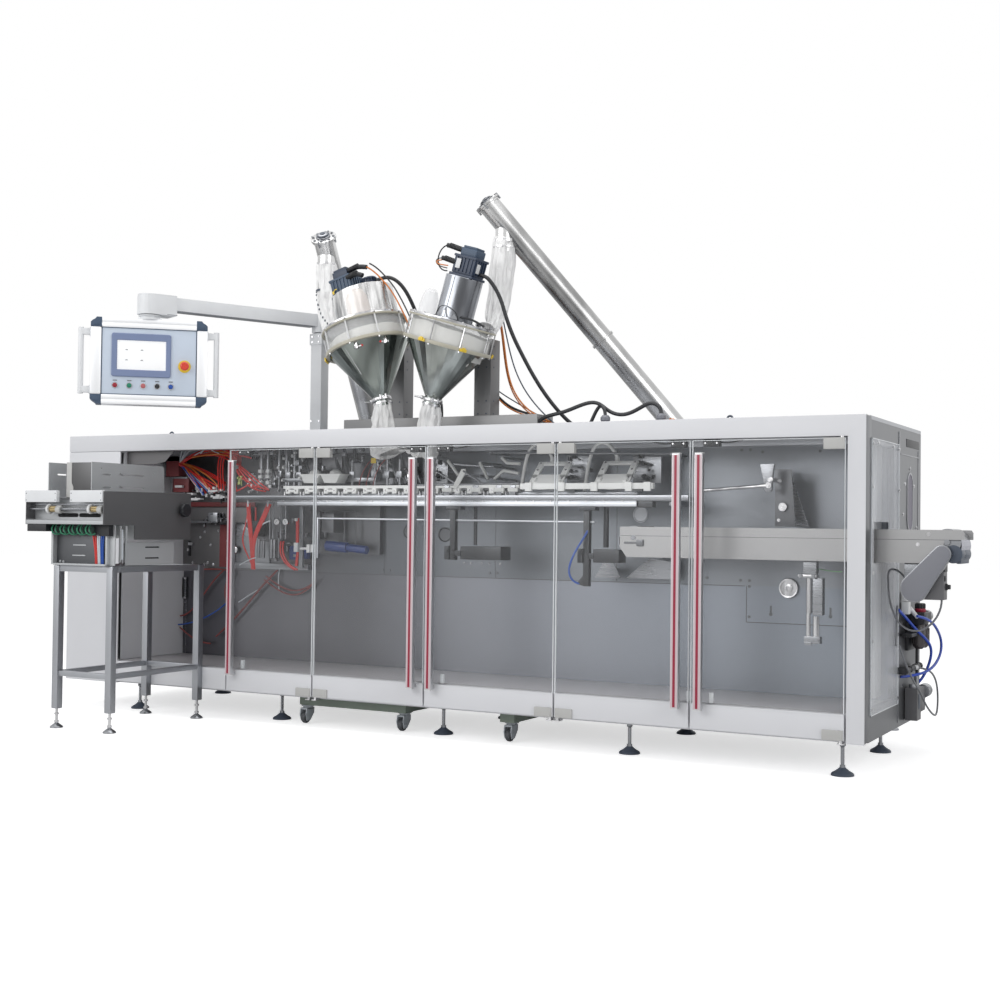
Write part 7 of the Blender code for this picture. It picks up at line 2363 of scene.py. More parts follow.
def cloth_tube(name, route, radii, pleats, depth, seed):
    """The tube before it is simulated, with its first folds already in it."""
    rows, side = [], None
    work = bmesh.new()
    for row in range(ALONG + 1):
        share = row / ALONG
        spot = on_route(route, share)
        heading = (on_route(route, min(share + 0.01, 1)) - on_route(route, max(share - 0.01, 0)))
        heading.normalize()
        side = heading.orthogonal() if side is None else side
        side = (side - heading * side.dot(heading)).normalized()
        other = heading.cross(side)
        place = share * (len(radii) - 1)
        index = min(int(place), len(radii) - 2)
        radius = radii[index] + (radii[index + 1] - radii[index]) * (place - index)
        free = math.sin(math.pi * min(max(share, 0.0), 1.0)) ** 0.6
        ring = []
        for step in range(ROUND):
            angle = 2 * math.pi * step / ROUND
            around_it = Vector((math.cos(angle) * 2.2, math.sin(angle) * 2.2, share * 3 + seed))
            fold = depth * free * (0.55 * math.cos(pleats * angle + 3 * noise.noise(around_it))
                                   + 1.1 * noise.noise(around_it * 1.7))
            out = side * math.cos(angle) + other * math.sin(angle)
            ring.append(work.verts.new(spot + out * (radius + fold) + Vector(SHIFT)))
        rows.append(ring)
    for upper, lower in zip(rows, rows[1:]):
        for step in range(ROUND):
            after = (step + 1) % ROUND
            work.faces.new((upper[step], upper[after], lower[after], lower[step]))
    bmesh.ops.recalc_face_normals(work, faces=work.faces)
    mesh = bpy.data.meshes.new(name)
    work.to_mesh(mesh)
    work.free()
    mesh.materials.append(CLOTH)
    mesh.shade_smooth()
    made = bpy.data.objects.new(name, mesh)
    bpy.context.scene.collection.objects.link(made)
    return made


# %% [markdown]
# The routes start over the steel spout and end at the lid's inlet. The left sleeve is a
# short bag over the spout with a strap below it, then a narrower sleeve; the right one is
# wide and hangs almost straight before it folds onto the lid.

# %% Routes and widths of the sleeves
left_frame, right_frame = leaning("left"), leaning("right")
inlets = {"left": left_frame @ Vector((-0.160, 0.050, LID_TOP + 0.001)),
          "right": right_frame @ Vector((0.105, 0.118, LID_TOP + 0.001))}
sleeves = {
    "feed_sleeve_left_cloth": (
        [(1.2774, 0.4564, 2.262), (1.279, 0.456, 2.215), (1.281, 0.452, 2.130),
         (1.300, 0.440, 2.050),
         (1.365, 0.392, 1.975), (1.450, 0.330, 1.915), inlets["left"]],
        [0.047, 0.058, 0.047, 0.051, 0.048, 0.044, 0.044], 7, 0.0090, 3, "feed_sleeve_left",
        "hung"),
    "feed_sleeve_right_cloth": (
        [(2.2488, 0.5430, 2.318), (2.2350, 0.5400, 2.230), (2.2150, 0.525, 2.140),
         (2.2120, 0.490, 2.040), (2.2300, 0.430, 1.955), inlets["right"]],
        [0.047, 0.066, 0.074, 0.060, 0.046, 0.043], 8, 0.0100, 5, "feed_sleeve_right", "hung"),
}
for side in ("left", "right"):
    at = leaning(side)
    sleeves[f"outlet_sleeve_{side}_cloth"] = (
        [at @ Vector((0, 0, height)) for height in (-0.026, -0.060, -0.110, -0.180, -0.270)],
        [0.0395, 0.046, 0.058, 0.066, 0.066], 11, 0.0130, 7 if side == "left" else 9,
        f"outlet_sleeve_{side}", "gathered")

tubes = []
for name, (route, radii, pleats, depth, seed, node_name, held) in sleeves.items():
    tube = cloth_tube(name, route, radii, pleats, depth, seed)
    pinned = tube.vertex_groups.new(name="pinned")
    rows = 2 if held == "gathered" else 3
    pinned.add(range(ROUND * rows), 1.0, "REPLACE")
    pinned.add(range(ROUND * (ALONG - 1), ROUND * (ALONG + 1)), 1.0, "REPLACE")
    tubes.append((tube, node_name, held))
print("cloth tubes:", len(tubes), "of", ROUND * ALONG, "faces")

# %% [markdown]
# The solver runs for a few dozen frames with no collisions, only stiffness, bending and
# gravity, and a negative shrink factor as the growth. The last frame is then kept as a
# plain mesh, smoothed once.

# %% Simulate and keep the last frame
FRAMES, GROWTH = 44, 0.13
scene = bpy.context.scene
scene.frame_set(1)
for tube, _, held in tubes:
    cloth = tube.modifiers.new("cloth", "CLOTH")
    cloth.settings.quality = 7
    cloth.settings.mass = 0.18
    cloth.settings.tension_stiffness = cloth.settings.compression_stiffness = 12
    cloth.settings.shear_stiffness = 4
    cloth.settings.bending_stiffness = 0.12
    cloth.settings.air_damping = 3
    cloth.settings.shrink_min = -GROWTH if held == "hung" else -2 * GROWTH
    cloth.settings.vertex_group_mass = "pinned"
    cloth.settings.pin_stiffness = 1
    cloth.collision_settings.use_collision = False
    cloth.point_cache.frame_start, cloth.point_cache.frame_end = 1, FRAMES
for frame_number in range(1, FRAMES + 1):
    scene.frame_set(frame_number)
for tube, _, _ in tubes:
    smoother = tube.modifiers.new("smooth", "SUBSURF")
    smoother.levels = smoother.render_levels = 1
graph = bpy.context.evaluated_depsgraph_get()
kept = [bpy.data.meshes.new_from_object(tube.evaluated_get(graph)) for tube, _, _ in tubes]
for (tube, _, _), mesh in zip(tubes, kept):
    tube.modifiers.clear()
    tube.data = mesh
scene.frame_set(1)
for tube, node_name, held in tubes:
    mesh = tube.data
    mesh.shade_smooth()
    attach(tube, "machine")
    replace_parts(tube, node_name)
    route = sleeves[tube.name][0]
    length = sum(math.dist(on_route(route, step / 20), on_route(route, (step + 1) / 20))
                 for step in range(20))
    ([f"filler_cone_{'left' if 'left' in node_name else 'right'}"]
             if held == "gathered" else
             [f"screw_feeder_{'left' if 'left' in node_name else 'right'}"])

# %% [markdown]
# Straps and clamps hold the cloth: a dark strap round the left sleeve's waist, steel
# bands at the spouts, and a lace down the left sleeve's seam.

# %% Straps, bands and lace
bands, straps = Bench(), Bench()


def ring_round(bench, middle, along, radius, tall, thick=0.002):
    bench.turned([(radius, -tall / 2), (radius + thick, -tall / 2), (radius + thick, tall / 2),
                  (radius, tall / 2)], middle, along, 40, True)


ring_round(bands, (1.2774, 0.4564, 2.256), (0, 0, 1), 0.0475, 0.012)
ring_round(bands, (2.2488, 0.5430, 2.304), (0, 0, 1), 0.0490, 0.014)
ring_round(bands, (2.2488, 0.5430, 2.272), (0, 0, 1), 0.0560, 0.006)
ring_round(straps, (1.281, 0.452, 2.118), (0.06, -0.04, -1), 0.0500, 0.010)
for step in range(9):
    share = 0.40 + 0.055 * step
    spot = on_route(sleeves["feed_sleeve_left_cloth"][0], share)
    straps.ball(spot + Vector((-0.040, -0.030, 0.0)), 0.0038, (1, 1, 1.6))
for side in ("left", "right"):
    spot = inlets[side]
    lean_up = (leaning(side).to_3x3() @ Vector((0, 0, 1))).normalized()
    ring_round(bands, spot + lean_up * 0.008, lean_up, 0.0475, 0.012)
bands.piece("sleeve_bands", CHROME)
straps.piece("sleeve_strap_left", CUP)

# %% [markdown]
# ## The screw conveyors and the roof
# The tubes come up from floor hoppers behind the body. Each ends in a bolted flange with
# a bearing boss in its middle, and a short spout drops from it. They're polished tubes,
# so the picture shows them as long bright and dark stripes, and their finish paints those
# stripes in as painted reflections.

# %% Tubes, flanges, spouts and hoppers
UPPER = {"left": (Vector((1.286, 0.420, ROOF + 0.987)), Vector((1.130, 1.080, ROOF + 0.136)),
                  0.060, ROOF + 0.740),
         "right": (Vector((2.189, 0.494, ROOF + 1.089)), Vector((2.879, 1.060, ROOF + 0.107)),
                   0.115, ROOF + 0.865)}
for side, (upper, lower, along, spout_low) in UPPER.items():
    heading = (lower - upper).normalized()
    foot = upper + heading * ((upper.z - 0.400) / -heading.z)
    start = upper + heading * along
    tube = Bench()
    tube.rod(upper - heading * 0.012, foot, 0.053, 48)
    tube.rod((start.x, start.y, start.z), (start.x, start.y, spout_low), 0.0448, 40)
    tube.rod(upper - heading * 0.016, upper - heading * 0.005, 0.0650, 48, round_by=0.001)
    tube.rod(upper - heading * 0.004, upper + heading * 0.004, 0.0600, 48, round_by=0.001)
    for share in (0.30, 0.62, 0.86):
        joint = upper.lerp(foot, share)
        tube.rod(joint - heading * 0.007, joint - heading * 0.0005, 0.0600, 48, round_by=0.001)
        tube.rod(joint + heading * 0.0005, joint + heading * 0.007, 0.0600, 48, round_by=0.001)
    hopper_x, hopper_y, half = foot.x, foot.y, 0.26
    made_tube = tube.piece(f"screw_tube_{side}", TUBE)
    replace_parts(made_tube, f"screw_feeder_{side}")
    cone = bmesh.new()
    bmesh.ops.create_cone(cone, cap_ends=True, segments=4, radius1=0.10 * math.sqrt(2),
                          radius2=half * math.sqrt(2), depth=0.310)
    bmesh.ops.rotate(cone, matrix=Matrix.Rotation(math.pi / 4, 3, "Z"), verts=cone.verts)
    bmesh.ops.translate(cone, vec=(hopper_x, hopper_y, 0.4855), verts=cone.verts)
    bin_bench = Bench()
    bin_bench.add(cone)
    bin_bench.box((hopper_x - half, hopper_x + half), (hopper_y - half, hopper_y + half),
                  (0.640, 0.880), 0.006)
    bin_bench.box((hopper_x - half - 0.004, hopper_x + half + 0.004),
                  (hopper_y - half - 0.004, hopper_y + half + 0.004), (0.872, 0.880), 0.002)
    bin_bench.box((hopper_x - half + 0.004, hopper_x + half - 0.004),
                  (hopper_y - half + 0.004, hopper_y + half - 0.004), (0.880, 0.892), 0.005)
    bin_bench.turned([(0.056, 0.0), (0.072, 0.0), (0.072, 0.006), (0.056, 0.010)],
                     (hopper_x - heading.x * 0.30, hopper_y - heading.y * 0.30, 0.890), (0, 0, 1),
                     40, True)
    bin_bench.piece(f"floor_hopper_{side}", PALE_STEEL)
    grips = Bench()
    for across in (-1, 1):
        x = hopper_x + across * 0.150
        grips.curve([(x, hopper_y + 0.060, 0.892), (x, hopper_y + 0.060, 0.899),
                     (x, hopper_y, 0.900),
                     (x, hopper_y - 0.060, 0.899), (x, hopper_y - 0.060, 0.892)], 0.0035)
    for step in range(4):
        grips.bolt((hopper_x + (step - 1.5) * 0.14, hopper_y - half, 0.700), FRONTWARD, 0.006,
                   0.004)
        grips.bolt((hopper_x + (step - 1.5) * 0.14, hopper_y + half, 0.700), (0, 1, 0), 0.006,
                   0.004)
    grips.piece(f"floor_hopper_grips_{side}", CHROME)
    stand = Bench()
    for across in (-1, 1):
        for deep in (-1, 1):
            x, y = hopper_x + across * (half - 0.03), hopper_y + deep * (half - 0.03)
            stand.rod((x, y, 0.020), (x, y, 0.700), 0.019, 20)
            stand.turned([(0, 0), (0.034, 0), (0.034, 0.006), (0.020, 0.018), (0, 0.020)],
                         (x, y, 0.0005), (0, 0, 1), 24)
        stand.rod((hopper_x - half + 0.03, hopper_y + across * (half - 0.03), 0.20),
                  (hopper_x + half - 0.03, hopper_y + across * (half - 0.03), 0.20), 0.0120, 16)
    stand.piece(f"floor_hopper_stand_{side}", LEG_STEEL)
    boss = Bench()
    boss.turned([(0, 0.0), (0.036, 0.0), (0.036, 0.008), (0.026, 0.012), (0.026, 0.017),
                 (0.018, 0.019), (0, 0.019)], upper - heading * 0.016, -heading, 36)
    turn_to = Vector((0, 0, 1)).rotation_difference(-heading).to_matrix()
    for step in range(8):
        spoke = turn_to @ around(0.0520, 45 * step + 20)
        boss.bolt(upper - heading * 0.016 + spoke, -heading, 0.0050, 0.006)
    for turn_by in (0.0, 90.0, 180.0, 270.0):
        hinge = turn_to @ around(0.062, turn_by + 8)
        boss.rod(upper - heading * 0.020 + hinge, upper + heading * 0.012 + hinge, 0.0045, 12)
    boss.piece(f"screw_end_{side}", MACHINED)
    dark = Bench()
    dark.turned([(0, 0.0192), (0.0125, 0.0192), (0.0125, 0.0215), (0.006, 0.0225), (0, 0.0225)],
                upper - heading * 0.016, -heading, 28)
    dark.turned([(0.0285, 0.0125), (0.0325, 0.0125), (0.0325, 0.0135), (0.0285, 0.0135)],
                upper - heading * 0.016, -heading, 36, True)
    dark.piece(f"screw_end_dark_{side}", CUP)

# %% [markdown]
# On the roof: a tray with a folded edge, two columns with holes for the carriers' bolts
# and two lifting eyes.

# %% Filler columns with their brackets
_, stand_y, _ = limits("filler_stand")
TRAY_TOP, COLUMN = 0.082, 0.09
column_y = stand_y[0] + 0.020
tray = Bench()
tray.box((1.400, 2.480), (stand_y[0], stand_y[0] + 0.165), (ROOF + GAP, ROOF + TRAY_TOP), 0.004)
tray_piece = tray.piece("filler_tray", TRAY_STEEL)
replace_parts(tray_piece, "filler_stand")
columns, carriers, bolts = Bench(), Bench(), Bench()
for side, shift in (("left", 0.013), ("right", 0.066)):
    rim = leaning(side) @ Vector((0, 0, RIM + 0.004))
    middle = rim.x + shift
    columns.box((middle - COLUMN / 2, middle + COLUMN / 2), (column_y, column_y + COLUMN),
                (ROOF + TRAY_TOP - 0.002, rim.z + 0.054), 0.005)
    carriers.box((min(rim.x, middle) - 0.030, max(rim.x, middle) + 0.030),
                 (POUCH_Y + DRUM_RADIUS + 0.0165, column_y + 0.0005),
                 (rim.z - 0.021, rim.z + 0.021),
                 0.004)
    for height in (0.020, -0.040, -0.080, -0.240, -0.300):
        bolts.rod((middle - 0.022, column_y + 0.0006, rim.z + height),
                  (middle - 0.022, column_y - 0.0012, rim.z + height), 0.0040, 12)
        bolts.rod((middle + 0.022, column_y + 0.0006, rim.z + height),
                  (middle + 0.022, column_y - 0.0012, rim.z + height), 0.0040, 12)
        bolts.rod((middle + COLUMN / 2 - 0.0006, column_y + 0.030, rim.z + height),
                  (middle + COLUMN / 2 + 0.0012, column_y + 0.030, rim.z + height), 0.0040, 12)
columns.piece("filler_columns", COLUMN_STEEL)
carriers.piece("filler_carriers", COLUMN_STEEL)
bolts.piece("column_screws", CUP)

# %% Lifting eyes
eyes = Bench()
for x, y in ((3.460, 0.300), (0.420, 0.300)):
    eyes.turned([(0, 0), (0.016, 0), (0.016, 0.003), (0.009, 0.008), (0, 0.008)],
                (x, y, ROOF), (0, 0, 1), 20)
    eyes.turned([(0.0115 + 0.0045 * math.cos(math.radians(step)),
                  0.0045 * math.sin(math.radians(step)))
                 for step in range(0, 360, 45)], (x, y, ROOF + 0.0210), FRONTWARD, 28, True)
eyes.piece("lifting_eyes", CUP)

# %% [markdown]
# ## The outfeed conveyor
# The belt runs between two folded side plates that carry on through the end wall. A seam
# divides each plate, because it is made of an upper and a lower channel. At the outer
# end the rollers show, and a tapered cover hides the belt drive.


# %% An outline round two circles, for covers
def hull(first, first_radius, second, second_radius, steps=14):
    """The outline of two circles with their common tangents, as (a, b) points."""
    first, second = Vector(first), Vector(second)
    line = second - first
    heading = math.atan2(line.y, line.x)
    tilt = math.acos((first_radius - second_radius) / line.length)
    spots = []
    for index in range(steps + 1):
        angle = heading + tilt + (2 * math.pi - 2 * tilt) * index / steps
        spots.append((first.x + first_radius * math.cos(angle),
                      first.y + first_radius * math.sin(angle)))
    for index in range(steps + 1):
        angle = heading - tilt + 2 * tilt * index / steps
        spots.append((second.x + second_radius * math.cos(angle),
                      second.y + second_radius * math.sin(angle)))
    return spots


# %% Side plates, bed and rollers
belt_x, belt_y, belt_z = limits("outfeed_frame")
x_start, x_end = belt_x[0] + 0.018, belt_x[1]
front_y, back_y = belt_y
low_z, high_z = belt_z[0], belt_z[1] + 0.008
SEAM = high_z - 0.038
sides_bench = Bench()
upper_side = [(x_start, SEAM + 0.0008), (x_end, SEAM + 0.0008), (x_end, high_z - 0.010),
              (x_end - 0.006, high_z - 0.001), (x_end - 0.012, high_z), (x_start + 0.004, high_z),
              (x_start, high_z - 0.004)]
lower_side = [(x_start, SEAM - 0.0008), (x_start, low_z + 0.040), (x_start + 0.030, low_z),
              (x_end - 0.100, low_z), (x_end - 0.092, low_z + 0.006),
              (x_end - 0.070, SEAM - 0.0008)]
for y in (front_y, back_y - 0.004):
    sides_bench.plate(upper_side, "y", y, y + 0.004)
    sides_bench.plate(lower_side, "y", y, y + 0.004)
sides_bench.box((x_start + 0.002, x_end - 0.004), (front_y + 0.0002, front_y + 0.012),
                (high_z - 0.002, high_z - 0.0004), 0.0006)
sides_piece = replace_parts(sides_bench.piece("conveyor_sides", BELT_STEEL), "outfeed_frame")
inner = Bench()
inner.box((x_start + 0.120, x_end - 0.120), (front_y + 0.005, back_y - 0.005),
          (low_z + 0.010, high_z - 0.020), 0.002)
inner.box((x_start, x_end - 0.012), (front_y + 0.003, front_y + 0.0052),
          (SEAM - 0.003, SEAM + 0.003))
inner.piece("conveyor_bed", DARK_SHEET)
rollers = Bench()
for x in (x_start + 0.062, x_end - 0.062):
    rollers.rod((x, front_y + 0.006, high_z - 0.046), (x, back_y - 0.006, high_z - 0.046), 0.0505,
                40)
    rollers.rod((x, front_y - 0.003, high_z - 0.046), (x, back_y + 0.003, high_z - 0.046), 0.011,
                18)
rollers.piece("conveyor_rollers", MACHINED)
black = Bench()
black.rod((x_end - 0.040, front_y + 0.001, low_z + 0.036),
          (x_end - 0.040, front_y + 0.060, low_z + 0.036),
          0.0345, 32, round_by=0.003)
black.rod((x_end - 0.040, front_y + 0.070, low_z + 0.036),
          (x_end - 0.040, back_y - 0.010, low_z + 0.036),
          0.0345, 32, round_by=0.003)
black.box((x_end - 0.030, x_end - 0.012), (front_y + 0.010, back_y - 0.020), (low_z, low_z + 0.050),
          0.004)
black.piece("conveyor_end_roller", CUP)
fine = Bench()
for step in range(5):
    y = front_y + 0.061 + 0.0018 * step
    fine.rod((x_end - 0.040, y, low_z + 0.036), (x_end - 0.040, y + 0.0010, low_z + 0.036), 0.0335,
             28)
for x, z in ((x_end - 0.130, high_z - 0.016), (x_end - 0.170, SEAM - 0.018)):
    fine.bolt((x, front_y, z), FRONTWARD, 0.0050, 0.004)
fine.piece("conveyor_screws", CHROME)
tension = Bench()
tension.box((x_start + 0.078, x_start + 0.108), (front_y - 0.008, front_y - 0.0004),
            (SEAM - 0.044, SEAM - 0.016), 0.003)
tension.plate(hull((x_start + 0.024, SEAM - 0.030), 0.0050, (x_start + 0.084, SEAM - 0.030),
                   0.0045),
              "y", front_y - 0.0012, front_y + 0.0002)
tension.piece("belt_tension_slot", SHADE_STEEL)

# %% [markdown]
# The drive cover is a smooth grey casting with a light rim. Behind it sit the motor's
# connection box, with its speed knob, and the cable that loops below.

# %% Drive cover, motor, control box and its cable
FOOT, TOP = (4.2560, 0.7270), (4.3570, 0.8580)
cover = Bench()
cover.plate(hull(FOOT, 0.0490, TOP, 0.0305, 20), "y", front_y - 0.034, front_y - 0.012, 0.002)
cover_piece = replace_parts(cover.piece("drive_cover", DRIVE_GREY), "outfeed_drive")
edge = Bench()
edge.plate(hull(FOOT, 0.0525, TOP, 0.0340, 20), "y", front_y - 0.030, front_y - 0.003, 0.001)
edge.rod((FOOT[0], front_y - 0.010, FOOT[1]), (FOOT[0], front_y + 0.175, FOOT[1]), 0.042, 32,
         round_by=0.003)
for step in range(9):
    y = front_y + 0.040 + 0.014 * step
    edge.rod((FOOT[0], y, FOOT[1]), (FOOT[0], y + 0.004, FOOT[1]), 0.0455, 32)
edge.box((4.205, 4.300), (front_y + 0.030, front_y + 0.120), (0.760, low_z), 0.004)
edge.box((4.355, 4.375), (front_y - 0.004, front_y + 0.020), (0.865, 0.890), 0.002)
edge.piece("drive_motor", MACHINED)
box_piece = Bench()
box_piece.box((4.262, 4.359), (front_y - 0.001, front_y + 0.068), (0.684, low_z - 0.030), 0.003)
box_piece.box((4.290, 4.350), (front_y + 0.002, front_y + 0.050), (low_z - 0.030, low_z - 0.004),
              0.003)
box_piece.box((4.268, 4.300), (front_y + 0.010, front_y + 0.060), (low_z - 0.026, low_z + 0.010),
              0.003)
box_piece.piece("drive_control_box", CONTROL_GREY)
dark = Bench()
dark.turned([(0, 0), (0.013, 0), (0.013, 0.006), (0.009, 0.008), (0.009, 0.017), (0, 0.018)],
            (4.359, front_y + 0.040, 0.733), (1, 0, 0), 24)
dark.box((4.359, 4.363), (front_y + 0.010, front_y + 0.024), (0.755, 0.775), 0.001)
dark.box((4.330, 4.362), (front_y + 0.004, front_y + 0.060), (0.790, 0.818), 0.003)
dark.piece("speed_knob", BLACK)
loop = Bench()
loop.curve([(4.218, front_y + 0.062, 0.742), (4.190, front_y + 0.060, 0.782),
            (4.160, 0.225, 0.798), (4.128, 0.245, 0.792), (4.128, 0.250, 0.740),
            (4.134, 0.250, 0.660), (4.168, 0.250, 0.575), (4.237, 0.250, 0.546),
            (4.305, 0.245, 0.585), (4.340, 0.220, 0.650), (4.342, 0.200, 0.690)], 0.0040)
loop.piece("drive_cable", CABLE_GREY)

# %% [markdown]
# ## The right end
# The end wall is a frame of folded stainless sheet. Its window is a clear panel held by
# a row of screws; to its right a long slot is a flat dark plate, painted shade for the
# cabinet's inside.

# %% End panel, its screws and the slot in the cabinet's end
_, panel_y, panel_z = limits("end_window")
face_x = BODY_LENGTH
opening = [(front_y - 0.040, low_z - 0.003), (back_y + 0.020, low_z - 0.003),
           (back_y + 0.020, high_z + 0.029), (front_y - 0.040, high_z + 0.029)]
window = Bench()
window.pierced([(panel_y[0], panel_z[0]), (panel_y[1], panel_z[0]), (panel_y[1], panel_z[1]),
                (panel_y[0], panel_z[1])], [opening], "x", face_x + GAP, face_x + 0.0058)
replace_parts(window.piece("end_window_panel", END_PANE), "end_window")
rim = Bench()
for y in (panel_y[0], panel_y[1] - 0.003):
    rim.box((face_x + 0.0004, face_x + 0.0060), (y, y + 0.003), panel_z)
rim.box((face_x + 0.0004, face_x + 0.0060), panel_y, (panel_z[1] - 0.003, panel_z[1]))
rim.box((face_x + 0.0004, face_x + 0.0060), panel_y, (panel_z[0], panel_z[0] + 0.003))
rim.piece("end_window_edges", EDGE)
screws = Bench()
for y in (panel_y[0] + 0.014, panel_y[1] - 0.014):
    for z in (0.260, 0.520, 0.782, 1.112, 1.280):
        screws.bolt((face_x + 0.006, y, z), (1, 0, 0), 0.0055, 0.004)
for y in (0.175, 0.430):
    screws.bolt((face_x + 0.006, y, 1.286), (1, 0, 0), 0.0055, 0.004)
for y, z in ((0.768, 1.211), (0.674, 1.142), (0.849, 1.139), (0.637, 1.015), (0.905, 0.960),
             (0.674, 0.720), (0.900, 0.720), (0.640, 0.560), (0.930, 0.300), (0.640, 0.300)):
    screws.bolt((face_x, y, z), (1, 0, 0), 0.0055, 0.004)
screws.piece("end_screws", CHROME)
# The slot is a flat dark plate: painted shade for the cabinet's inside.
slot_bench = Bench()
slot_bench.plate(slot_shape((0.769, 0.995), (0.769, 1.140), 0.048), "x", face_x, face_x + 0.0012)
slot_bench.piece("end_slot", SLOT_SHADE)
latch = Bench()
latch.box((face_x, face_x + 0.0014), (0.700, 0.948), (1.300, 1.334), 0.0004)
latch.piece("end_vent", BLACK)
trims = Bench()
trims.pierced(slot_shape((0.769, 0.995), (0.769, 1.140), 0.055),
              [slot_shape((0.769, 0.995), (0.769, 1.140), 0.047)], "x", face_x, face_x + 0.003)
trims.box((face_x, face_x + 0.0030), (0.556, 0.566), (BODY_BOTTOM + 0.02, ROOF - 0.030), 0.001)
trims.box((face_x, face_x + 0.0024), (0.935, 0.943), (BODY_BOTTOM + 0.02, ROOF - 0.090), 0.001)
trims.box((face_x, face_x + 0.0024), (0.590, 0.935), (1.262, 1.266), 0.001)
trims.piece("end_trims", MACHINED)
corner = Bench()
corner.box((face_x, face_x + 0.0010), (0.0040, 0.0795), (BODY_BOTTOM + 0.004, ROOF - 0.004), 0.0004)
corner.piece("end_corner_sheet", END_SHEET)
louvres = Bench()
for step in range(8):
    z = 1.262 - 0.017 * step
    louvres.box((4.044, 4.052), (0.130, 0.300), (z, z + 0.008), 0.002)
louvres.box((4.040, 4.050), (0.110, 0.300), (0.960, 1.090), 0.002)
louvres.piece("end_louvres", LIGHT)
# A dark strip inside the end window is a painted shadow.
shadow = Bench()
shadow.box((4.036, 4.044), (0.318, 0.328), (0.960, 1.200), 0.001)
shadow.piece("end_inner_gap", CUP)

# %% Things seen through the end window
inside = Bench()
inside.box((4.010, 4.050), (0.380, 0.480), (0.270, 1.290), 0.003)
inside.box((4.000, 4.040), (0.400, 0.470), (0.990, 1.200), 0.004)
inside.piece("end_inner_post", MAGAZINE_PALE)
hose = Bench()
route = [Vector((4.020, 0.330, 0.800 - 0.005 * step)) for step in range(0, 60)]
for step, spot in enumerate(route):
    if step % 2 == 0:
        hose.rod(spot, spot - Vector((0.0, 0.001 * (step > 30), 0.006)), 0.026, 20)
    else:
        hose.rod(spot, spot - Vector((0, 0, 0.006)), 0.0235, 20)
hose.piece("ribbed_hose", LIGHT)

# %% [markdown]
# ## Compressed air on the end
# A service unit with a red-collared regulator, two bowls and a gauge is screwed to the
# end, with a manifold and a second regulator below. Blue hoses link them in wide loops.

# %% Service unit
x0 = face_x + GAP
unit = Bench()
unit.box((x0, x0 + 0.012), (0.700, 0.890), (0.442, 0.600), 0.002)
unit.box((x0 + 0.010, x0 + 0.075), (0.716, 0.800), (0.552, 0.603), 0.006)
unit.box((x0 + 0.012, x0 + 0.072), (0.802, 0.878), (0.556, 0.600), 0.006)
unit.rod((x0 + 0.045, 0.775, 0.616), (x0 + 0.045, 0.775, 0.640), 0.0205, 24, round_by=0.003)
for step in range(12):
    angle = math.radians(30 * step)
    unit.box((x0 + 0.045 + 0.0205 * math.cos(angle) - 0.002,
              x0 + 0.045 + 0.0205 * math.cos(angle) + 0.002),
             (0.775 + 0.0205 * math.sin(angle) - 0.002, 0.775 + 0.0205 * math.sin(angle) + 0.002),
             (0.618, 0.636), 0.0006)
unit.rod((x0 + 0.030, 0.546, 0.370), (x0 + 0.030, 0.844, 0.370), 0.0125, 20, round_by=0.002)
for y in (0.560, 0.640, 0.760, 0.830):
    unit.rod((x0 + 0.030, y - 0.010, 0.370), (x0 + 0.030, y + 0.010, 0.370), 0.0155, 8)
unit.rod((x0 + 0.030, 0.785, 0.300), (x0 + 0.030, 0.785, 0.448), 0.0060, 16)
unit.box((x0, x0 + 0.030), (0.545, 0.600), (0.355, 0.385), 0.004)
unit.box((x0 + 0.008, x0 + 0.050), (0.590, 0.700), (0.506, 0.521), 0.003)
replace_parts(unit.piece("air_service_unit", BLACK), "air_unit")
collar = Bench()
collar.turned([(0, 0), (0.0215, 0), (0.0235, 0.004), (0.0235, 0.012), (0.0200, 0.016), (0, 0.016)],
              (x0 + 0.045, 0.775, 0.602), (0, 0, 1), 32)
collar.box((x0 + 0.030, x0 + 0.060), (0.7165, 0.7185), (0.566, 0.590), 0.001)
collar.piece("regulator_collar", DEEP_RED)
bowls = Bench()
for y in (0.755, 0.835):
    bowls.turned([(0, 0.0), (0.014, 0.0), (0.024, 0.010), (0.0265, 0.024), (0.0265, 0.080),
                  (0.0225, 0.092), (0.0225, 0.108), (0, 0.108)], (x0 + 0.045, y, 0.448),
                 (0, 0, 1), 32)
    for step in range(8):
        angle = math.radians(45 * step)
        bowls.rod((x0 + 0.045 + 0.0255 * math.cos(angle), y + 0.0255 * math.sin(angle), 0.470),
                  (x0 + 0.045 + 0.0255 * math.cos(angle), y + 0.0255 * math.sin(angle), 0.532),
                  0.0022, 8)
bowls.piece("air_bowls", BOWL_DARK)
white = Bench()
white.box((x0 + 0.004, x0 + 0.034), (0.600, 0.640), (0.600, 0.650), 0.003)
white.rod((x0 + 0.030, 0.640, 0.625), (x0 + 0.045, 0.710, 0.585), 0.009, 18, round_by=0.001)
white.box((x0 + 0.004, x0 + 0.026), (0.606, 0.630), (0.655, 0.690), 0.002)
white.rod((x0 + 0.030, 0.716, 0.372), (x0 + 0.044, 0.730, 0.372), 0.010, 16)
white.piece("air_valve_white", LIGHT)
steel = Bench()
steel.rod((x0 + 0.045, 0.877, 0.580), (x0 + 0.045, 0.924, 0.580), 0.0255, 32, round_by=0.002)
steel.rod((x0 + 0.038, 0.866, 0.258), (x0 + 0.038, 0.934, 0.258), 0.0295, 32, round_by=0.002)
steel.rod((x0 + 0.030, 0.785, 0.258), (x0 + 0.030, 0.785, 0.330), 0.0108, 20)
steel.rod((x0 + 0.028, 0.720, 0.282), (x0 + 0.028, 0.720, 0.302), 0.0170, 20, round_by=0.002)
steel.piece("air_gauges_end", MACHINED)
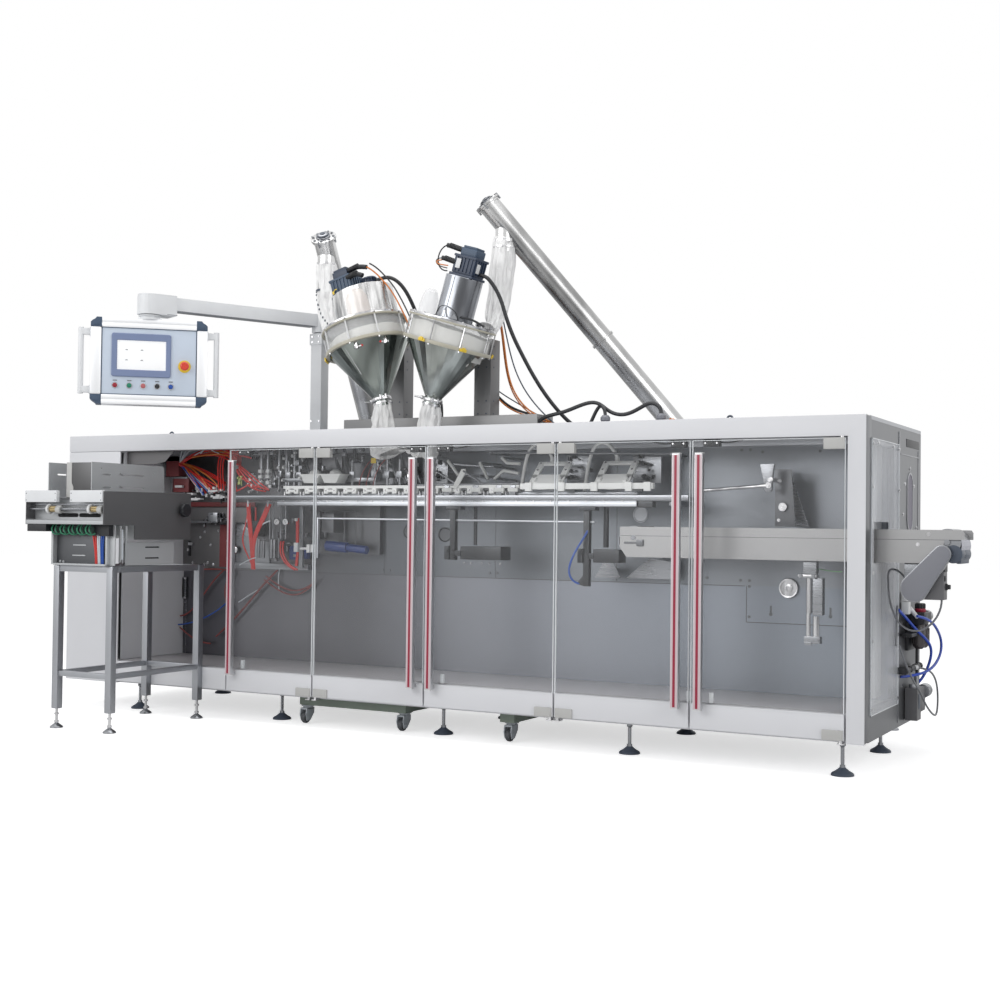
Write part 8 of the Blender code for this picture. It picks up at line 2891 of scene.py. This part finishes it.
lower = Bench()
lower.box((x0 + 0.002, x0 + 0.054), (0.682, 0.760), (0.152, 0.288), 0.005)
lower.box((x0 + 0.004, x0 + 0.050), (0.764, 0.868), (0.180, 0.282), 0.005)
lower.piece("lower_regulator", CONTROL_GREY)
glass = Bench()
glass.rod((x0 + 0.045, 0.9242, 0.580), (x0 + 0.045, 0.9252, 0.580), 0.0225, 32)
glass.rod((x0 + 0.038, 0.9342, 0.258), (x0 + 0.038, 0.9352, 0.258), 0.0265, 32)
glass.rod((x0 + 0.0742, 0.755, 0.578), (x0 + 0.0765, 0.755, 0.578), 0.0150, 28)
glass.box((x0 + 0.054, x0 + 0.0552), (0.700, 0.740), (0.200, 0.262), 0.001)
glass.piece("air_gauge_dark_faces", CUP)
blue = Bench()
blue.curve([(x0 + 0.010, 0.520, 0.622), (x0 + 0.030, 0.600, 0.580), (x0 + 0.040, 0.690, 0.535),
            (x0 + 0.085, 0.770, 0.480), (x0 + 0.090, 0.806, 0.430), (x0 + 0.070, 0.812, 0.360),
            (x0 + 0.050, 0.790, 0.316), (x0 + 0.034, 0.786, 0.300)], 0.0060)
blue.curve([(x0 + 0.060, 0.640, 0.592), (x0 + 0.095, 0.720, 0.580), (x0 + 0.100, 0.860, 0.530),
            (x0 + 0.100, 0.960, 0.470), (x0 + 0.100, 0.940, 0.415), (x0 + 0.100, 0.820, 0.378),
            (x0 + 0.090, 0.700, 0.356), (x0 + 0.050, 0.620, 0.346), (x0 + 0.004, 0.590, 0.342)],
            0.0058)
blue.piece("air_hoses_blue_end", HOSE_BLUE)
grey = Bench()
grey.curve([(x0 + 0.046, 0.726, 0.372), (x0 + 0.075, 0.800, 0.360), (x0 + 0.080, 0.900, 0.330),
            (x0 + 0.080, 0.975, 0.270), (x0 + 0.080, 0.984, 0.200), (x0 + 0.080, 0.960, 0.150),
            (x0 + 0.080, 0.900, 0.150), (x0 + 0.070, 0.780, 0.205), (x0 + 0.070, 0.680, 0.270),
            (x0 + 0.060, 0.575, 0.328), (x0 + 0.050, 0.510, 0.385), (x0 + 0.040, 0.460, 0.440),
            (x0 + 0.030, 0.452, 0.480)], 0.0042)
grey.curve([(x0 + 0.016, 0.450, 0.480), (x0 + 0.014, 0.470, 0.500), (x0 + 0.010, 0.500, 0.640)],
           0.0042)
grey.piece("air_hose_grey", CABLE_GREY)

# %% [markdown] ## Cables that hang free A cable isn't a bent rod. It leaves its terminal
# straight, sags under its own weight and goes back into the machine. Three come down
# behind the right sleeve from the head of the right screw feeder, and three more come from
# behind a column.


# %% A cord from its route
def free_cord(name, route, radius, finish, node_name=None):
    """A hanging cable through the route's points, both of its ends on the machine."""
    data = bpy.data.curves.new(name, "CURVE")
    data.dimensions, data.bevel_resolution = "3D", 3
    data.use_fill_caps, data.resolution_u = True, 6
    line = data.splines.new("NURBS")
    line.points.add(len(route) - 1)
    for spot, place in zip(line.points, route):
        spot.co = (*(Vector(place) + Vector(SHIFT)), 1)
    line.use_endpoint_u, line.order_u = True, 4
    holder = bpy.data.objects.new("bare", data)
    bare = bpy.data.meshes.new_from_object(holder)
    bpy.data.objects.remove(holder)
    bpy.data.meshes.remove(bare)
    data.bevel_depth = radius
    data.materials.append(finish)
    cable = bpy.data.objects.new(name, data)
    bpy.context.scene.collection.objects.link(cable)
    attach(cable, "machine")
    if node_name:
        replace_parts(cable, node_name)


# %% Routes of the cables
def motor_lead(side, own, rest):
    """A lead's points: first in the leaning filler's frame, then from the roof up."""
    lean = leaning(side)
    return ([lean @ Vector((x, 0, height)) for x, height in own]
            + [Vector((x, y, ROOF + height)) for x, y, height in rest])


free_cord("motor_lead_left", motor_lead("left", (
    (0.1275, 0.548), (0.165, 0.548), (0.205, 0.540)), (
    (1.845, 0.275, 0.700), (1.880, 0.315, 0.615), (1.905, 0.370, 0.485), (1.922, 0.430, 0.355),
    (1.925, 0.490, 0.215), (1.925, 0.520, 0.140), (1.925, 0.520, 0.102), (1.925, 0.520, 0.0828))),
    0.0090, BLACK, "filler_lead_left")
free_cord("motor_lead_right", motor_lead("right", (
    (0.0745, 0.600), (0.096, 0.600), (0.120, 0.600)), (
    (2.372, 0.275, 0.610), (2.392, 0.282, 0.535), (2.410, 0.300, 0.465), (2.428, 0.322, 0.405),
    (2.448, 0.348, 0.350), (2.474, 0.380, 0.280), (2.508, 0.415, 0.205), (2.545, 0.455, 0.135),
    (2.588, 0.500, 0.070), (2.622, 0.535, 0.030), (2.650, 0.560, 0.0095))), 0.0088, BLACK,
    "filler_lead_right")
free_cord("feeder_cable_orange", (
    (2.262, 0.590, 2.368), (2.240, 0.622, 2.290), (2.205, 0.630, 2.180), (2.198, 0.610, 2.060),
    (2.211, 0.565, 1.974), (2.239, 0.551, 1.877), (2.257, 0.543, 1.782), (2.276, 0.534, 1.682),
    (2.311, 0.526, 1.585), (2.378, 0.517, 1.504), (2.458, 0.509, 1.458), (2.546, 0.500, 1.424),
    (2.600, 0.500, 1.398), (2.640, 0.500, 1.3905)), 0.0040, ORANGE)
free_cord("feeder_cable_orange_thin", (
    (2.258, 0.586, 2.368), (2.232, 0.618, 2.290), (2.197, 0.622, 2.180), (2.190, 0.606, 2.060),
    (2.204, 0.570, 1.970), (2.231, 0.556, 1.872), (2.248, 0.548, 1.776), (2.268, 0.539, 1.676),
    (2.304, 0.530, 1.576), (2.372, 0.520, 1.496), (2.450, 0.512, 1.450), (2.530, 0.505, 1.418),
    (2.585, 0.505, 1.395), (2.620, 0.505, 1.3895)), 0.0032, ORANGE)
free_cord("feeder_cable_grey", (
    (2.268, 0.594, 2.366), (2.250, 0.626, 2.290), (2.216, 0.634, 2.180), (2.208, 0.614, 2.070),
    (2.223, 0.562, 1.984), (2.248, 0.550, 1.904), (2.280, 0.540, 1.792), (2.317, 0.530, 1.685),
    (2.379, 0.520, 1.579), (2.457, 0.510, 1.495), (2.534, 0.500, 1.430), (2.580, 0.495, 1.398),
    (2.615, 0.495, 1.3895)), 0.0034, CUP)
free_cord("column_cable_black", (
    (2.140, 0.600, 1.650), (2.170, 0.590, 1.595), (2.215, 0.580, 1.557), (2.266, 0.572, 1.517),
    (2.344, 0.565, 1.486), (2.428, 0.558, 1.467), (2.474, 0.550, 1.452), (2.530, 0.540, 1.410),
    (2.570, 0.540, 1.393)), 0.0058, BLACK)
free_cord("column_cable_orange", (
    (2.140, 0.592, 1.640), (2.172, 0.584, 1.585), (2.217, 0.574, 1.547), (2.268, 0.566, 1.507),
    (2.346, 0.559, 1.475), (2.430, 0.552, 1.455), (2.486, 0.540, 1.438), (2.545, 0.530, 1.402),
    (2.585, 0.530, 1.3895)), 0.0034, ORANGE)
free_cord("column_cable_grey", (
    (2.140, 0.605, 1.660), (2.170, 0.595, 1.615), (2.215, 0.580, 1.585), (2.292, 0.570, 1.543),
    (2.371, 0.560, 1.501), (2.462, 0.550, 1.455), (2.503, 0.540, 1.434), (2.550, 0.530, 1.400),
    (2.595, 0.520, 1.3895)), 0.0030, CUP)
free_cord("roof_hose_black", (
    (2.440, 0.480, 1.3955), (2.462, 0.475, 1.420), (2.500, 0.460, 1.450), (2.560, 0.450, 1.460),
    (2.625, 0.450, 1.472), (2.690, 0.450, 1.496), (2.745, 0.450, 1.512), (2.790, 0.450, 1.508),
    (2.828, 0.450, 1.476), (2.863, 0.450, 1.456), (2.906, 0.450, 1.448), (2.949, 0.450, 1.457),
    (2.992, 0.446, 1.477), (3.026, 0.440, 1.493), (3.058, 0.434, 1.498), (3.088, 0.428, 1.484),
    (3.101, 0.424, 1.466), (3.104, 0.420, 1.448), (3.104, 0.420, 1.424), (3.104, 0.420, 1.396)),
    0.0088, BLACK)
free_cord("roof_hose_short", (
    (2.740, 0.450, 1.3945), (2.748, 0.450, 1.410), (2.760, 0.450, 1.435), (2.775, 0.450, 1.466),
    (2.790, 0.450, 1.488), (2.806, 0.442, 1.494), (2.822, 0.432, 1.484), (2.832, 0.424, 1.468),
    (2.837, 0.420, 1.450), (2.837, 0.420, 1.424), (2.837, 0.420, 1.396)), 0.0080, BLACK)

# %% [markdown]
# Two glands on small plates take the hoses into the roof, and loops of orange wire lie
# beside the second one. Two thin wires leave the left filler's motor.

# %% Roof glands and wire loops
glands, plates_under = Bench(), Bench()
for x in (2.837, 3.104):
    plates_under.box((x - 0.036, x + 0.036), (0.388, 0.452), (ROOF + 0.0004, ROOF + 0.008), 0.002)
    glands.turned([(0.024, ROOF + 0.008), (0.024, ROOF + 0.030), (0.018, ROOF + 0.034),
                   (0.022, ROOF + 0.040), (0.022, ROOF + 0.052), (0.014, ROOF + 0.062),
                   (0.0, ROOF + 0.062)], (x, 0.420, 0), sides=28)
    for angle in range(0, 360, 30):
        way = Vector((math.cos(math.radians(angle)), math.sin(math.radians(angle)), 0))
        spot = Vector((x, 0.420, 0)) + way * 0.0235
        glands.box((spot.x - 0.003, spot.x + 0.003), (spot.y - 0.003, spot.y + 0.003),
                   (ROOF + 0.010, ROOF + 0.028), 0.001)
glands.piece("roof_glands", DRIVE_GREY)
plates_under.piece("roof_gland_plates", DARK_SHEET)
tangle = Bench()
for turn in range(5):
    angle = 0.9 * turn
    tangle.curve([(3.150 + 0.018 * math.cos(angle + step) + 0.004 * turn,
                   0.420 + 0.016 * math.sin(angle + step),
                   ROOF + 0.010 + 0.030 * abs(math.sin(0.9 * step + angle)))
                  for step in range(6)], 0.0028)
tangle.piece("roof_wire_loops", ORANGE)
lean = leaning("left")
for name, shift, finish in (("orange", 0.0, ORANGE), ("black", 0.016, BLACK)):
    spots = [lean @ Vector(spot) for spot in ((0.108, -0.030, 0.618), (0.140, -0.030, 0.590),
                                              (0.180, -0.028, 0.520), (0.225, -0.026, 0.430))]
    spots.append(Vector((1.928, POUCH_Y - 0.020, ROOF + 0.470)))
    wires = Bench()
    wires.curve([spot + Vector((shift, 0, shift)) for spot in spots], 0.0036)
    wires.piece(f"motor_wire_{name}", finish)

# %% [markdown]
# ## Back, left end and roof
# The picture doesn't show these sides, so they are finished the way such cabinets are:
# a row of lift-off doors with two locks each, pressed vents low down, and folded edges.
# Nothing here has a shape that needs inventing, only seams, locks and screws.

# %% Cabinet doors on the back
doors_back, gaps_back, locks, vents = Bench(), Bench(), Bench(), Bench()
back = BODY_DEPTH
DOOR_LOW, DOOR_HIGH = DECK + 0.030, ROOF - 0.045
edges_x = [0.020 + (BODY_LENGTH - 0.060) * step / 5 for step in range(6)]
for low, high in zip(edges_x, edges_x[1:]):
    doors_back.box((low + 0.003, high - 0.003), (back, back + 0.0022), (DOOR_LOW, DOOR_HIGH), 0.001)
    gaps_back.box((low - 0.0018, low + 0.0018), (back - 0.001, back + 0.0004),
                  (DOOR_LOW, DOOR_HIGH))
    for z in (DOOR_LOW + 0.230, DOOR_HIGH - 0.180):
        locks.turned([(0, 0), (0.0165, 0), (0.0165, 0.004), (0.0135, 0.0065), (0, 0.0065)],
                     (high - 0.050, back + 0.0022, z), (0, 1, 0), 28)
        locks.box((high - 0.0515, high - 0.0485), (back + 0.0080, back + 0.0096),
                  (z - 0.009, z + 0.009),
                  0.0006)
    for z in (DOOR_LOW + 0.080, (DOOR_LOW + DOOR_HIGH) / 2, DOOR_HIGH - 0.080):
        locks.rod((low + 0.004, back + 0.0050, z - 0.026), (low + 0.004, back + 0.0050, z + 0.026),
                  0.0048, 14, round_by=0.001)
    for column in (0.20, 0.52):
        for step in range(9):
            x, z = low + column, DOOR_LOW + 0.070 + 0.020 * step
            vents.box((x, x + 0.170), (back + 0.0010, back + 0.0075), (z, z + 0.0105), 0.0045)
gaps_back.box((edges_x[-1] - 0.0018, edges_x[-1] + 0.0018), (back - 0.001, back + 0.0004),
              (DOOR_LOW, DOOR_HIGH))
gaps_back.box((0.018, BODY_LENGTH - 0.038), (back - 0.001, back + 0.0004),
              (DOOR_LOW - 0.003, DOOR_LOW))
gaps_back.box((0.018, BODY_LENGTH - 0.038), (back - 0.001, back + 0.0004),
              (DOOR_HIGH, DOOR_HIGH + 0.003))
doors_back.piece("cabinet_doors", STEEL_UP)
gaps_back.piece("cabinet_gaps", CUP)
vents.piece("cabinet_vents", STEEL_UP)
locks.piece("cabinet_locks", CHROME)

# %% Left end
left_end, left_vents, left_locks = Bench(), Bench(), Bench()
left_end.box((-0.0020, 0.0), (0.030, 0.462), (DECK + 0.030, RAIL_LOW - 0.030), 0.0009)
left_end.piece("left_end_cover", WHITE)
left_vents.box((-0.0020, 0.0), (0.528, 0.960), (DECK + 0.030, ROOF - 0.050), 0.0009)
for step in range(10):
    z = DECK + 0.110 + 0.022 * step
    left_vents.box((-0.0080, -0.0010), (0.620, 0.870), (z, z + 0.011), 0.0045)
left_vents.piece("left_end_cabinet_cover", STEEL_UP)
for y, z in ((0.050, DECK + 0.055), (0.442, DECK + 0.055), (0.050, RAIL_LOW - 0.055),
             (0.442, RAIL_LOW - 0.055), (0.050, 0.780), (0.442, 0.780), (0.548, DECK + 0.055),
             (0.940, DECK + 0.055), (0.548, ROOF - 0.075), (0.940, ROOF - 0.075), (0.548, 0.800),
             (0.940, 0.800)):
    left_locks.bolt((-0.0020, y, z), (-1, 0, 0), 0.0055, 0.004)
left_locks.piece("left_end_screws", CHROME)

# %% Roof sheets, their seams and screws
roof, roof_screws = Bench(), Bench()
for low, high in ((0.006, 1.390), (2.490, 4.090)):
    roof.box((low, high), (RAIL_DEPTH + 0.006, BODY_DEPTH - 0.006), (ROOF, ROOF + 0.0016), 0.0007)
    for share in range(7):
        x = low + 0.030 + (high - low - 0.060) * share / 6
        roof_screws.bolt((x, BODY_DEPTH - 0.022, ROOF + 0.0016), (0, 0, 1), 0.0050, 0.004)
roof.piece("roof_sheets", ROOF_SHEET)
roof_screws.piece("roof_screws", CHROME)
print("back, left end and roof dressed")

# %% [markdown]
# ## Floor, light and backdrop
# The machine stands on a plain floor in front of white. To keep paint from washing out,
# the lights stay at a level where a colour looks as it is written, and the white comes
# from the floor and the world as the camera sees them, not from extra light.

# %% Floor that looks white and keeps the shadow
def floor_finish():
    recipe = Recipe("studio floor", Roughness=0.9)
    cloud = recipe.noise(0.6, 2)
    recipe.feed(recipe.shader.inputs["Base Color"],
                recipe.blend(cloud, (0.80, 0.80, 0.80), (0.82, 0.82, 0.82)))
    rays = recipe.node("ShaderNodeLightPath").socket.node.outputs
    seen = Shade(recipe, rays["Is Camera Ray"])
    lit = recipe.node("ShaderNodeMath", {"operation": "MULTIPLY"}, {0: seen, 1: 0.58})
    recipe.feed(recipe.shader.inputs["Emission Strength"], lit)
    recipe.shader.inputs["Emission Color"].default_value = (1, 1, 1, 1)
    return recipe.material


floor_mesh = bpy.data.meshes.new("floor")
shape = bmesh.new()
bmesh.ops.create_grid(shape, x_segments=1, y_segments=1, size=30)
shape.to_mesh(floor_mesh)
shape.free()
floor_mesh.materials.append(floor_finish())
floor = bpy.data.objects.new("floor", floor_mesh)
bpy.context.scene.collection.objects.link(floor)
floor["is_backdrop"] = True

# %% World: white to the camera and in reflections, softer as light
world = bpy.data.worlds.new("studio")
bpy.context.scene.world = world
world.use_nodes = True
tree = world.node_tree
backdrop = tree.nodes["Background"]
backdrop.inputs["Color"].default_value = (1, 1, 1, 1)
rays = tree.nodes.new("ShaderNodeLightPath")
seen = tree.nodes.new("ShaderNodeMath")
seen.operation = "MAXIMUM"
tree.links.new(rays.outputs["Is Camera Ray"], seen.inputs[0])
tree.links.new(rays.outputs["Is Transmission Ray"], seen.inputs[1])
mirrored = tree.nodes.new("ShaderNodeMath")
mirrored.operation = "MAXIMUM"
tree.links.new(seen.outputs[0], mirrored.inputs[0])
tree.links.new(rays.outputs["Is Glossy Ray"], mirrored.inputs[1])
level = tree.nodes.new("ShaderNodeMapRange")
tree.links.new(mirrored.outputs[0], level.inputs[0])
level.inputs[3].default_value = 0.46
level.inputs[4].default_value = 1.0
tree.links.new(level.outputs[0], backdrop.inputs["Strength"])


# %% [markdown]
# Three large soft lamps do the rest: one above, one from the front left and a weaker
# one from the right. They face the machine, and they are as large as it is, so every
# shadow has a soft edge.

# %% Lamps
def lamp(name, where, aim, size, power):
    light = bpy.data.lights.new(name, "AREA")
    light.shape, light.size, light.size_y, light.energy = "RECTANGLE", size[0], size[1], power
    made = bpy.data.objects.new(name, light)
    bpy.context.scene.collection.objects.link(made)
    made.location = where
    made.rotation_euler = (Vector(aim) - Vector(where)).to_track_quat("-Z", "Y").to_euler()
    return made


lamp("lamp_above", (0.0, -1.0, 5.5), (0, 0, 1), (6.0, 3.0), 125)
lamp("lamp_front", (-2.6, -6.3, 3.2), (-0.4, 0, 1.0), (6.0, 3.0), 165)
lamp("lamp_right", (5.5, -2.5, 3.0), (0.5, 0, 1.0), (3.0, 3.0), 75)
bpy.context.scene.view_settings.view_transform = "Standard"

# %% [markdown]
# ## Sizes at the end
# The box of the dressed machine is printed beside the box of its solids, which it should
# not pass apart from cloth and thin trim.

# %% Sizes and the end
dressed_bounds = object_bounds()
for axis, low, high, dressed_low, dressed_high in zip("XYZ", *solid_bounds, *dressed_bounds):
    print(f"{axis}: solids {low:.3f} to {high:.3f}, dressed {dressed_low:.3f} to "
          f"{dressed_high:.3f}")
